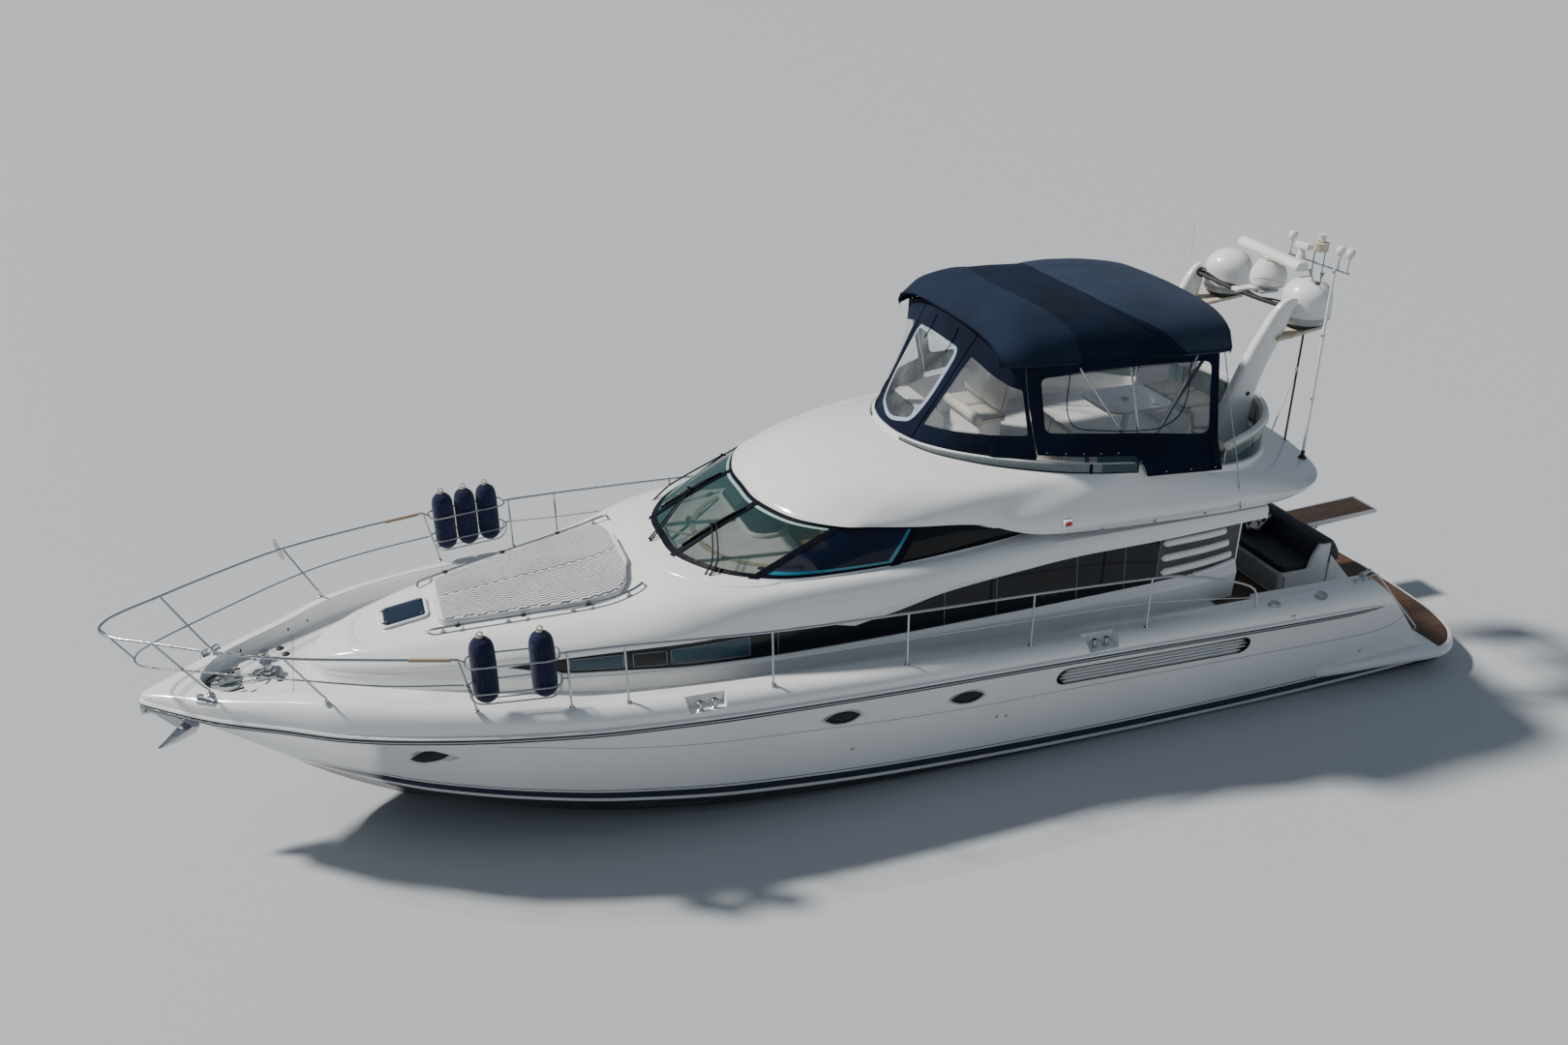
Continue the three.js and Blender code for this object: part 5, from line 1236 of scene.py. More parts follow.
for name, side in (("port", 1), ("starboard", -1)):
    parts = []
    for u0, u1, finish in [(1.035, 2.95, clear_glass), (3.05, 4.97, navy_glass), (5.03, 6.82, smoke_glass)]:
        parts.append((screen_panel(*sorted((side * u0, side * u1)), 0.03, 0.965, -0.006, 0.004, 28), finish))
    piece(f"windscreen_{name}_panes", parts, replaces=[f"windscreen_{name}"])
    for u0, u1, v0, v1, strip in [
        (3.11, 4.94, 0.035, 0.105, teal_trim),
        (4.88, 4.94, 0.100, 0.955, teal_trim),
        (1.09, 2.87, 0.915, 0.950, pale_edge),
    ]:
        trims.append((screen_panel(*sorted((side * u0, side * u1)), v0, v1, 0.003, 0.0065, 28), strip))
trims.append((screen_panel(-0.91, 0.91, 0.915, 0.950, 0.003, 0.0065, 28), pale_edge))
piece("side_pane_trims", trims)

OVER_DECKS = 3.4


def crown_of(made):
    """The height of a finished surface under plan points, by a ray cast straight down."""
    corners = [vertex.co for vertex in made.data.vertices]
    tree = BVHTree.FromPolygons(corners, [polygon.vertices for polygon in made.data.polygons])

    def height(x, y):
        x, y = np.broadcast_arrays(np.asarray(x, float), np.asarray(y, float))
        hits = [tree.ray_cast((a, b, OVER_DECKS), (0, 0, -1))[0] for a, b in zip(x.ravel(), y.ravel())]
        return np.array([hit[2] if hit else 0.0 for hit in hits]).reshape(x.shape)

    return height


apron_u = np.linspace(-3.5, 3.5, 90)
apron_foot = screen(apron_u, 0.0)
apron_out = facing_out(apron_foot, (0.5, 0, 2.7))
apron_wide = 0.34 * np.cos(apron_u / 3.55 * math.pi / 2) ** 0.6 + 0.02
trunk_z = crown_of(house)
rings = []
for t, lift in [
    (-0.02, -0.02), (-0.02, 0.014), (0.5, 0.016), (0.90, 0.012), (0.97, 0.008), (1.0, 0.0), (1.0, -0.02),
]:
    edge = apron_foot + apron_out * (apron_wide * t)[:, None]
    edge[:, 2] = trunk_z(edge[:, 0], edge[:, 1]) + lift
    rings.append(edge)
piece("screen_apron", [(skin(np.stack(rings, 1)), white)])

# Wipers: three pantograph wipers, each with two parallel arms on a pedestal at the screen's foot and a
# sprung rubber blade lying up the glass.
wiper_black = wandering(
    "wiper_black", (0.006, 0.006, 0.008), 0.5, "Roughness", (25, 3), 0.4, 0.6, Specular_IOR_Level=0.3,
)
wipers = []
for pivot_u, blade_u, v0, v1 in [
    (2.12, 0.93, 0.10, 0.84), (0.06, -1.12, 0.10, 0.86), (-1.95, -3.12, 0.12, 0.86),
]:
    v = np.linspace(v0, v1, 16)
    blade_us = blade_u + 0.10 * (v - v0)
    wipers += [
        tube(screen(blade_us, v, 0.020), 0.010, 6),
        tube(screen(blade_us, v, 0.034 + 0.014 * np.sin(math.pi * (v - v0) / (v1 - v0))), 0.012, 8),
    ]
    middle = 0.5 * (v0 + v1)
    grip = screen(blade_u + 0.05, middle, 0.055)
    for du, dv in ((-0.035, 0.0), (0.035, 0.03)):
        base = screen(pivot_u + du * 1.6, -0.14, 0.045)
        bend = screen(pivot_u * 0.85 + blade_u * 0.15 + du, 0.05 + dv, 0.085)
        end = screen(blade_u + 0.05 + du * 1.1, middle + dv, 0.055)
        wipers.append(tube(through([base, bend, end], 14), np.linspace(0.012, 0.009, 14), 8))
    wipers.append(tube([grip - (0.03, 0, 0.012), grip + (0.03, 0, 0.012)], 0.013, 8))
    at = screen(pivot_u, -0.14, 0.0)
    pedestal = [(0.030, -0.035), (0.030, 0.0), (0.026, 0.030), (0.014, 0.045), (0.0, 0.048)]
    wipers += [
        turned(pedestal, at, (0, 0, 1), 14),
        turned(
            [(0.024, -0.035), (0.024, 0.0), (0.02, 0.025), (0, 0.032)], screen(pivot_u + 0.13, -0.13, 0.0),
            (0, 0, 1), 14,
        ),
    ]
piece("wipers", dressed(wipers, wiper_black))

# Roof: one moulding from the hood over the windscreen to the overhang over the cockpit, with the flybridge's
# deck sunk inside its coaming. Columns: the drip edge, the belly over it and the coaming's foot as x, y, z
# each, then z of the coaming's top.
ROOF = [
    (1.40, 0.0, 3.58, 1.33, 0.0, 3.65, -0.50, 0.0, 4.08, 4.12),
    (1.37, 0.54, 3.575, 1.29, 0.56, 3.645, -0.56, 0.48, 4.07, 4.12),
    (1.12, 1.15, 3.565, 1.02, 1.13, 3.635, -0.76, 0.90, 4.04, 4.11),
    (0.69, 1.53, 3.55, 0.56, 1.48, 3.62, -1.10, 1.23, 4.00, 4.09),
    (0.30, 1.64, 3.525, 0.16, 1.64, 3.60, -1.50, 1.50, 3.96, 4.07),
    (-0.22, 1.74, 3.485, -0.36, 1.77, 3.57, -2.00, 1.76, 3.93, 4.05),
    (-1.00, 1.84, 3.42, -1.10, 1.89, 3.52, -2.50, 1.92, 3.90, 4.02),
    (-1.80, 2.04, 3.25, -1.85, 2.09, 3.42, -3.00, 2.01, 3.87, 3.99),
    (-3.40, 2.14, 3.20, -3.40, 2.20, 3.37, -3.70, 2.04, 3.77, 3.86),
    (-4.90, 2.17, 3.20, -4.90, 2.24, 3.37, -4.35, 2.00, 3.67, 3.76),
    (-5.45, 2.14, 3.29, -5.48, 2.22, 3.39, -4.95, 1.78, 3.56, 3.70),
    (-5.80, 1.80, 3.35, -5.85, 1.88, 3.44, -5.40, 1.38, 3.52, 3.68),
    (-6.02, 1.00, 3.38, -6.08, 1.04, 3.47, -5.72, 0.76, 3.51, 3.68),
    (-6.08, 0.0, 3.39, -6.15, 0.0, 3.48, -5.80, 0.0, 3.51, 3.68),
]
FLY_DECK = 3.42


def round_rows(table, count, marks=None):
    """Rows read along a table that starts and ends on the centreline, by a free cubic through its mirror
    image at both ends, so that the boat's two sides meet level."""
    table = np.asarray(table, float)
    flip = np.where(np.arange(table.shape[1]) % 3 == 1, -1.0, 1.0)
    whole = np.vstack([table[1] * flip, table, table[-2] * flip])
    key = np.column_stack([np.arange(-1, len(table) + 1), whole])
    at = np.linspace(0, len(table) - 1, count) if marks is None else marks
    return between(key, at, True)


def whole_loop(port):
    """A loop round the boat from its port half, which runs from forward to aft centreline."""
    return np.concatenate([port, port[-2:0:-1] * (1, -1, 1)])


def drawn_in(port, amount, lift=0.0):
    """A port half loop moved inwards in plan by an amount and up by a lift, kept on the port side."""
    loop = whole_loop(port)
    moved = loop - plan_normals(loop, looped=True) * amount
    moved[:, 2] += lift
    return moved


roof_rows = round_rows(ROOF, 150)
drip, belly, coaming = roof_rows[:, :3], roof_rows[:, 3:6], roof_rows[:, 6:9]
top = np.column_stack([coaming[:, :2], roof_rows[:, 9]])
lean = np.linspace(0, 1, 9)[1:-1]
swell_run = coaming - belly
level = np.ones(len(belly))
swell_out = unit(np.column_stack([level * 0.35, np.sign(belly[:, 1]) * 0.25, level]))
swell_size = between(
    [(-6.2, 0.0), (-5.0, 0.03), (-3.0, 0.035), (-1.5, 0.06), (0.0, 0.10), (1.35, 0.13)], belly[:, 0],
)
brow = drip * 0.45 + belly * 0.55
brow_out = unit(belly - coaming) * (0.5, 0.5, 0) * 0.06
ceiling = np.column_stack([drip[:, :2] * 0.55 + coaming[:, :2] * 0.45, drip[:, 0] * 0 + FLY_DECK - 0.10])
roof_loops = [
    whole_loop(ceiling), drawn_in(drip, 0.06, 0.012), drawn_in(drip, 0.012, -0.002),
    whole_loop(drip + (0, 0, 0.004)), whole_loop(brow + brow_out), whole_loop(belly),
]
roof_loops += [
    whole_loop(belly + swell_run * t + swell_out * swell_size * math.sin(math.pi * t**0.85)) for t in lean
]
roof_loops += [
    whole_loop(coaming), whole_loop(top - (0, 0, 0.03)), drawn_in(top, 0.010, -0.009),
    drawn_in(top, 0.03, 0.0), drawn_in(top, 0.075, 0.0), drawn_in(top, 0.092, -0.012),
    drawn_in(top, 0.10, -0.03),
]
foot_loop = drawn_in(top, 0.108)
foot_loop[:, 2] = FLY_DECK + 0.03
deck_loop = drawn_in(top, 0.14)
deck_loop[:, 2] = FLY_DECK
roof_loops += [foot_loop, deck_loop]
roof = piece("roof_moulding", [(skin(roof_loops), white)], replaces=["roof"], sharp=40)
roof_normals, roof_middles = faces_of(roof)
repaint(roof, (roof_normals[:, 2] > 0.9) & (np.abs(roof_middles[:, 2] - FLY_DECK) < 0.01), deck_paint)

# Flybridge: tinted venturi glass along the coaming, a padded vinyl rail round the after end over a low
# tinted screen, a moulded console, a helm bench for two, a lounge seat, a C-shaped settee and a table, all
# on the non-skid deck. The seats are foam pads in cream vinyl with piped edges.
def vinyl(name, color, rough=0.42):
    """Upholstery vinyl: a leather grain of small cells, soft creases, and scuffs that lift the gloss."""
    made = Finish(name, color, rough)
    soil = made.noise(2.2, 5)
    cells = made.node("TexVoronoi", None, {"Vector": made.place(), "Scale": 220.0})
    made.set(Base_Color=made.mix(made.ramp(soil, 0.3, 0.75), tinted(color, 1.05), tinted(color, 0.86)))
    made.set(Roughness=made.ramp(soil, 0.3, 0.7, rough * 0.85, rough * 1.25))
    made.bump(cells * 0.5 + made.noise(14, 4) * 2.0, 0.25, 0.002)
    return made


cream = vinyl("cream_vinyl", (0.62, 0.585, 0.50))
rail_vinyl = vinyl("rail_vinyl", (0.70, 0.70, 0.69))
piping = wandering("piping", (0.10, 0.10, 0.11), 0.5, "Roughness", (40,), 0.4, 0.6)
teal_glass = wandering(
    "teal_glass", (0.010, 0.055, 0.060), 0.05, "Alpha", (1.1, 2), 0.72, 0.84, Specular_IOR_Level=0.5,
)

FLY_RAIL = [
    (-4.34, 1.955, 4.0), (-4.90, 1.74, 4.05), (-5.36, 1.34, 4.06), (-5.68, 0.74, 4.06), (-5.76, 0.0, 4.06),
]
fly_key = np.array(FLY_RAIL + [(x, -y, z) for x, y, z in FLY_RAIL[-2::-1]])
fly_loop = between(np.column_stack([np.arange(9), fly_key]), np.linspace(0, 8, 119), True)
fly_out = facing_out(fly_loop, (-4.0, 0, 0))
bend = full_turn(20)
pad_section = [
    (0.052 * math.copysign(abs(math.cos(a)) ** 0.8, math.cos(a)), 0.056 * math.sin(a)) for a in bend
]
piece(
    "fly_rail_pad", [(carried(fly_loop, pad_section, fly_out), rail_vinyl)],
    replaces=["fly_rail"],
)
welt = [
    tube(fly_loop - fly_out * 0.036 + (0, 0, 0.041), 0.006, 6),
    tube(fly_loop + fly_out * 0.052 + (0, 0, -0.012), 0.005, 6),
]
piece("fly_rail_piping", dressed(welt, piping))
coaming_z = between(
    [(-5.9, 3.675), (-5.4, 3.68), (-4.95, 3.695), (-4.34, 3.755), (-3.7, 3.855)], fly_loop[:, 0],
)[:, 0]
low_line, high_line = fly_loop.copy(), fly_loop - (0, 0, 0.052)
low_line[:, 2] = coaming_z - 0.012
screen_rings = [
    low_line + fly_out * 0.004, high_line + fly_out * 0.004, high_line - fly_out * 0.004,
    low_line - fly_out * 0.004,
]
piece("fly_rail_screen", [(skin(np.stack(screen_rings, 1)), teal_glass)])
posts = []
for k in (0, 12, 26, 42, 59, 76, 92, 106, 118):
    inside = fly_out[k] * 0.016
    posts.append(tube([low_line[k] - inside, high_line[k] - inside + (0, 0, 0.02)], 0.012, 10))
piece("fly_rail_posts", dressed(posts, steel))

venturi_rows = round_rows(ROOF, 90, np.linspace(0.9, 7.03, 90))
foot_line = venturi_rows[:, 6:9] + (0, 0, 0.006)
head_line = np.column_stack([venturi_rows[:, 6:8], venturi_rows[:, 9] - 0.004])
glass_out = facing_out(foot_line, (-3.5, 0, 0))
bars = [
    tube([foot_line[k] + glass_out[k] * 0.010, head_line[k] + glass_out[k] * 0.012], size, 8)
    for k, size in ((72, 0.018), (89, 0.008))
]
pale_glass = wandering(
    "pale_glass", (0.09, 0.15, 0.16), 0.05, "Alpha", (1.1, 2), 0.30, 0.46, Specular_IOR_Level=0.5,
)
lines = [
    foot_line + glass_out * 0.010, head_line + glass_out * 0.012, head_line + glass_out * 0.002,
    foot_line + glass_out * 0.001,
]
glass_loops = np.stack(lines, 1)
edge_beads = [tube(foot_line + glass_out * 0.010, 0.006, 6)]
venturi = twice([skin(glass_loops[:77])], pale_glass)
venturi += twice([skin(glass_loops[76:])], teal_glass)
venturi += twice(bars + edge_beads, seal)
piece("venturi_glass", venturi)


def cushion(outline, low, high, edge=0.05, crown=0.03, pull=0.014):
    """A pad over a plan outline: flat below, its sides drawn in between the corners by pull times one less
    the square of the nearer axis, a quarter round at the top edge, and a crown of height crown, one less
    the square of the way out."""
    outline = np.asarray(outline, float)
    middle = (outline.max(0) + outline.min(0)) / 2
    half = (outline.max(0) - outline.min(0)) / 2
    way = np.abs((outline - middle) / half)
    nearer = way.min(1)[:, None]
    outline = outline - pull * (1 - nearer**2) * np.sign(outline - middle) * (way > 0.9)
    bend = np.linspace(0, math.pi / 2, 6)
    rings = [(edge * 0.5 * (1 - math.sin(a)), low + edge * 0.5 * (1 - math.cos(a))) for a in bend]
    rings += [(edge * (1 - math.cos(a)), high - edge * (1 - math.sin(a))) for a in bend]
    shape = [at_height(inset(outline, d), z) for d, z in rings]
    rim = shape[-1][:, :2] - middle
    for s in (0.86, 0.66, 0.42, 0.18, 0.03):
        shape.append(at_height(middle + rim * s, high + crown * (1 - s**2)))
    return skin(shape)


def pad_line(outline, z, amount, radius=0.006):
    """The piped seam round a pad: a cord on its outline, drawn in by an amount, at a height."""
    return tube(at_height(inset(outline, amount), z), radius, 6, looped=True)


def set_at(shape, origin, right, ahead):
    """A shape in its own axes put at a place: its x along right, its y along ahead, its z square to both."""
    right, ahead = unit(np.asarray(right, float)), unit(np.asarray(ahead, float))
    points, faces = shape
    return points @ np.array([right, ahead, np.cross(right, ahead)]) + origin, faces


def upholster(name, pads, replaces, finish):
    """One padded piece from several pads, each an outline, its heights and an optional place."""
    shapes, seams = [], []
    for outline, low, high, edge, crown, *place in pads:
        made = [
            cushion(outline, low, high, edge, crown),
            pad_line(outline, high - edge * 0.75, edge * 0.02 - 0.002),
        ]
        if place:
            made = [set_at(shape, *place) for shape in made]
        shapes.append((made[0], finish))
        seams.append((made[1], piping))
    piece(name, shapes, replaces=replaces)
    piece(name + "_piping", seams)


CONSOLE = [(-0.95, 3.42), (-0.95, 3.99), (-1.08, 4.20), (-1.33, 4.18), (-1.47, 4.0), (-1.48, 3.42)]
console = [(side_prism(CONSOLE, -1.04, -0.2), white)]
dial_black = wandering(
    "dial_black", (0.010, 0.011, 0.013), 0.3, "Roughness", (18,), 0.2, 0.4, Coat_Weight=0.5,
)
slope = unit(np.array([-1.468, 0, 4.012]) - (-1.345, 0, 4.172))
face_out = np.array([slope[2], 0, -slope[0]]) * -1
for y in (-0.92, -0.78, -0.46, -0.32):
    at = np.array([-1.405, y, 4.094])
    ring = [(0.050, 0), (0.050, 0.008), (0.043, 0.012), (0.041, 0.006), (0.0, 0.006)]
    console += [
        (turned(ring, at, face_out, 20), steel),
        (turned([(0.041, 0.004), (0.041, 0.008), (0.0, 0.008)], at, face_out, 20), dial_black),
    ]
hood = [(-0.98, 3.99), (-0.985, 4.16), (-1.06, 4.205), (-1.07, 4.195), (-1.0, 4.15), (-0.99, 3.99)]
console.append((side_prism(hood, -0.99, -0.25), smoke_glass))
piece("fly_console_moulding", console, replaces=["fly_console"])

seat_pads = []
for y in (-0.885, -0.355):
    seat_pads.append((rounded(-2.36, -1.97, y - 0.255, y + 0.255, 0.06), 3.86, 3.965, 0.045, 0.012))
    back = rounded(-0.285, 0.265, -0.25, 0.25, 0.10)
    seat_pads.append((back, 0.0, 0.11, 0.05, 0.025, (-2.375, y, 4.23), (0, 1, 0), (-0.16, 0, 1.0)))
upholster("fly_chair_pads", seat_pads, ["fly_chairs"], cream)
plinth = slab(rounded(-2.40, -1.92, -1.14, -0.10, 0.08), 3.415, 3.512, 0.03, 0)
box = slab(rounded(-2.33, -1.99, -1.09, -0.15, 0.06), 3.505, 3.865, 0.025, 0)
barrel = [
    (0.0, 0.0), (0.055, 0.006), (0.072, 0.024), (0.076, 0.05), (0.076, 0.98), (0.072, 1.006), (0.055, 1.024),
    (0.0, 1.03),
]
roll = turned(barrel, (-1.978, -1.135, 3.905), (0, 1, 0), 26)
seat_welts = [
    tube(
        [(-1.978 + 0.0765 * math.cos(a), y, 3.905 + 0.0765 * math.sin(a)) for a in np.linspace(0, 6.1, 24)],
        0.004, 6,
    )
    for y in (-1.085, -0.155)
]
seat_parts = [(plinth, white), (box, white), (roll, cream)] + dressed(seat_welts, piping)
piece("fly_chair_plinth", seat_parts)

lounge_base = slab(rounded(-2.70, -1.44, 0.25, 1.13, 0.07), 3.415, 3.63, 0.02, 0)
lounge_pads = []
for y0, y1 in [(0.245, 0.685), (0.695, 1.135)]:
    lounge_pads.append((rounded(-2.52, -1.42, y0, y1, 0.06), 3.625, 3.785, 0.05, 0.014))
    back = rounded(-0.215, 0.215, -0.20, 0.20, 0.09)
    place = (-2.60, (y0 + y1) / 2, 3.945), (0, 1, 0), (-0.22, 0, 1.0)
    lounge_pads.append((back, -0.02, 0.10, 0.05, 0.02, *place))
upholster("fly_lounge_pads", lounge_pads, ["fly_lounge"], cream)
piece("fly_lounge_base", [(lounge_base, white)])

SETTEE = [
    (-3.31, 1.74), (-4.44, 1.74), (-4.73, 1.59), (-4.73, 0.91), (-5.44, 0.91), (-5.59, 0.6), (-5.61, 0.0),
    (-5.59, -0.6), (-5.44, -0.89), (-4.96, -0.89), (-4.96, 0.35), (-4.56, 0.85), (-3.31, 1.08),
]


def dense(outline, gap=0.05):
    """A closed outline with points added along its sides, and its corners cut a little by a running mean."""
    outline = np.asarray(outline, float)
    after = np.roll(outline, -1, 0)
    rows = [
        a + (b - a) * np.linspace(0, 1, max(2, int(np.linalg.norm(b - a) / gap)), endpoint=False)[:, None]
        for a, b in zip(outline, after)
    ]
    points = np.vstack(rows)
    for _ in range(3):
        points = (np.roll(points, 1, 0) + 2 * points + np.roll(points, -1, 0)) / 4
    return points


settee_parts = [
    [(-3.33, 1.72), (-3.88, 1.72), (-3.88, 0.99), (-3.33, 1.10)],
    [(-3.90, 1.72), (-4.43, 1.72), (-4.50, 0.89), (-3.90, 0.98)],
    [(-4.45, 1.72), (-4.71, 1.58), (-4.71, 0.90), (-4.56, 0.88)],
    [(-4.62, 0.86), (-5.43, 0.89), (-5.58, 0.59), (-5.59, 0.20), (-4.98, 0.20), (-4.98, 0.36)],
    [(-4.98, 0.18), (-5.59, 0.18), (-5.59, -0.34), (-4.98, -0.34)],
    [(-4.98, -0.36), (-5.58, -0.36), (-5.57, -0.6), (-5.43, -0.87), (-4.98, -0.87)],
]
settee_pads = [(dense(part), 3.70, 3.818, 0.04, 0.008) for part in settee_parts]
upholster("fly_settee_pads", settee_pads, ["fly_settee"], cream)
piece("fly_settee_base", [(slab(dense(SETTEE), 3.415, 3.705, 0.015, 0), white)])
table_edge = tube(at_height(rounded(-4.5, -3.5, -0.25, 0.65, 0.2), 4.058), 0.012, 6, looped=True)
CUP_RING = [
    (0.0, 4.112), (0.036, 4.112), (0.046, 4.114), (0.048, 4.117), (0.044, 4.118), (0.034, 4.1155),
    (0.0, 4.1152),
]
cups = [
    turned(CUP_RING, (x, y, 0), steps=20)
    for x, y in ((-4.3, -0.05), (-4.3, 0.45), (-3.7, 0.45), (-3.7, -0.05))
]
piece("fly_table_trim", [(table_edge, cream)] + dressed(cups, steel))

# Canopy: acrylic canvas stretched over three hoops, a puffed hood forward, a taut darker middle and a puffed
# after part, with a bound edge. The frame's steel tubes stay as they are, and the after legs are sleeved.
CANOPY = [
    (-1.33, 1.48, 5.29, 5.54),
    (-1.68, 1.64, 5.29, 5.75),
    (-2.20, 1.67, 5.27, 5.83),
    (-3.40, 1.66, 5.21, 5.77),
    (-4.30, 1.62, 5.15, 5.69),
    (-4.52, 1.58, 5.14, 5.60),
]
CANOPY_ARC = [(0, 1), (0.35, 0.97), (0.66, 0.86), (0.86, 0.64), (0.97, 0.32), (1, 0)]


def canvas(name, color, end_tone=None):
    """Acrylic canvas: a plain weave of two crossed waves, sun-faded clouds, and long slack creases; given
    end_tone, the panel behind the after seam takes that lighter colour and the one before the forward seam
    part of it.
    """
    made = Finish(name, color, 0.9, Specular_IOR_Level=0.12, Sheen_Weight=0.03, Sheen_Roughness=0.5)
    x, y, z = made.axes()
    threads = made.reckon("SINE", x * 2600.0 + z * 900.0)
    weft = made.reckon("SINE", y * 2600.0 + z * 2400.0)
    cloud = made.noise(1.4, 5)
    crease = made.noise(2.6, 4, (0.5, 1.6, 1.2), 0.55)
    shade = made.mix(made.ramp(cloud, 0.3, 0.75), tinted(color, 0.8), tinted(color, 1.5))
    if end_tone:
        fore = (x + y * y * 0.121 + 2.00) > 0
        steep = made.reckon("POWER", y * y * 0.354, 4.0)
        aft = (x + y * y * 0.1175 + steep * 0.6 + 2.84) < 0
        pale = made.mix(made.ramp(cloud, 0.25, 0.75), tinted(end_tone, 0.85), tinted(end_tone, 1.2))
        shade = made.mix(aft, made.mix(fore, shade, made.mix(0.4, shade, pale)), pale)
    made.set(Base_Color=shade)
    made.bump(threads * 0.02 + weft * 0.02 + crease * 1.0, 0.5, 0.012)
    return made


def hood_surface(x, t, under=0.0):
    """A point of the canopy: half width times t across, the edge's height plus the rise times an arc of t,
    and a puff of sin over the forward and after thirds; under moves it down."""
    half, edge, crown = between(CANOPY, x).T
    arc = between(CANOPY_ARC, np.abs(t))[:, 0]
    fore = np.clip((x + 1.36) / (-0.64 - 0.33 * t**2), 0, 1)
    aft = np.clip((x + 2.84 + 0.32 * t**2) / (-1.68 + 0.32 * t**2), 0, 1)
    puff = 0.035 * np.sin(math.pi * fore) ** 0.7 + 0.060 * np.sin(math.pi * aft**0.8) ** 0.7
    ripple = 0.0025 * np.sin(9 * x + 14 * t) * np.sin(5.3 * x - 7 * t)
    z = edge + (crown - edge) * arc + (puff - 0.012) * (0.25 + 0.75 * arc) + ripple - under
    return np.column_stack([x, (half - 0.012 + (puff - 0.012) * (1 - arc) - under * 0.7) * t, z])


navy_canvas = canvas("navy_canvas", (0.0040, 0.0080, 0.022))
hood_canvas = canvas("hood_canvas", (0.0025, 0.0085, 0.024), (0.022, 0.036, 0.065))
t_row = np.linspace(-1, 1, 61) ** 3 * 0.35 + np.linspace(-1, 1, 61) * 0.65
hood_x = np.concatenate([[-1.335, -1.36], np.linspace(-1.40, -4.45, 72), [-4.49, -4.515]])


def hood_ring(x, fold=0.0):
    """The cloth's outer points from valance to valance, and 5 mm of thickness back inside; the valance
    turns down and in by 4 cm at each side, and fold turns a whole end ring down."""
    over = hood_surface(np.full(61, x), t_row)
    lip = over[[0, -1]] - (0, 0, 0.042)
    lip[:, 1] *= 0.988
    over = np.vstack([lip[:1], over, lip[1:]]) - (0, 0, fold)
    under = over[::-1] - (0, 0, 0.005)
    under[[0, -1], 1] *= 0.997
    return np.vstack([over, under])


hoops = []
for x, foot_x in ((-2.10, -3.12), (-3.00, -3.15), (-4.20, -3.18)):
    arc = through(hood_surface(np.full(41, x), np.linspace(-0.93, 0.93, 41), 0.030), 60)
    leg_foot = np.array((foot_x, 1.855, 3.985))
    knee = leg_foot + (arc[-1] - leg_foot) * 0.86
    hoop = np.vstack([leg_foot, knee, arc[::-1][6:-6], knee * (1, -1, 1), leg_foot * (1, -1, 1)])
    hoops.append(tube(through(hoop, 130), 0.014, 10))
for shape in (
    turned(
        [(0.032, -0.014), (0.040, -0.006), (0.040, 0.006), (0.032, 0.014)], (-3.15, 1.857, 3.985), (0, 1, 0),
        22,
    ),
    turned([(0.042, -0.05), (0.040, -0.035), (0.016, -0.025), (0.014, 0.0)], (-3.15, 1.86, 3.985), steps=22),
):
    hoops += both(shape)
piece("canopy_hoops", dressed(hoops, steel), replaces=["bimini_frame"])
hood_rings = [hood_ring(-1.375, 0.05)] + [hood_ring(x) for x in hood_x] + [hood_ring(-4.505, 0.045)]
hood = piece("canopy_cloth", [(skin(hood_rings), hood_canvas)], replaces=["canopy"], sharp=60)
hem_port = hood_surface(hood_x, np.ones(len(hood_x)), 0.003)
hem_front = hood_surface(np.full(61, -1.338), t_row, 0.003)
hem_aft = hood_surface(np.full(61, -4.513), t_row, 0.003)
hem_loop = np.vstack([hem_front[:-1], hem_port[:-1], hem_aft[::-1][:-1], (hem_port * (1, -1, 1))[::-1][:-1]])
hem = piece("canopy_hem", [(tube(hem_loop, 0.009, 8, looped=True), navy_canvas)])
seam_t = np.linspace(-0.985, 0.985, 60)
seam_lines = [
    hood_surface(-2.00 - 0.33 * seam_t**2, seam_t, -0.002),
    hood_surface(-2.84 - 0.32 * seam_t**2 - 0.6 * seam_t**16, seam_t, -0.002),
]
hood_seams = piece("canopy_seams", [(tube(line, 0.0055, 6), navy_canvas) for line in seam_lines])
sleeve = tube([(-3.28, 1.812, 4.115), (-4.14, 1.53, 5.035)], 0.021, 10)
piece("frame_sleeves", twice([sleeve], navy_canvas))

# Curtains: canvas panels zipped under the canopy and snapped to the coaming, with windows of clear vinyl
# welded in, a frosted weld round the front one, and a deeper skirt aft on each side.
CURTAIN = [
    (-0.56, 0.0, 4.120, -1.40, 0.0, 5.53),
    (-0.62, 0.50, 4.120, -1.42, 0.50, 5.49),
    (-0.83, 0.90, 4.110, -1.46, 1.00, 5.39),
    (-1.18, 1.23, 4.090, -1.50, 1.38, 5.30),
    (-1.64, 1.50, 4.065, -1.64, 1.60, 5.25),
    (-2.30, 1.79, 4.030, -2.40, 1.615, 5.23),
    (-3.04, 1.96, 3.990, -3.10, 1.61, 5.20),
    (-4.21, 1.97, 3.780, -4.34, 1.565, 5.12),
]


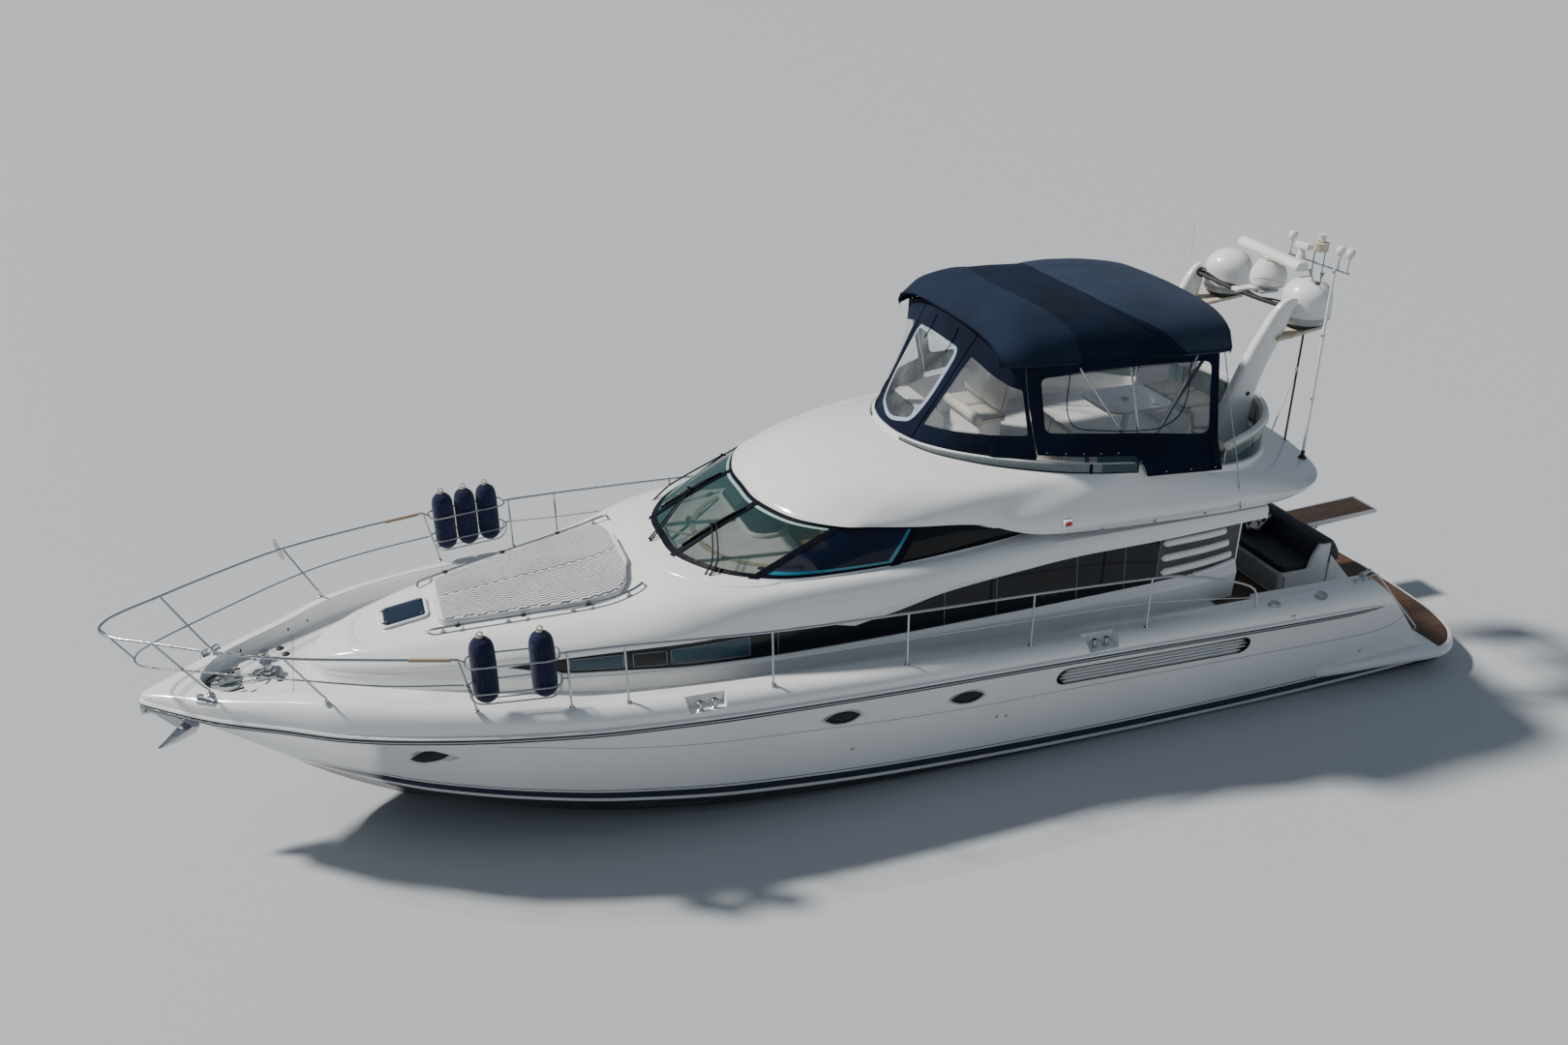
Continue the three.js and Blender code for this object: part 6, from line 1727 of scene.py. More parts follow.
def curtain_at(u, v, out=0.0):
    """A point of the curtains: foot and head read at u by a free cubic, joined straight, with slack folds of
    a few millimetres, moved outwards by out, and eased off the coaming below v 0.12."""
    u, v, out = np.broadcast_arrays(*(np.asarray(value, float) for value in (u, v, out)))
    key = both_ways(CURTAIN)
    flat_u, s = u.ravel(), v.ravel()
    here, ahead = between(key, flat_u - 0.01, True), between(key, flat_u + 0.01, True)
    rows = between(key, flat_u, True)
    point = rows[:, :3] + (rows[:, 3:] - rows[:, :3]) * s[:, None]
    chord = (ahead - here)[:, :3] + ((ahead - here)[:, 3:] - (ahead - here)[:, :3]) * s[:, None]
    normal = unit(np.cross(chord, rows[:, 3:] - rows[:, :3]))
    slack = 0.004 * np.sin(5.1 * flat_u + 3 * s) * np.sin(7 * s + 1.3 * flat_u)
    ease = 0.024 * np.clip((0.12 - s) / 0.12, 0, 1) * (np.abs(flat_u) > 3.4)
    ease = ease + 0.085 * np.clip((0.10 - s) / 0.10, 0, 1) * np.clip((np.abs(flat_u) - 5.94) / 0.08, 0, 1)
    return (point + normal * (out.ravel() + slack + ease)[:, None]).reshape(*u.shape, 3)


clear_vinyl = Finish("clear_vinyl", (0.42, 0.46, 0.50), 0.08, Specular_IOR_Level=0.5)
haze = clear_vinyl.noise(2.4, 5)
clear_vinyl.set(Alpha=clear_vinyl.ramp(haze, 0.35, 0.8, 0.05, 0.20))
clear_vinyl.bump(clear_vinyl.noise(3.5, 3, (1, 1, 0.6)), 0.35, 0.02)
clear_vinyl.material.surface_render_method = "BLENDED"
frosted = wandering("vinyl_weld", (0.46, 0.55, 0.66), 0.3, "Alpha", (5, 4), 0.60, 0.85)
frosted.material.surface_render_method = "BLENDED"
WINDOW_SCALE = np.array((0.75, 1.35))
FRONT_WINDOW = [
    (-0.2, 0.05), (0.2, 0.05), (0.87, 0.12), (1.08, 0.34), (1.17, 0.80), (-1.17, 0.80), (-1.08, 0.34),
    (-0.87, 0.12),
]
QUARTER_WINDOW = [(1.32, 0.14), (3.27, 0.22), (4.16, 0.26), (3.94, 0.76), (1.60, 0.81)]
SIDE_WINDOW = [(4.44, 0.29), (6.88, 0.27), (6.90, 0.93), (4.27, 0.885)]


def front_end(v):
    return 4.34 - 0.43 * v


def window_loop(corners, side=1, r=0.06, steps=7):
    """A window's outline in (u, v): each corner c becomes the quadratic curve c + a (1-t)^2 + b t^2, where
    a and b are its two edges cut to r metres."""
    corners = np.array(corners)[::side] * (side, 1)
    loop, t = [], np.linspace(0, 1, steps)[:, None]
    for before, here, after in zip(np.roll(corners, 1, 0), corners, np.roll(corners, -1, 0)):
        a, b = before - here, after - here
        a = a * min(0.45, r / np.hypot(*(a * WINDOW_SCALE)))
        b = b * min(0.45, r / np.hypot(*(b * WINDOW_SCALE)))
        loop.append(here + a * (1 - t) ** 2 + b * t**2)
    return np.vstack(loop)


def chain_values(loop, s):
    """The loop's lower and upper v at each column s, from its two chains between its ends."""
    loop = np.roll(loop, -int(loop[:, 0].argmin()), 0)
    last = int(loop[:, 0].argmax())
    chains = loop[: last + 1], np.vstack([loop[last:], loop[:1]])[::-1]
    found = [np.interp(s, np.maximum.accumulate(chain[:, 0]), chain[:, 1]) for chain in chains]
    return np.minimum(*found), np.maximum(*found)


def curtain(name, start, stop, windows, foot, replaces):
    """A curtain between the lines u = start(v) and stop(v): its columns share out that span, each running
    from the foot over the window's rows to v 1, outside and back inside; the faces that lie within a window
    are clear vinyl."""
    loops = []
    for loop in windows:
        share = (loop[:, 0] - start(loop[:, 1])) / (stop(loop[:, 1]) - start(loop[:, 1]))
        loops.append(np.column_stack([share, loop[:, 1]]))
    s = np.unique(np.round(np.concatenate([np.linspace(0, 1, 90)] + [loop[:, 0] for loop in loops]), 5))
    s = s[np.concatenate([[True], np.diff(s) > 2e-4])]
    pane = np.full(len(s), -1)
    edge_s, edge_low, edge_high = [], [], []
    for k, loop in enumerate(loops):
        inside = (s >= loop[:, 0].min() - 1e-4) & (s <= loop[:, 0].max() + 1e-4)
        pane[inside] = k
        low, high = chain_values(loop, s[inside])
        edge_s, edge_low, edge_high = edge_s + [s[inside]], edge_low + [low], edge_high + [high]
    order = np.argsort(np.concatenate(edge_s))
    sill = np.interp(s, np.concatenate(edge_s)[order], np.concatenate(edge_low)[order])
    lintel = np.interp(s, np.concatenate(edge_s)[order], np.concatenate(edge_high)[order])
    low = foot(start(0.1) + (stop(0.1) - start(0.1)) * s)
    part = np.linspace(0, 1, 7)
    spans = [
        (low, sill, part[:4] / part[3]), (sill, lintel, part[1:]),
        (lintel, np.ones(len(s)), part[1:4] / part[3]),
    ]
    v = np.concatenate([a[:, None] + (b - a)[:, None] * p for a, b, p in spans], 1)
    rows = v.shape[1]
    v = np.concatenate([v, v[:, ::-1]], 1)
    u = start(v) + (stop(v) - start(v)) * s[:, None]
    out = np.concatenate([np.full(rows, 0.006), np.full(rows, 0.003)])
    cloth = piece(
        name, [(skin(curtain_at(u, v, out[None])), navy_canvas)], replaces=replaces, sharp=60,
    )
    count = np.arange(len(cloth.data.polygons))
    row, column = count % (2 * rows), np.minimum(count // (2 * rows), len(s) - 2)
    glazed = ((row >= 3) & (row < 9)) | ((row >= 2 * rows - 10) & (row < 2 * rows - 4))
    glazed &= (pane[column] >= 0) & (pane[column] == pane[column + 1]) & (count < 2 * rows * (len(s) - 1))
    repaint(cloth, glazed, clear_vinyl)
    return cloth


def welt(loop, radius):
    """The bead round a window's weld."""
    return tube(curtain_at(loop[:, 0], loop[:, 1], 0.009), radius, 6, looped=True)


def stitched(u0, u1, v0, v1, out, radius, count, sides=6):
    """A bead over the canvas, straight from (u0, v0) to (u1, v1)."""
    return tube(curtain_at(np.linspace(u0, u1, count), np.linspace(v0, v1, count), out), radius, sides)


front_loop = window_loop(FRONT_WINDOW, 1, 0.16)
front_panes = [window_loop(QUARTER_WINDOW, -1, 0.05), front_loop, window_loop(QUARTER_WINDOW, 1, 0.05)]
front_cloth = curtain(
    "curtain_front_cloth", lambda v: -front_end(v), front_end, front_panes, lambda u: 0.0 * u - 0.012,
    ["curtain_front"],
)
front_inner = inset(front_loop * (0.5, 1.6), 0.05) / (0.5, 1.6)
weld = [(front_loop, 0.0090), (front_inner, 0.0090), (front_inner, 0.0075), (front_loop, 0.0075)]
frost = skin(np.stack([curtain_at(loop[:, 0], loop[:, 1], out) for loop, out in weld], 1), looped=True)
canvas_trims = [stitched(s * 1.16, s * 1.46, 0.0, 0.99, 0.010, 0.008, 16) for s in (-1, 1)]
canvas_trims.append(stitched(-4.3, 4.3, 0.02, 0.02, 0.009, 0.006, 90))
canvas_trims += [welt(loop, 0.004) for loop in (front_panes[0], front_panes[2])]
for u in (-0.45, 0.72):
    sway = u + 0.05 * np.sin(np.linspace(0, 3, 12))
    canvas_trims.append(tube(curtain_at(sway, np.linspace(0.92, 0.72, 12), 0.016), 0.007, 6))
front_hems = piece("curtain_front_seams", dressed(canvas_trims, navy_canvas) + [(frost, frosted)])


def side_foot(u):
    step = np.clip((np.abs(u) - 5.98) / 0.05, 0, 1)
    return (0.055 + 0.0 * u) * (1 - step) + step * (-0.14 + 0.10 * np.clip(np.abs(u) - 6.0, 0, 1))


for name, side in (("port", 1), ("starboard", -1)):
    side_loop = window_loop(SIDE_WINDOW, side, 0.10)
    lines = [lambda v, side=side: side * (front_end(v) + 0.03), lambda v, side=side: side * 6.99 + 0.0 * v]
    cloth = curtain(f"curtain_{name}_cloth", *lines[::side], [side_loop], side_foot, [f"curtain_{name}"])
    zip_u, zip_v = through(
        [
            (4.75, 0.90), (4.75, 0.55), (4.86, 0.38), (5.10, 0.325), (6.20, 0.31), (6.50, 0.42),
            (6.62, 0.62), (6.66, 0.93),
        ],
        60,
    ).T
    seams = [
        tube(curtain_at(side * zip_u, zip_v, 0.010), 0.007, 6), welt(side_loop, 0.005),
        stitched(side * 4.33, side * 3.91, 0.03, 0.99, 0.010, 0.012, 16),
        stitched(side * 6.98, side * 6.98, -0.03, 0.99, 0.005, 0.012, 14, 8),
    ]
    hem_u = side * np.linspace(4.36, 6.98, 60)
    seams += [
        tube(curtain_at(hem_u, side_foot(hem_u) + 0.012, 0.008), 0.005, 6),
        stitched(side * 4.0, side * 6.98, 0.985, 0.985, 0.012, 0.012, 40, 8),
    ]
    snap = [(0.009, -0.002), (0.009, 0.002), (0.005, 0.004), (0, 0.0045)]
    snaps = []
    for u in np.arange(4.5, 6.95, 0.30):
        at = curtain_at(side * u, side_foot(np.array(side * u)) + 0.03, 0.009)
        snaps.append(turned(snap, at, (0, side, 0.15), 10))
    trims = dressed(seams, navy_canvas) + dressed(snaps, steel)
    trims = piece(f"curtain_{name}_seams", trims)

low_glass = []
for side in (-1, 1):
    for u0, u1, v0, v1, inner, outer, finish in [
        (2.4, 5.16, -0.03, 0.07, -0.012, -0.008, clear_vinyl),
        (5.34, 5.99, -0.03, 0.07, -0.012, -0.008, teal_glass),
        (5.12, 5.20, -0.03, 0.07, -0.014, -0.004, rubber),
    ]:
        u = side * np.linspace(u0, u1, 40)[:, None]
        v = np.array([v0, v1, v1, v0])[None]
        low_glass.append((skin(curtain_at(u, v, np.array([outer, outer, inner, inner])[None])), finish))
piece("low_screen", low_glass)

# Radar mast: a moulded leg each side that curves aft over the overhang, with a bracket and a plate for its
# dome, a strut of cables between the legs in black as painted shade, an egg-shaped pod under the turning
# radar bar, and two domes, each on a grey foot ring. White plastic and gelcoat, stainless and dark brackets.
MAST_LEG = [
    (-4.78, 3.40, -5.41, 3.40, 0.105),
    (-5.01, 4.15, -5.45, 4.15, 0.100),
    (-5.19, 4.60, -5.58, 4.60, 0.096),
    (-5.33, 4.90, -5.70, 4.86, 0.090),
    (-5.46, 5.13, -5.77, 5.03, 0.084),
    (-5.56, 5.30, -5.81, 5.17, 0.076),
    (-5.645, 5.41, -5.84, 5.27, 0.066),
    (-5.73, 5.475, -5.865, 5.34, 0.054),
    (-5.81, 5.49, -5.885, 5.40, 0.036),
    (-5.86, 5.475, -5.89, 5.44, 0.014),
]
RADAR_X = -6.20
POD_FOOT = (RADAR_X, 0, 5.39)
DOME = (-6.18, 0.83, 5.095, 0.327, 0.59)
radome = Finish("dome_white", (0.80, 0.80, 0.79), 0.28, Coat_Weight=0.3)
grime = radome.noise(1.7, 5)
radome.set(Base_Color=radome.mix(radome.ramp(grime, 0.45, 0.8), (0.80, 0.80, 0.79), (0.70, 0.69, 0.66)))
radome.set(Roughness=radome.ramp(radome.noise(6, 4), 0.3, 0.7, 0.22, 0.38))
foot_grey = wandering(
    "foot_grey", (0.36, 0.39, 0.40), 0.35, "Base Color", (9, 5), (0.30, 0.33, 0.34), (0.44, 0.47, 0.48),
)
aged = Finish("aged_plastic", (0.60, 0.55, 0.42), 0.5)
aged.set(Base_Color=aged.mix(aged.ramp(aged.noise(12, 5), 0.3, 0.7), (0.64, 0.60, 0.49), (0.47, 0.40, 0.27)))
black_paint = wandering("black_paint", (0.012, 0.012, 0.014), 0.45, "Roughness", (25, 4), 0.35, 0.6)
leg_rows = through(MAST_LEG, 44)
leg_turn = full_turn(28)
leg_chord = np.sign(np.cos(leg_turn)) * np.abs(np.cos(leg_turn)) ** 0.85
leg_thick = np.sign(np.sin(leg_turn)) * np.abs(np.sin(leg_turn)) ** 0.62
leg_rings = []
for fore_x, fore_z, aft_x, aft_z, thick in leg_rows:
    middle = np.array([fore_x + aft_x, fore_z + aft_z]) / 2
    reach = np.array([fore_x - aft_x, fore_z - aft_z]) / 2
    chord = middle + leg_chord[:, None] * reach
    leg_rings.append(np.column_stack([chord[:, 0], 1.022 - thick + leg_thick * thick, chord[:, 1]]))
wedge = slab(
    [
        (-5.60, 0.80), (-5.66, 0.62), (-5.80, 0.60), (-6.36, 0.66), (-6.36, 1.00), (-5.80, 1.10),
        (-5.62, 1.07),
    ],
    5.000, 5.052, 0.016,
)
wedge = (wedge[0] - (0, 0, 0.16) * (wedge[0][:, :1] + 6.0) * (wedge[0][:, :1] > -6.0), wedge[1])
plate = slab(rounded(-6.40, -5.96, 0.64, 1.02, 0.05, 4), 5.055, 5.091, 0.006)
for name, side in (("port", 1), ("starboard", -1)):
    parts = [(skin(leg_rings), white), (wedge, aged), (plate, black_paint)]
    foot = rounded(-5.46, -4.73, 0.88, 1.045, 0.06, 4)
    parts.append((slab(foot, 3.395, 3.455, 0.02), white))
    if side < 0:
        parts = [(mirror(shape), finish) for shape, finish in parts]
    piece(f"mast_leg_{name}_moulding", parts, replaces=[f"mast_leg_{name}"])
    x, y, base, radius, tall = DOME
    shell = [(radius * 0.93, 0.100), (radius, 0.104), (radius * 0.995, 0.20), (radius * 0.985, 0.30)]
    shell += [
        (radius * 0.985 * math.cos(a), 0.32 + (tall - 0.32) * math.sin(a))
        for a in np.linspace(0.08, 1.571, 22)
    ]
    skirt = [
        (radius * 0.70, 0.0), (radius * 0.86, 0.004), (radius * 0.93, 0.035), (radius * 0.985, 0.060),
        (radius * 0.99, 0.098),
    ]
    rim = [(radius * 0.97, 0.094), (radius * 1.004, 0.096), (radius * 1.004, 0.106), (radius * 0.97, 0.108)]
    at = (x, side * y, base)
    dome = [
        (turned(shell, at, steps=48), radome), (turned(skirt, at, steps=48), foot_grey),
        (turned(rim, at, steps=48), foot_grey),
    ]
    for turn in np.linspace(0, 2 * math.pi, 7)[:-1]:
        screw_at = np.array(at) + (radius * 0.985 * math.cos(turn), radius * 0.985 * math.sin(turn), 0.075)
        screw = [(0.008, -0.004), (0.008, 0.004), (0, 0.007)]
        dome.append((turned(screw, screw_at, (math.cos(turn), math.sin(turn), 0), 8), steel))
    piece(f"dome_{name}_radome", dome, replaces=[f"dome_{name}"])

STRUT = np.array([(-5.74, -0.93, 5.36), (-5.76, -0.3, 5.325), (-5.76, 0.3, 5.325), (-5.74, 0.93, 5.36)])
# The strut's cables: offset in x and z, radius, and how far each winds about its line
CABLES = [(0, 0, 0.030, 0.0), (-0.05, 0.012, 0.014, 0.022), (-0.02, 0.036, 0.010, 0.016)]
mount = []
# The cables' black is painted shade: the strut stands in shadow under the pod.
for dx, dz, radius, twist in CABLES:
    line = through(STRUT + (dx, 0, dz), 48)
    turn = np.linspace(0, 14, 48)[:, None] + twist * 90
    wound = line + np.hstack([np.cos(turn), 0 * turn, np.sin(turn)]) * twist
    mount.append((tube(wound, radius, 10), black_paint))
END_BOOT = [(0.075, -0.012), (0.075, 0.012), (0.045, 0.018)]
mount += [(turned(END_BOOT, (-5.765, s * 0.90, 5.36), (0, -s, 0), 20), rubber) for s in (-1, 1)]
mount += [
    (slab(rounded(-6.32, -5.66, -0.085, 0.085, 0.04, 4), 5.335, 5.378, 0.010), radome),
    (slab(rounded(-6.30, -5.98, -0.16, 0.16, 0.05, 4), 5.296, 5.336, 0.010), foot_grey),
]
POD = [
    (0.140, -0.040),
    (0.200, -0.030),
    (0.222, -0.012),
    (0.218, -0.004),
    (0.232, 0.004),
    (0.246, 0.060),
    (0.244, 0.125),
    (0.228, 0.185),
    (0.200, 0.240),
    (0.178, 0.280),
    (0.168, 0.305),
    (0.150, 0.318),
    (0.0, 0.318),
]
POD_JOINT = [(0.215, -0.012), (0.2235, -0.010), (0.2235, -0.002), (0.215, 0.0)]
mount += [
    (turned(POD, POD_FOOT, steps=44), radome),
    (turned(POD_JOINT, POD_FOOT, steps=44), black_paint),
]
seam = [
    (RADAR_X + 0.2455 * math.cos(a), 0.2455 * math.sin(a), 5.465 + 0.055 * math.sin(a * 2))
    for a in np.linspace(-0.2, 1.9, 20)
]
mount.append((tube(seam, 0.004, 6), foot_grey))
piece("radar_mount", mount, replaces=["mast_bridge"])

bar_section = [
    (-0.072, 5.755),
    (-0.060, 5.746),
    (0.060, 5.746),
    (0.074, 5.757),
    (0.080, 5.790),
    (0.058, 5.832),
    (0.030, 5.850),
    (-0.020, 5.853),
    (-0.048, 5.842),
    (-0.072, 5.805),
]
bar_section = (np.array(bar_section) - (0, 5.80)) * (1.22, 1.18) + (0, 0.008)
bar_rings = []
for y, size in (
    (-0.762, 0.90), (-0.757, 0.96), (-0.745, 1.0), (-0.40, 1.0), (0, 1.0), (0.40, 1.0), (0.745, 1.0),
    (0.757, 0.96), (0.762, 0.90),
):
    ring = bar_section * size
    bar_rings.append(np.column_stack([ring[:, 0], np.full(10, y), 5.80 + ring[:, 1]]))
housing = [(0.085, -0.085), (0.090, -0.060), (0.080, -0.050), (0.115, -0.040), (0.105, -0.028)]
bar = [skin(bar_rings), turned(housing, (0, 0, 5.80), steps=32)]
belly_fin = [
    [(-0.055 * w, y, 5.748), (0.055 * w, y, 5.748), (0.035 * w, y, 5.748 - d), (-0.035 * w, y, 5.748 - d)]
    for y, w, d in ((-0.34, 0.4, 0.002), (-0.14, 1.2, 0.030), (0.14, 1.2, 0.030), (0.34, 0.4, 0.002))
]
bar.append(skin(belly_fin))
bar = [(spun(points, math.radians(-8)) + (RADAR_X, 0, 0), faces) for points, faces in bar]
piece("radar_scanner", dressed(bar, radome), body="radar_bar", replaces=["radar_bar"])

# Aerials: on the port quarter of the overhang a white pole carries a crossbar with three mushroom receivers,
# a flat lamp on a cone, and a round light over a drum on two legs that end in a pair of horns; a dark pole
# and a brace stand from the leg to the dome's plate; a thin whip stands to starboard.
POLE_X, POLE_Y, LIGHT_Y, WHIP_Y, BAR_Z = -5.86, 1.59, 1.29, -1.30, 6.0
POLE_BASE = [(0.055, 0), (0.052, 0.02), (0.026, 0.055), (0.024, 0.12)]
WHIP_BASE = [(0.053, 0), (0.050, 0.02), (0.024, 0.055), (0.022, 0.12)]
CLAMP = [(0.018, -0.03), (0.026, 0.0), (0.018, 0.03)]
DRUM = [(0.088, 0.0), (0.092, 0.012), (0.090, 0.085), (0.096, 0.090), (0.094, 0.104), (0.060, 0.108)]
aerials = [
    (turned(POLE_BASE, (POLE_X, POLE_Y, 3.462), steps=20), black_paint),
    (tube([(POLE_X, POLE_Y, 3.50), (POLE_X, POLE_Y, BAR_Z)], 0.019, 14), radome),
]
aerials += [
    (turned([(0.024, -0.012), (0.024, 0.012)], (POLE_X, POLE_Y, z), steps=14), steel)
    for z in (4.30, 5.15, 5.97)
]
aerials.append((tube([(POLE_X, 0.73, BAR_Z), (POLE_X, 1.84, BAR_Z)], 0.011, 10), steel))
MUSHROOM = [
    (0.012, 0.125), (0.020, 0.150), (0.026, 0.190), (0.050, 0.215), (0.056, 0.245), (0.054, 0.275),
    (0.040, 0.298), (0.0, 0.310),
]
for y in (0.76, 1.64, 1.81):
    aerials += [
        (tube([(POLE_X, y, BAR_Z), (POLE_X, y, BAR_Z + 0.135)], 0.008, 8), steel),
        (turned(MUSHROOM, (POLE_X, y, BAR_Z), steps=20), radome),
    ]
aerials += dressed(
    [
        turned(
            [(0.062, 0.0), (0.058, 0.03), (0.046, 0.06), (0.040, 0.125), (0.06, 0.135)],
            (POLE_X, 0.96, BAR_Z), steps=20,
        ),
        slab(rounded(-5.912, -5.808, 0.87, 1.11, 0.012, 3), BAR_Z + 0.128, BAR_Z + 0.200, 0.008),
    ],
    radome,
)
for y in (1.20, 1.38):
    leg = [
        (POLE_X, y, BAR_Z + 0.18), (POLE_X, y, 5.86), (-5.875, y + (LIGHT_Y - y) * 0.15, 5.79),
        (-5.90, y + (LIGHT_Y - y) * 0.5, 5.745),
    ]
    aerials.append((tube(through(leg, 24), 0.0085, 8), steel))
    horn = [(0.010, -0.03), (0.013, 0.0), (0.020, 0.045), (0.028, 0.060), (0.026, 0.060), (0.012, 0.01)]
    mouth = (-5.855, y + (y - LIGHT_Y) * 0.12, 5.845)
    aerials.append((turned(horn, mouth, (0.1, (y - LIGHT_Y) * 2.0, 1), 16), steel))
aerials += [
    (turned(CLAMP, (-5.90, LIGHT_Y, 5.745), (0, 1, 0), 12), black_paint),
    (turned(DRUM, (POLE_X, LIGHT_Y, BAR_Z + 0.165), steps=24), aged),
]
arch = [
    (POLE_X, LIGHT_Y + 0.062 * math.cos(a), BAR_Z + 0.262 + 0.062 * math.sin(a))
    for a in np.linspace(0, math.pi, 13)
]
aerials.append((tube(arch, 0.007, 8), steel))
CAP = [
    (0.040, 0.0), (0.046, 0.010), (0.044, 0.048), (0.056, 0.052), (0.056, 0.066), (0.030, 0.070),
    (0.0, 0.071),
]
aerials.append((turned(CAP, (POLE_X, LIGHT_Y, BAR_Z + 0.308), steps=24), radome))
piece("aerial_pole", aerials, replaces=["antenna_pole"])
whip = [
    (turned(WHIP_BASE, (POLE_X, WHIP_Y, 3.470), steps=20), black_paint),
    (tube([(POLE_X, WHIP_Y, 3.55), (POLE_X, WHIP_Y, 4.90)], 0.0135, 12), radome),
    (tube([(POLE_X, WHIP_Y, 4.88), (POLE_X, WHIP_Y, 5.93)], 0.009, 10), radome),
    (turned([(0.017, -0.02), (0.017, 0.02)], (POLE_X, WHIP_Y, 4.89), steps=12), steel),
]
piece("whip_aerial", whip, replaces=["whip_starboard"])
LEG_EYE = [(0.030, -0.004), (0.030, 0.010), (0.018, 0.016)]
stays = [
    (tube([(-6.05, 1.00, 3.47), (-6.07, 1.0, 5.02)], 0.014, 10), black_paint),
    (tube([(-5.80, 0.99, 3.58), (-6.06, 1.0, 4.50)], 0.010, 8), radome),
    (turned([(0.02, -0.03), (0.024, 0.0), (0.02, 0.03)], (-6.06, 1.0, 4.50), (0, 0, 1), 12), radome),
    (slab(rounded(-6.09, -6.01, 0.95, 1.05, 0.02, 3), 3.445, 3.474, 0.006), steel),
    (turned(LEG_EYE, (-5.30, 1.019, 4.25), (0, 1, 0), 16), black_paint),
]
piece("mast_stays", stays)

# Rails: a stainless top rail round the bow and along each side, a mid rail forward and a wire aft, on
# stanchions with flanged feet, with a basket of two hoops a side; whippings and a rod holder on the top rail.
RAIL_TOP = [
    (8.91, 0, 3.01), (8.80, 0.23, 3.01), (8.33, 0.56, 3.01), (7.70, 0.98, 3.005), (6.98, 1.38, 3.0),
    (6.0, 1.73, 2.97), (5.23, 1.96, 2.94),
]
RAIL_AFT = [
    (4.09, 2.12, 2.885), (3.46, 2.165, 2.86), (1.79, 2.285, 2.765), (0.11, 2.295, 2.675),
    (-1.55, 2.305, 2.61), (-3.21, 2.31, 2.52),
]
RAIL_END = [
    (-3.60, 2.30, 2.475), (-4.34, 2.26, 2.26), (-4.72, 2.255, 2.11), (-4.86, 2.255, 2.01),
    (-4.915, 2.255, 1.86), (-4.92, 2.255, 1.64),
]
MID_RAIL = [
    (8.64, 0, 2.56), (8.56, 0.20, 2.56), (8.0, 0.59, 2.60), (6.80, 1.33, 2.65), (6.0, 1.70, 2.625),
    (5.20, 1.935, 2.60),
]
WIRE = [
    (4.09, 2.12, 2.56), (3.46, 2.165, 2.50), (1.79, 2.285, 2.41), (0.11, 2.295, 2.32), (-1.55, 2.305, 2.25),
    (-3.21, 2.31, 2.17), (-4.87, 2.258, 1.90),
]
BOW_POSTS = [
    (7.89, 0.46, 2.20, 8.33, 0.56, 3.01), (6.64, 1.29, 2.31, 6.98, 1.38, 3.0),
    (5.10, 1.925, 2.24, 5.23, 1.96, 2.94),
]
SIDE_POSTS = list(zip(RAIL_AFT, (2.18, 2.13, 2.06, 1.97, 1.90, 1.82)))
BASKET_TURN = math.radians(-9)
whipping = Finish("whipping", (0.42, 0.31, 0.20), 0.75)
twine = whipping.node(
    "TexWave", {"bands_direction": "X"}, {"Vector": whipping.place(), "Scale": 60.0, "Distortion": 3.0},
)
whipping.set(Base_Color=whipping.mix(twine, (0.50, 0.39, 0.26), (0.26, 0.17, 0.10)))
whipping.bump(twine, 0.6, 0.003)


def basket_at(points):
    """Basket coordinates to the boat's: turned 9 degrees, with its middle at (4.66, 2.03)."""
    return spun(points, BASKET_TURN) + (4.66, 2.03, 0)


def flange(x, y, z):
    """A round foot plate under a post."""
    profile = [
        (0.034, -0.010), (0.034, 0.004), (0.030, 0.008), (0.019, 0.011), (0.017, 0.034), (0.013, 0.036),
    ]
    return turned(profile, (x, y, z), steps=18)


whole_top = np.vstack([np.array(RAIL_TOP)[::-1], np.array(RAIL_TOP)[1:] * (1, -1, 1)])
whole_mid = np.vstack([np.array(MID_RAIL)[::-1], np.array(MID_RAIL)[1:] * (1, -1, 1)])
rails = [tube(through(whole_top, 150), 0.0155, 12), tube(through(whole_mid, 130), 0.011, 10)]
port_rails = [tube(through(RAIL_AFT + RAIL_END, 120), 0.0155, 12), tube(through(WIRE, 90), 0.006, 6)]
for x0, y0, z0, x1, y1, z1 in BOW_POSTS:
    run = [
        (x0, y0, z0 - 0.03), (x0, y0, z0 + 0.05), (x0 + (x1 - x0) * 0.12, y0 + (y1 - y0) * 0.12, z0 + 0.12),
        (x1, y1, z1),
    ]
    port_rails += [tube(through(run, 20), 0.013, 10), flange(x0, y0, z0)]
for (x, y, z), foot_z in SIDE_POSTS:
    port_rails += [
        tube([(x, y, foot_z - 0.03), (x, y, z)], 0.013, 10), flange(x, y, foot_z),
        turned([(0.0165, -0.022), (0.0185, -0.018), (0.0185, 0.0), (0.013, 0.006)], (x, y, z), steps=14),
    ]
for z, radius in ((2.56, 0.011), (2.89, 0.011)):
    hoop = rounded(-0.5, 0.5, -0.156, 0.156, 0.11, 8)
    port_rails.append(tube(basket_at([(x, y, z) for x, y in hoop]), radius, 8, looped=True))
for y in (-0.06, 0.06):
    cradle = [(-0.5, y, 2.56), (-0.475, y, 2.45), (-0.40, y, 2.385), (-0.34, y, 2.374)]
    cradle += [(-x, y, z) for x, y, z in cradle[::-1]]
    port_rails.append(tube(basket_at(through(cradle, 40, False)), 0.009, 8))
for end, near in (
    ((5.23, 1.96, 2.94), (0.5, 0, 2.89)), ((5.18, 1.945, 2.60), (0.5, 0, 2.56)),
    ((4.09, 2.12, 2.885), (-0.5, 0, 2.89)), ((4.09, 2.12, 2.56), (-0.5, 0, 2.56)),
):
    port_rails.append(tube(np.vstack([end, basket_at([near])]), 0.011, 8))
rails += [tube([(8.64, 0.01, 2.56), (8.91, 0.01, 3.01)], 0.011, 10)]
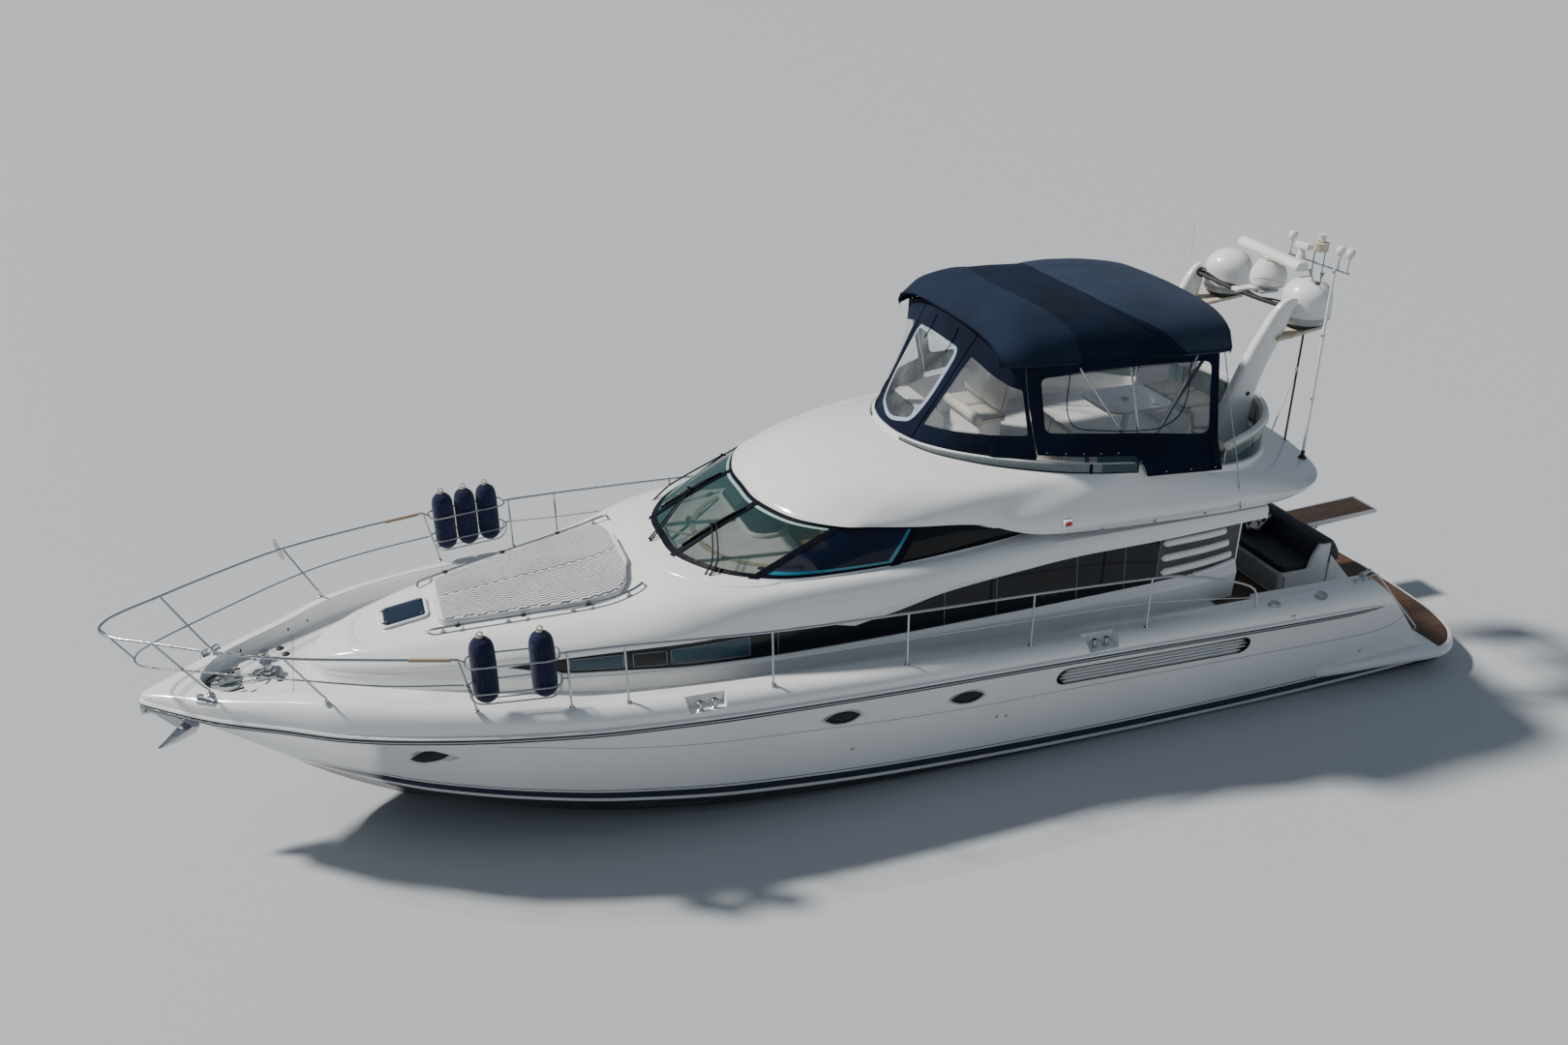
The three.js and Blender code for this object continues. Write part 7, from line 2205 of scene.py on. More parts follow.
rails += [part for shape in port_rails for part in both(shape)]
piece("bow_and_side_rails", dressed(rails, steel), replaces=["rail_port", "rail_starboard"])
grip_line = between([(0, 5.30, 1.941, 2.942), (1, 5.72, 1.815, 2.958)], np.linspace(0, 1, 24))
grip = tube(grip_line, 0.021 + 0.0015 * np.sin(np.arange(24) * 2.2), 12)
piece("rail_whippings", twice([grip], whipping))
holder = [
    turned(
        [(0.024, -0.15), (0.029, -0.14), (0.029, 0.10), (0.033, 0.125), (0.027, 0.128), (0.025, 0.02)],
        (7.03, -1.385, 3.0), (0.25, -0.1, 1), 20,
    )
]
piece("rod_holder", dressed(holder, radome))

# Fenders: five inflated fenders in knitted navy covers, standing in the baskets, each with a cream horn at
# its top with a rope eye through it, and a drawstring hem.
knit = Finish("fender_cover", (0.010, 0.014, 0.045), 0.95, Specular_IOR_Level=0.2, Sheen_Weight=0.15)
fluff = knit.noise(40, 6)
knit.set(Base_Color=knit.mix(knit.ramp(fluff, 0.3, 0.75), (0.005, 0.008, 0.028), (0.020, 0.027, 0.075)))
knit.bump(fluff + knit.noise(160, 3) * 0.5, 0.9, 0.006)
rope = Finish("rope", (0.66, 0.60, 0.46), 0.8)
lay = rope.node("TexWave", {"bands_direction": "DIAGONAL"}, {"Vector": rope.place(), "Scale": 55.0})
rope.set(Base_Color=rope.mix(lay, (0.72, 0.66, 0.53), (0.40, 0.33, 0.22)))
rope.bump(lay, 0.5, 0.003)
FENDER = [
    (0.02, 0.0),
    (0.052, 0.002),
    (0.072, 0.016),
    (0.108, 0.048),
    (0.132, 0.092),
    (0.139, 0.15),
    (0.140, 0.30),
    (0.140, 0.52),
    (0.138, 0.62),
    (0.131, 0.69),
    (0.112, 0.745),
    (0.080, 0.780),
    (0.050, 0.795),
    (0.034, 0.806),
    (0.02, 0.808),
]
fender_profile = through(FENDER, 44)
for name, x, side in (
    ("port_1", 0.315, 1), ("port_2", -0.315, 1), ("starboard_1", 0.31, -1), ("starboard_2", 0.015, -1),
    ("starboard_3", -0.28, -1),
):
    foot = basket_at([(x, 0, 2.381)])[0] * (1, side, 1)
    body, body_faces = turned(fender_profile, foot, steps=32)
    around = np.arctan2(body[:, 1] - foot[1], body[:, 0] - foot[0])
    rise = body[:, 2] - foot[2]
    swell = np.clip((rise - 0.4) / 0.3, 0, 1)
    lobes = 1 + 0.012 * np.cos(8 * around + 2 * x) * swell + 0.008 * np.sin(3 * around + 9 * rise)
    body[:, :2] = foot[:2] + (body[:, :2] - foot[:2]) * np.minimum(lobes, 1.004)[:, None]
    horn = turned(
        [(0.037, 0.795), (0.038, 0.812), (0.030, 0.822), (0.018, 0.828), (0.013, 0.829)], foot, steps=18,
    )
    eye = [foot + (0.030 * math.cos(a), 0.006, 0.842 + 0.030 * math.sin(a)) for a in full_turn(18)]
    neck = [foot + (0.052 * math.cos(a), 0.052 * math.sin(a), 0.794) for a in full_turn(24)]
    parts = [
        ((body, body_faces), knit),
        (horn, rope),
        (tube(eye, 0.009, 8, looped=True), rope),
        (tube(neck, 0.005, 6, looped=True), knit),
    ]
    piece(f"fender_{name}_cover", parts, replaces=[f"fender_{name}"])

# Foredeck: a padded sun bed with woven stripes between two handrails, a moulded ridge, a smoked hatch, a
# windlass with its chain, stopper and foot switches, chromed fairleads and cleats, locker seams, scuppers,
# and a polished plough anchor on its bow roller.
deck_z = crown_of(hull)
SUNPAD = [
    (3.0, 0.0), (3.03, 0.45), (3.12, 0.80), (3.28, 0.95), (3.50, 0.95), (4.20, 0.81), (5.12, 0.59),
    (5.27, 0.53), (5.32, 0.43),
]
pad_x = np.concatenate([[3.0, 3.008, 3.02, 3.04], np.linspace(3.06, 5.26, 74), [5.285, 5.30, 5.312, 5.32]])
pad_half = between([(3.0, 0.40)] + SUNPAD[1:], pad_x)[:, 0] * np.where(pad_x < 3.03, 0.94, 1.0)
end_rise = np.clip(np.minimum(pad_x - 2.985, 5.335 - pad_x) / 0.05, 0, 1)
end_rise = np.sqrt(1 - (1 - end_rise) ** 2)
cross = np.sin(np.linspace(-math.pi / 2, math.pi / 2, 61))
pad_rings = []
for x, half, rise in zip(pad_x, pad_half, end_rise):
    y = cross * half
    under = trunk_z(np.full(61, x), y) + 0.006
    edge = np.sqrt(np.clip(1 - ((np.abs(y) - half + 0.045) / 0.045).clip(0, 1) ** 2, 0, 1))
    quilt = 0.006 * np.abs(np.sin(math.pi * y / 0.48)) ** 0.5 - 0.012 * np.exp(-((y / 0.012) ** 2))
    over = under + 0.018 + (0.064 + quilt) * edge * rise
    upper, lower = (np.column_stack([np.full(61, x), y, z]) for z in (over, under))
    pad_rings.append(np.vstack([upper, lower[::-1]]))
weave = Finish("sunbed_weave", (0.62, 0.62, 0.63), 0.8, Specular_IOR_Level=0.25)
pad_x_axis, pad_y_axis = weave.axes()[:2]
wander = weave.reckon("SINE", pad_x_axis * 52.0) * 0.010
stripe = weave.reckon("SINE", (pad_y_axis + wander) * 118.0)
soiled = weave.noise(2.0, 5)
pale = weave.mix(weave.ramp(soiled, 0.3, 0.8), (0.72, 0.72, 0.73), (0.58, 0.58, 0.60))
weave.set(Base_Color=weave.mix(weave.ramp(stripe, -0.05, 0.30), pale, (0.085, 0.090, 0.120)))
weave.bump(stripe * 0.3 + weave.noise(3, 4) * 1.5, 0.4, 0.006)
sun_bed = piece("sun_bed", [(skin(pad_rings), weave)], replaces=["sunpad"], sharp=50)
bed_faces = np.array([face.center[:] for face in sun_bed.data.polygons])
reach = between(np.column_stack([pad_x, pad_half]), bed_faces[:, 0])[:, 0]
repaint(
    sun_bed, (np.abs(bed_faces[:, 1]) > reach - 0.012) | (bed_faces[:, 0] < 3.06) | (bed_faces[:, 0] > 5.27),
    rail_vinyl,
)
bed_edge = np.column_stack([pad_x, pad_half - 0.012, trunk_z(pad_x, pad_half - 0.012) + 0.072])[3:-3]
centre = np.column_stack([pad_x, 0 * pad_x, trunk_z(pad_x, 0 * pad_x) + 0.081])[4:-4]
piece(
    "sun_bed_piping", dressed(both(tube(bed_edge, 0.006, 6)) + [tube(centre, 0.004, 6)], rail_vinyl),
)
hand_plan = [
    (5.47, 0.575), (5.44, 0.63), (5.30, 0.665), (4.20, 0.895), (3.50, 1.02), (3.12, 1.035), (2.98, 1.00),
    (2.95, 0.95),
]
hand_run = through(hand_plan, 60)
hand_line = np.column_stack([hand_run, trunk_z(*hand_run.T) + 0.062])
hand_line[[0, -1], 2] -= 0.04
hand_parts = [tube(hand_line, 0.0155, 10)]
for k in (5, 22, 39, 54):
    x, y, z = hand_line[k]
    hand_parts += [tube([(x, y, z - 0.08), (x, y, z)], 0.010, 8), flange(x, y, z - 0.062)]
piece("bed_handrails", twice(hand_parts, steel))
straps = []
for k in (9, 26, 43):
    x, y, z = hand_line[k]
    wrap = [(x, y + 0.019 * math.cos(a), z + 0.019 * math.sin(a)) for a in full_turn(14)]
    straps += [
        tube(wrap, [0.009] * 14, 6, looped=True), tube([(x - 0.025, y, z), (x + 0.025, y, z)], 0.022, 10),
        tube([(x, y - 0.012, z), (x - 0.01, y - 0.07, z + 0.005)], 0.007, 6),
    ]
piece("bed_straps", twice(straps, rubber))

RIDGE = [(4.80, 1.40), (5.06, 1.30), (5.62, 0.99), (6.10, 0.66), (6.38, 0.37), (6.49, 0.0)]
ridge_port = through(RIDGE, 60)
ridge = np.vstack([ridge_port, ridge_port[-2::-1] * (1, -1)])
ridge = ridge[trunk_z(ridge[:, 0], ridge[:, 1] * 1.03) > 2.0]
ridge_in = -unit(np.column_stack([np.gradient(ridge[:, 1]), -np.gradient(ridge[:, 0])]))
ridge_in *= np.sign((ridge_in * ((4.9, 0) - ridge)).sum(1))[:, None]
ridge_size = np.clip((ridge[:, 0] - ridge[0, 0]) / 0.6, 0, 1)
rings = []
for amount, lift in [
    (0, -0.006), (0.008, 0.006), (0.025, 0.014), (0.05, 0.016), (0.10, 0.012), (0.19, 0.001), (0.20, -0.006),
]:
    edge = ridge + ridge_in * amount
    rings.append(np.column_stack([edge, trunk_z(*edge.T) + (lift + 0.006) * ridge_size - 0.006]))
piece("trunk_ridge", [(skin(np.stack(rings, 1)), white)])

hatch_line = rounded(5.40, 5.96, -0.26, 0.26, 0.09, 9)


def on_trunk(outline, steps):
    """Rings of a plan outline drawn in by each step's amount and laid on the trunk's crown by its lift."""
    rings = []
    for amount, lift in steps:
        middle = outline.mean(0)
        edge = inset(outline, amount) if amount < 0.2 else middle + (outline - middle) * (1 - amount)
        rings.append(np.column_stack([edge, trunk_z(*edge.T) + lift]))
    return skin(rings)


lid_frame = on_trunk(
    hatch_line,
    [
        (0.10, 0.008), (0.004, 0.008), (0.0, 0.014), (0.0, 0.032), (0.004, 0.039), (0.012, 0.042),
        (0.030, 0.042), (0.036, 0.038), (0.04, 0.034), (0.10, 0.033),
    ],
)
lid_glass = on_trunk(
    hatch_line,
    [
        (0.10, 0.034), (0.041, 0.035), (0.041, 0.0395), (0.045, 0.0415), (0.10, 0.043), (0.45, 0.044),
        (0.75, 0.0445), (0.96, 0.0445),
    ],
)
hatch_glass = wandering(
    "hatch_glass", (0.009, 0.018, 0.038), 0.10, "Base Color", (1.5, 3), (0.007, 0.014, 0.030),
    (0.016, 0.030, 0.056), Specular_IOR_Level=0.4,
)
hinges = []
for y in (-0.155, 0.155):
    z = float(trunk_z(5.90, y)) + 0.046
    hinges += [
        turned([(0.030, -0.006), (0.030, 0.004), (0.022, 0.010)], (5.885, y, z), (0.15, 0, 1), 18),
        tube([(5.885, y, z + 0.004), (5.945, y, z - 0.012)], 0.012, 8),
    ]
hinges += [
    turned(
        [(0.022, -0.004), (0.022, 0.006), (0.012, 0.011)], (5.475, y, float(trunk_z(5.475, y)) + 0.046),
        (0.15, 0, 1), 16,
    )
    for y in (-0.17, 0.17)
]
lid = [(lid_frame, white), (lid_glass, hatch_glass)] + dressed(hinges, black_paint)
piece("hatch_lid_glazed", lid, body="hatch_lid", replaces=["hatch_lid"])
coaming = on_trunk(
    hatch_line,
    [(-0.026, -0.01), (-0.026, 0.003), (-0.020, 0.006), (-0.008, 0.006), (-0.006, 0.0), (-0.006, -0.01)],
)
piece("hatch_seat", [(coaming, white)])


def link(centre, along, roll, long=0.036, wide=0.013, wire=0.006):
    """A chain link: a stadium of round bar about the direction along, rolled about it."""
    along = unit(np.asarray(along, float))
    side = unit(np.cross(along, (0, 0, 1.0)))
    lift = np.cross(side, along)
    across_way = side * math.cos(roll) + lift * math.sin(roll)
    path = []
    for a in full_turn(14):
        ahead = math.copysign(long / 2 * 0.55, math.cos(a)) + wide * math.cos(a)
        path.append(centre + along * ahead + across_way * wide * math.sin(a))
    return tube(path, wire, 6, looped=True)


DRUM_X = 7.29
well_floor = float(deck_z(7.3, 0.0))
gear = [
    slab(rounded(7.15, 7.47, -0.12, 0.12, 0.06), -0.01, 0.035, 0.012),
    turned([(0.088, 0.03), (0.092, 0.05), (0.088, 0.072), (0.062, 0.078)], (DRUM_X, 0, 0), steps=28),
    turned(
        [
            (0.060, 0.07), (0.075, 0.085), (0.052, 0.10), (0.045, 0.13), (0.052, 0.158), (0.078, 0.172),
            (0.082, 0.182), (0.074, 0.192), (0.03, 0.198), (0.0, 0.199),
        ],
        (DRUM_X, 0, 0), steps=28,
    ),
]
for a in np.arange(8) * math.pi / 4:
    rib = [(DRUM_X + r * math.cos(a), r * math.sin(a), z) for r, z in ((0.047, 0.10), (0.051, 0.155))]
    gear.append(tube(rib, 0.005, 6))
gear += [
    turned(
        [
            (0.050, 0), (0.058, 0.01), (0.050, 0.05), (0.040, 0.09), (0.056, 0.112), (0.056, 0.124),
            (0.0, 0.13),
        ],
        (7.33, -0.36, 0), steps=24,
    ),
    tube([(DRUM_X, 0.0, 0.09), (7.42, 0.16, 0.12)], 0.012, 8),
]
chain_path = through(
    [(7.38, 0.03, 0.065), (7.6, 0.025, 0.045), (7.86, 0.015, 0.05), (7.97, 0.01, 0.02), (8.02, 0.01, -0.03)],
    24,
)
chain_run = unit(np.gradient(chain_path, axis=0))
for k in range(23):
    gear.append(link((chain_path[k] + chain_path[k + 1]) / 2, chain_run[k], (k % 2) * math.pi / 2 + 0.3))
gear += [
    block((7.66, -0.075, -0.01), (7.84, -0.045, 0.10)), block((7.66, 0.065, -0.01), (7.84, 0.095, 0.10)),
    tube([(7.75, -0.09, 0.08), (7.75, 0.11, 0.08)], 0.014, 10),
    tube([(7.72, 0.02, 0.09), (7.60, 0.02, 0.20)], 0.011, 8),
]
gear = [moved(shape, (0, 0, well_floor)) for shape in gear]
piece("windlass_and_chain", dressed(gear, steel), replaces=["windlass"])
dark_gear = []
for x, y in ((7.17, -0.56), (7.10, -0.39), (7.16, 0.18)):
    switch = [(0.045, -0.004), (0.045, 0.010), (0.036, 0.020), (0.018, 0.026), (0.0, 0.027)]
    dark_gear.append(turned(switch, (x, y, float(deck_z(x, y))), steps=20))
hose = through(
    [
        (7.62, -0.22, well_floor + 0.02), (7.84, -0.20, well_floor + 0.02), (7.96, -0.04, well_floor + 0.03),
        (7.92, 0.16, well_floor + 0.02), (7.74, 0.27, well_floor + 0.02), (7.56, 0.25, well_floor + 0.025),
    ],
    50,
)
dark_gear.append(tube(hose, 0.013, 8))
# A grey disc over the anchor well: painted shade in place of the well's shadowed floor.
well_shade_disc = slab(rounded(7.60, 8.00, -0.22, 0.22, 0.14, 8), well_floor - 0.012, well_floor + 0.006, 0.004)
piece("anchor_well_fittings", dressed(dark_gear, rubber) + [(well_shade_disc, foot_grey)])
deck_irons = []
for side in (1, -1):
    deck_irons += horn_cleat(7.50, side * 0.44, float(deck_z(7.50, side * 0.44)), 0.20, side * 0.45)
for x, y, turn in ((7.93, 0.55, -0.62), (7.93, -0.55, 0.62)):
    z = float(deck_z(x, y))
    plan = spun(rounded(-0.13, 0.13, -0.04, 0.04, 0.03), turn) + (x, y)
    deck_irons.append(slab(plan, z - 0.03, z + 0.012, 0.006))
    for end in (-1, 1):
        horn = [
            (end * 0.105, 0.0, 0.0), (end * 0.110, 0, 0.045), (end * 0.085, 0, 0.070),
            (end * 0.035, 0, 0.066),
        ]
        deck_irons.append(tube(spun(through(horn, 16), turn) + (x, y, z), 0.016, 10))
piece("bow_fairleads", dressed(deck_irons, steel))
y = np.linspace(-0.84, 0.84, 40)
seams = [tube(np.column_stack([0 * y + 7.02, y, deck_z(7.02, y) - 0.002]), 0.005, 6)]
for y in (0.46, -0.46):
    x = np.linspace(7.02, 7.62, 20)
    seams.append(tube(np.column_stack([x, 0 * x + y, deck_z(x, y) - 0.002]), 0.004, 6))
piece("locker_seams", dressed(seams, whipping))
scuppers = []
for x in (6.84, 7.07, 7.62, 4.9):
    deck, half = between(DECK, [x])[0]
    scuppers += both(
        turned(
            [(0.022, -0.010), (0.026, 0.004), (0.020, 0.007), (0.012, 0.002), (0, 0.001)],
            (x, half + 0.012, deck + 0.085), (0.45, -1, 0.3), 16,
        )
    )
piece("deck_scuppers", dressed(scuppers, rubber))

SHANK = [
    (8.70, 1.905),
    (8.69, 1.935),
    (8.60, 1.93),
    (8.36, 1.70),
    (8.20, 1.515),
    (8.23, 1.455),
    (8.42, 1.60),
    (8.62, 1.845),
]
plough = []
for side in (-1, 1):
    rows = []
    for t in np.linspace(0, 1, 9):
        lip = np.array([8.655 - 0.045 * t**2, side * 0.034 * t, 1.315 + 0.03 * t])
        heel = np.array([8.215 + 0.005 * t, side * (0.010 + 0.175 * t), 1.455 + 0.16 * t**1.3])
        tail = np.array([8.150 + 0.035 * t, side * (0.010 + 0.165 * t), 1.535 + 0.10 * t**1.3])
        edge = (lip + heel) / 2 + (0, side * 0.012 * t, -0.012 - 0.018 * (1 - t))
        back = [tail + (0.012, 0, 0.010), heel + (0.01, 0, 0.014), lip + (-0.01, 0, 0.012)]
        rows.append(np.vstack([lip, edge, heel, tail, *back]))
    plough.append(skin(rows))
roller = [
    slab(rounded(8.30, 8.705, -0.070, -0.056, 0.006, 3), 1.86, 1.972, 0.01),
    slab(rounded(8.30, 8.705, 0.056, 0.070, 0.006, 3), 1.86, 1.972, 0.01),
    tube([(8.66, -0.085, 1.895), (8.66, 0.085, 1.895)], 0.012, 12),
]
wheel = turned(
    [(0.034, -0.048), (0.036, -0.044), (0.020, -0.012), (0.020, 0.012), (0.036, 0.044), (0.034, 0.048)],
    (8.66, 0, 1.895), (0, 1, 0), 24,
)
iron = dressed([side_prism(SHANK, -0.014, -0.011, 0.011, 0.014)] + plough + roller, steel) + [(wheel, rubber)]
iron.append((turned([(0.020, -0.03), (0.024, 0.0), (0.020, 0.03)], (8.21, 0, 1.49), (0, 1, 0), 14), steel))
piece("plough_anchor", iron, replaces=["anchor"])

# Roof fittings: a grab rail along each side of the wing with a strap from the canopy's corner to its after
# post, and a navigation light in a white housing a side.
lamp_red = wandering(
    "lamp_red", (0.42, 0.008, 0.012), 0.12, "Base Color", (30,), (0.30, 0.004, 0.008), (0.50, 0.02, 0.02),
    Specular_IOR_Level=0.6,
)
lamp_green = wandering(
    "lamp_green", (0.010, 0.22, 0.07), 0.12, "Base Color", (30,), (0.006, 0.16, 0.05), (0.02, 0.28, 0.09),
    Specular_IOR_Level=0.6,
)
wing_rail = through(
    [
        (-2.06, 2.085, 3.235), (-2.12, 2.13, 3.215), (-3.30, 2.225, 3.235), (-4.32, 2.262, 3.235),
        (-4.42, 2.262, 3.250), (-4.46, 2.21, 3.262),
    ],
    70,
)
wing = [tube(wing_rail, 0.0095, 8)]
for k in (14, 34, 54):
    x, y, z = wing_rail[k]
    wing += [
        tube([(x, y - 0.075, z + 0.012), (x, y, z)], 0.008, 8),
        turned(
            [(0.017, -0.02), (0.017, 0.006), (0.010, 0.012)], (x, y - 0.055, z + 0.009), (0, 1, -0.15), 14,
        ),
    ]
piece("wing_rails", twice(wing, steel))
lamp_house = slab(rounded(-2.105, -1.975, 2.06, 2.155, 0.03, 5), 3.355, 3.445, 0.02, 0.012)
lens = slab(rounded(-2.085, -1.985, 2.085, 2.166, 0.03, 5), 3.372, 3.428, 0.012)
lamps = twice([lamp_house], white) + [(lens, lamp_red), (mirror(lens), lamp_green)]
piece("navigation_lights", lamps)
for name, side in (("port", 1), ("starboard", -1)):
    strap_path = through(
        [
            (-4.36, side * 1.635, 5.12), (-4.40, side * 1.86, 4.40), (-4.425, side * 2.08, 3.80),
            (-4.44, side * 2.25, 3.262),
        ],
        30,
    )
    strap = piece(f"canopy_strap_{name}", [(tube(strap_path, 0.007, 8), foot_grey)])
    tuple(strap_path[0])

# Saloon, as the glass shows it: a cream dash that follows the windscreen, with a sand-coloured band, vents
# and an instrument pod, both steering wheels, a tan helm seat, and the side glass.
def steering_wheel(name, hub, body, node, radius=0.188):
    """A wheel with its axis along x: a leather rim with finger swells, three steel spokes and a boss."""
    hub = np.array(hub)
    turn = full_turn(60)
    rim_path = hub + np.column_stack([0 * turn, radius * np.cos(turn), radius * np.sin(turn)])
    rim = tube(rim_path, 0.0145 + 0.0010 * np.cos(turn * 12), 12, looped=True)
    boss = [(0.028, -0.014), (0.044, -0.010), (0.044, 0.012), (0.034, 0.024), (0.0, 0.028)]
    parts = dressed([rim, turned(boss, hub, (-1, 0, 0), 28)], leather)
    for degrees in (90, 210, 330):
        a = math.radians(degrees)
        way = np.array([0, math.cos(a), math.sin(a)])
        spoke = through([hub, hub + way * radius * 0.5 + (0.008, 0, 0), hub + way * radius * 0.985], 12)
        parts.append((tube(spoke, 0.0085, 8), steel))
    piece(name, parts, body=body, replaces=[node])


leather = vinyl("wheel_leather", (0.020, 0.020, 0.022), 0.5)
tan = vinyl("tan_vinyl", (0.36, 0.235, 0.125), 0.5)
dash_cream = vinyl("dash_cream", (0.60, 0.61, 0.57), 0.5)
sand = vinyl("sand_vinyl", (0.40, 0.345, 0.22), 0.55)
steering_wheel("helm_wheel_rim", (0.8040, -0.85, 2.62), "helm_wheel", "helm_wheel")
steering_wheel("fly_wheel_rim", (-1.499, -0.62, 3.90), "fly_wheel", "fly_wheel")
foot_u = np.linspace(-6.5, 6.5, 240)
dash_edge = screen(foot_u, 0.0)[:, :2]
dash_edge = dash_edge[dash_edge[:, 0] > 0.90] - (0.085, 0)
dash_edge[:, 1] -= np.sign(dash_edge[:, 1]) * np.minimum(0.085, np.abs(dash_edge[:, 1]))
dash_parts = [(slab(dash_edge, 2.765, 2.935, 0.05, 0.01), dash_cream)]
band_outer, band_inner = inset(dash_edge, 0.34), inset(dash_edge, 0.41)
kept = band_outer[:, 0] > 1.02
band = [
    at_height(edge[kept], z)
    for edge, z in ((band_outer, 2.93), (band_outer, 2.944), (band_inner, 2.944), (band_inner, 2.93))
]
dash_parts.append((skin(np.stack(band, 1)), sand))
for x, y, turn in ((1.98, 0.30, 0.2), (1.98, -0.55, -0.35), (1.50, 1.12, 0.9), (1.50, -1.20, -0.9)):
    vent = spun(rounded(-0.036, 0.036, -0.085, 0.085, 0.035, 6), turn) + (x, y)
    dash_parts.append((slab(vent, 2.93, 2.942, 0.004), black_paint))
pod_line = rounded(0.835, 1.42, -1.27, 0.36, 0.26, 8)
dash_parts += [
    (slab(pod_line, 2.40, 2.985, 0.05, 0.02), dash_cream),
    (slab(inset(pod_line, 0.05), 2.98, 3.000, 0.012), black_paint),
]
hood = [(0.86, 2.985), (0.98, 3.045), (1.22, 3.055), (1.34, 2.985)]
dash_parts += [
    (side_prism(hood, -1.12, -1.08, -0.62, -0.58), black_paint),
    (slab(rounded(1.0, 1.30, -1.50, 1.50, 0.05), 2.30, 2.80, 0.03), dash_cream),
]
DIAL = [(0.045, 0), (0.045, 0.010), (0.036, 0.012), (0.0, 0.008)]
for y in (-1.10, -0.98, -0.72, -0.60):
    dash_parts.append((turned(DIAL, (0.834, y, 2.90), (-1, 0, 0.15), 20), black_paint))
piece("dash_moulding", dash_parts, replaces=["dash"])
seat_low = (rounded(-0.10, 0.40, -1.16, -0.54, 0.13), 2.01, 2.15, 0.05, 0.02)
seat_back = (
    rounded(-0.30, 0.30, -0.30, 0.27, 0.12), 0.0, 0.10, 0.045, 0.02, (-0.125, -0.85, 2.40), (0, 1, 0),
    (-0.12, 0, 1.0),
)
upholster("helm_seat_pads", [seat_low, seat_back], ["helm_seat"], tan)
helm_post = turned(
    [(0.15, 1.253), (0.15, 1.27), (0.055, 1.31), (0.050, 1.35), (0.050, 1.97), (0.13, 2.01)],
    (0.15, -0.85, 0), steps=28,
)
piece("helm_seat_post", [(helm_post, steel)])

# Cockpit: a teak sole, the saloon bulkhead with its sliding door, and a navy bench with ribbed seat and back
# cushions in a white moulding, with one loose cushion in a black and white check.
sole_line = rounded(-6.979, -5.001, -1.959, 1.959, 0.03)
sole = [(slab(sole_line, 1.001, 1.040, 0.004), teak)]
SOLE_DRAIN = [(0.034, 0), (0.034, 0.0012), (0.026, 0.0016), (0.0, 0.0008)]
for y in (0.55, -0.55):
    sole.append((turned(SOLE_DRAIN, (-5.35, y, 1.0395), steps=20), steel))
lid_seam = at_height(rounded(-6.05, -5.20, -0.65, 0.65, 0.06, 6), 1.0385)
sole.append((tube(lid_seam, 0.004, 6, looped=True), rubber))
piece("cockpit_sole_teak", sole, replaces=["cockpit_sole"])


def frame_bars(x0, x1, y0, y1, z0, z1, wide):
    """Four bars round an opening across the boat, mitred, as one looped section with a rounded inner edge."""
    corners = np.array([(y0, z0), (y1, z0), (y1, z1), (y0, z1)])
    inner = corners + wide * np.array([(1, 1), (-1, 1), (-1, -1), (1, -1)])
    near = inner + 0.006 * np.array([(-1, -1), (1, -1), (1, 1), (-1, 1)])
    ring = [(x0, corners), (x0, near), (x0 + 0.006, inner), (x1 - 0.006, inner), (x1, near), (x1, corners)]
    return skin(np.stack([np.column_stack([np.full(4, x), edge]) for x, edge in ring], 1), looped=True)


tinted_pane = wandering(
    "tinted_pane", (0.010, 0.014, 0.018), 0.06, "Alpha", (1.2, 2), 0.80, 0.90, Specular_IOR_Level=0.35,
)
# Boards of the bulkhead: y and z from low to high
BOARDS = [
    (-1.688, -0.955, 1.255, 3.315), (0.955, 1.688, 1.255, 3.315), (-0.955, 0.955, 3.155, 3.315),
    (-0.955, 0.955, 1.255, 1.302),
]
BOARD_AFT, BOARD_FORE = -4.905, -4.845
bulkhead = [block((BOARD_AFT, y0, z0), (BOARD_FORE, y1, z1)) for y0, y1, z0, z1 in BOARDS]
bulk = dressed(bulkhead, white) + [
    (frame_bars(-4.912, -4.838, -0.965, 0.965, 1.292, 3.165, 0.034), steel),
    (block((-4.885, 0.03, 1.32), (-4.867, 0.94, 3.14)), tinted_pane),
    (block((BOARD_AFT, 0.0, 1.30), (BOARD_FORE, 0.04, 3.14)), steel),
    (slab(rounded(-4.973, -4.862, -0.99, 0.99, 0.01, 3), 1.254, 1.2615, 0.002), steel),
]
for y in (-1.32, 1.32):
    bulk += [
        (frame_bars(-4.914, -4.902, y - 0.26, y + 0.26, 1.75, 2.85, 0.030), steel),
        (block((-4.910, y - 0.235, 1.775), (-4.904, y + 0.235, 2.825)), dark_glass),
    ]
piece("saloon_bulkhead_wall", bulk, replaces=["salon_bulkhead"])
pull = through(
    [(x, -0.060, z) for x, z in ((-4.952, 2.05), (-4.990, 2.08), (-4.990, 2.32), (-4.952, 2.35))], 24,
)
lock = [(0.020, 0), (0.020, 0.010), (0.010, 0.016), (0, 0.016)]
door = [
    (frame_bars(-4.953, -4.917, -0.985, 0.0, 1.2645, 3.15, 0.05), steel),
    (block((-4.940, -0.94, 1.31), (-4.930, -0.045, 3.10)), tinted_pane),
    (tube(pull, 0.009, 8), steel),
    (turned(lock, (-4.953, -0.030, 2.45), (-1, 0, 0), 18), steel),
]
piece("saloon_door_glazed", door, body="salon_door", replaces=["salon_door"])

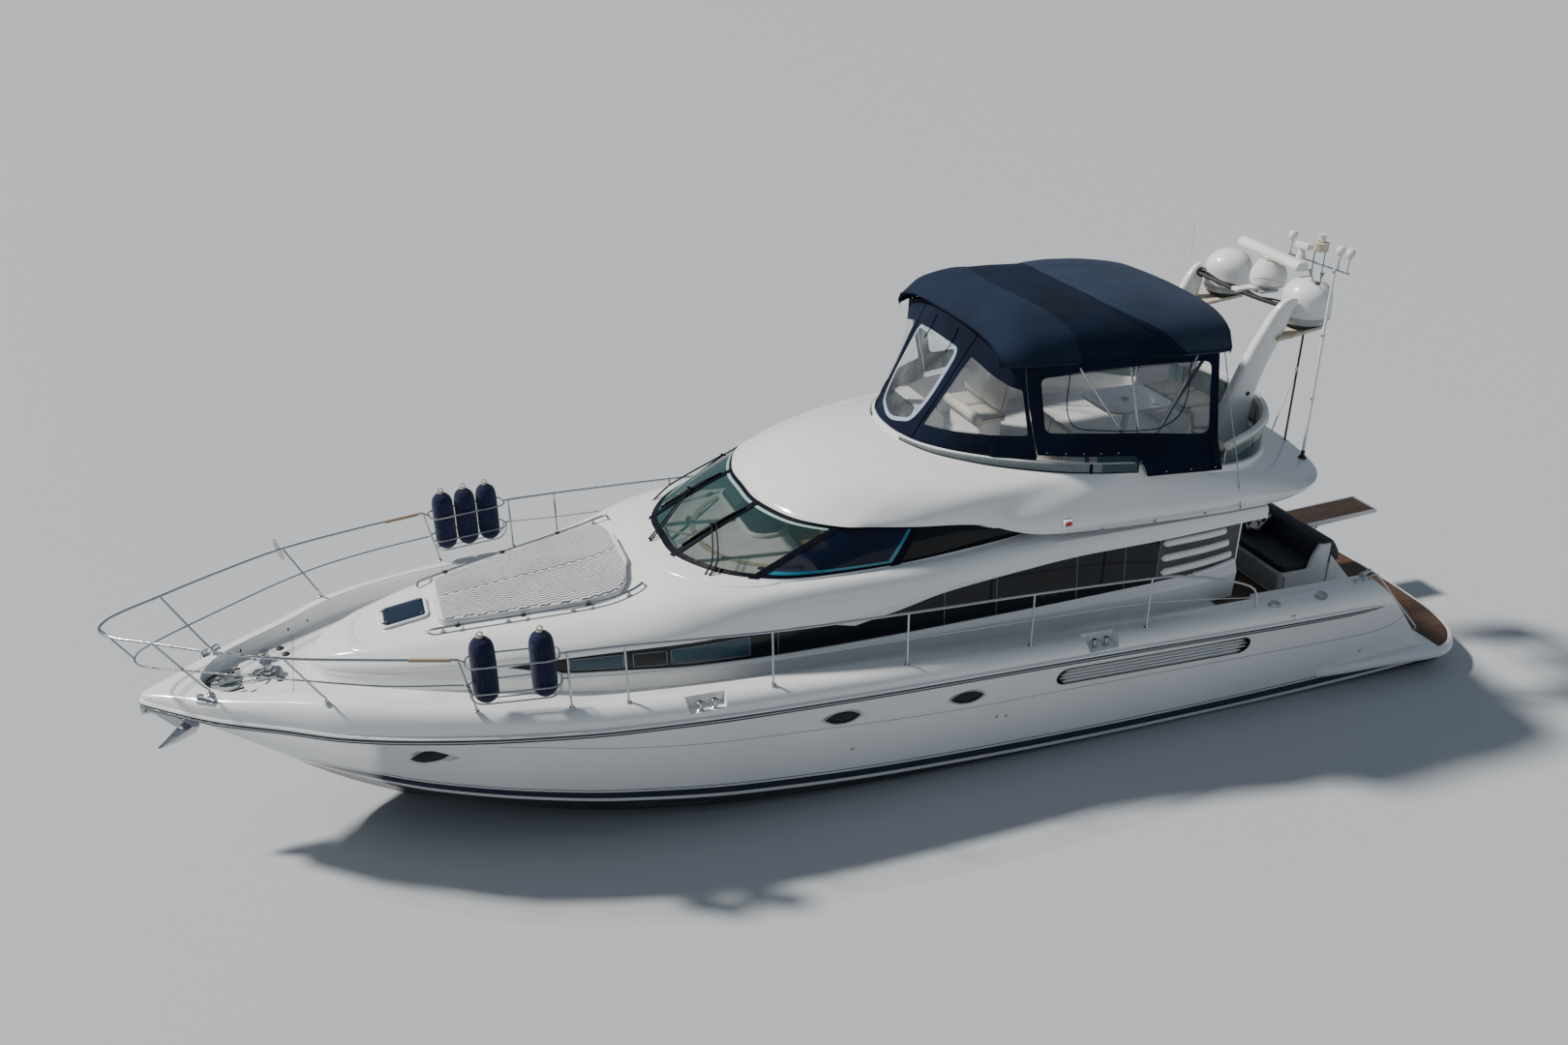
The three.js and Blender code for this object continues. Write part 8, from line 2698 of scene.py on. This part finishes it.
ribbed = vinyl("navy_vinyl", (0.0060, 0.0085, 0.020), 0.45)
rib_y = ribbed.axes()[1]
ribbed.bump(ribbed.reckon("ABSOLUTE", ribbed.reckon("SINE", rib_y * 42.0)), 0.8, 0.012)
seat_line = rounded(-6.88, -6.235, -1.135, 1.165, 0.07, 6)
back_profile = through(
    [
        (-6.705, 1.552), (-6.74, 1.66), (-6.83, 1.84), (-6.88, 1.885), (-6.96, 1.895), (-7.04, 1.86),
        (-7.14, 1.72), (-7.185, 1.62), (-7.185, 1.53),
    ],
    26,
)
back_profile = np.vstack([back_profile, [(-7.185, 1.528), (-6.975, 1.522), (-6.72, 1.53)]])
back_rings = []
for y, size in (
    (-1.178, 0.90), (-1.172, 0.95), (-1.155, 0.99), (-1.12, 1.0), (-0.5, 1.0), (0.0, 1.0), (0.5, 1.0),
    (1.15, 1.0), (1.185, 0.99), (1.202, 0.95), (1.208, 0.90),
):
    middle = np.array((-6.95, 1.68))
    edge = middle + (back_profile - middle) * size
    back_rings.append(np.column_stack([edge[:, 0], np.full(len(edge), y), np.maximum(edge[:, 1], 1.523)]))
seat_shape = cushion(seat_line, 1.452, 1.562, 0.05, 0.006, 0.0)
bench = piece(
    "cockpit_bench_pads", [(seat_shape, ribbed), (skin(back_rings), ribbed)],
    replaces=["cockpit_sofa"], sharp=45,
)
base = [
    (slab(rounded(-6.972, -6.255, -1.148, 1.178, 0.05, 5), 1.0405, 1.45, 0.02), white),
    (slab(rounded(-6.262, -6.247, -1.06, 1.09, 0.004, 2), 1.09, 1.39, 0.003), foot_grey),
]
ARM = [
    (-6.27, 1.0405),
    (-6.265, 1.42),
    (-6.30, 1.45),
    (-6.64, 1.47),
    (-6.70, 1.66),
    (-6.80, 1.84),
    (-6.97, 1.84),
    (-6.972, 1.0405),
]
base += twice([side_prism(ARM, 1.182, 1.186, 1.230, 1.236)], white)
piece("cockpit_bench_moulding", base)
check = vinyl("checked_cloth", (0.6, 0.6, 0.6), 0.7)
pale, dark = (0.72, 0.71, 0.69, 1), (0.012, 0.012, 0.014, 1)
squares = {"Vector": check.place(), "Color1": pale, "Color2": dark, "Scale": 9.5}
check.set(Base_Color=check.node("TexChecker", None, squares))
loose = set_at(
    cushion(rounded(-0.21, 0.21, -0.21, 0.21, 0.05, 6), 0.0, 0.10, 0.05, 0.035, 0.02), (-6.655, 0.03, 1.735),
    (0.25, 1, 0), (-0.62, 0.12, 0.80),
)
check_cushion = piece("checked_cushion", [(loose, check)])

# Stern gear: the gangway with teak slats in an alloy frame, its hydraulic ram, and the parts below water,
# which keep their CAD shapes: shafts, bronze propellers and rudders, and the engine blocks.
alloy = wandering(
    "brushed_alloy", (0.50, 0.51, 0.52), 0.35, "Roughness", (20, 4, (0.2, 4, 4)), 0.28, 0.45, Metallic=0.85,
)
# A darker copy of the teak, at tone 0.14, for the gangway's slats: painted shade.
dark_teak = teak_deck("shade_darkened_teak", "x", 0.14)
plank_x = np.array([-7.595, -7.75, -9.02, -9.13, -9.15])
WALK_TOP = [(-9.15, 1.385), (-7.595, 1.325)]
WALK_UNDER = [(-9.15, 1.33), (-7.595, 1.255)]
walk = []
for y0, y1, top, low, finish in (
    (-0.745, -0.715, 0.0, 0.0, alloy), (-0.235, -0.205, 0.0, 0.0, alloy),
    (-0.713, -0.237, -0.006, 0.016, dark_teak),
):
    rows = []
    for x, a, b in zip(plank_x, between(WALK_TOP, plank_x)[:, 0], between(WALK_UNDER, plank_x)[:, 0]):
        rows.append([(x, y0, b + low), (x, y1, b + low), (x, y1, a + top), (x, y0, a + top)])
    walk.append((skin(rows), finish))
for x in (-7.62, -9.135):
    z = float(between(WALK_TOP, [x])[0, 0])
    walk.append((block((x - 0.014, -0.716, z - 0.055), (x + 0.014, -0.234, z + 0.001)), alloy))
walk += [
    (tube([(-7.52, -0.70, 1.29), (-7.52, -0.25, 1.29)], 0.0352, 24), steel),
    (slab(rounded(-7.61, -7.52, -0.675, -0.275, 0.01, 3), 1.262, 1.318, 0.006), alloy),
]
for y in (-0.52, -0.43):
    walk.append((slab(rounded(-8.455, -8.385, y - 0.007, y + 0.007, 0.003, 2), 1.192, 1.31, 0.004), steel))
for x in np.arange(-8.95, -7.7, 0.25):
    z = float(between(WALK_UNDER, [x])[0, 0]) + 0.02
    walk.append((tube([(x, -0.742, z), (x, -0.208, z)], 0.009, 6), alloy))
piece("gangway", walk, body="passerelle", replaces=["passerelle"])
ram_foot, ram_eye = np.array((-7.86, -0.475, 0.80)), np.array((-8.42, -0.475, 1.215))
ram = [
    tube([ram_foot - (0, 0.05, 0), ram_foot + (0, 0.05, 0)], 0.0213, 24),
    tube([ram_foot, ram_foot + (ram_eye - ram_foot) * 0.62], 0.027, 20),
    tube([ram_foot, ram_eye], 0.015, 16),
    tube([ram_eye - (0, 0.031, 0), ram_eye + (0, 0.031, 0)], 0.028, 20),
    tube([ram_foot + (ram_eye - ram_foot) * 0.60, ram_foot + (ram_eye - ram_foot) * 0.635], 0.031, 20),
]
piece("gangway_ram", dressed(ram, steel), body="passerelle_strut", replaces=["passerelle_strut"])
bronze = Finish("bronze", (0.40, 0.25, 0.10), 0.32, Metallic=1.0)
patina = bronze.noise(9, 6)
bronze.set(Base_Color=bronze.mix(bronze.ramp(patina, 0.4, 0.75), (0.42, 0.26, 0.11), (0.16, 0.14, 0.09)))
bronze.set(Roughness=bronze.ramp(patina, 0.3, 0.7, 0.25, 0.5))
engine_paint = wandering(
    "engine_grey", (0.15, 0.155, 0.16), 0.5, "Base Color", (5, 5), (0.12, 0.125, 0.13), (0.19, 0.195, 0.20),
)
KEPT = [
    ("shaft", steel), ("propeller", bronze), ("rudder", bronze), ("engine", engine_paint),
    ("side_glass", dark_glass),
]
kept_nodes = {f"{name}_{side}": finish for name, finish in KEPT for side in ("port", "starboard")}
for name, finish in {**kept_nodes, "fly_table": white}.items():
    kept_mesh = bpy.data.objects[name].data
    kept_mesh.materials.clear()
    kept_mesh.materials.append(finish.material)
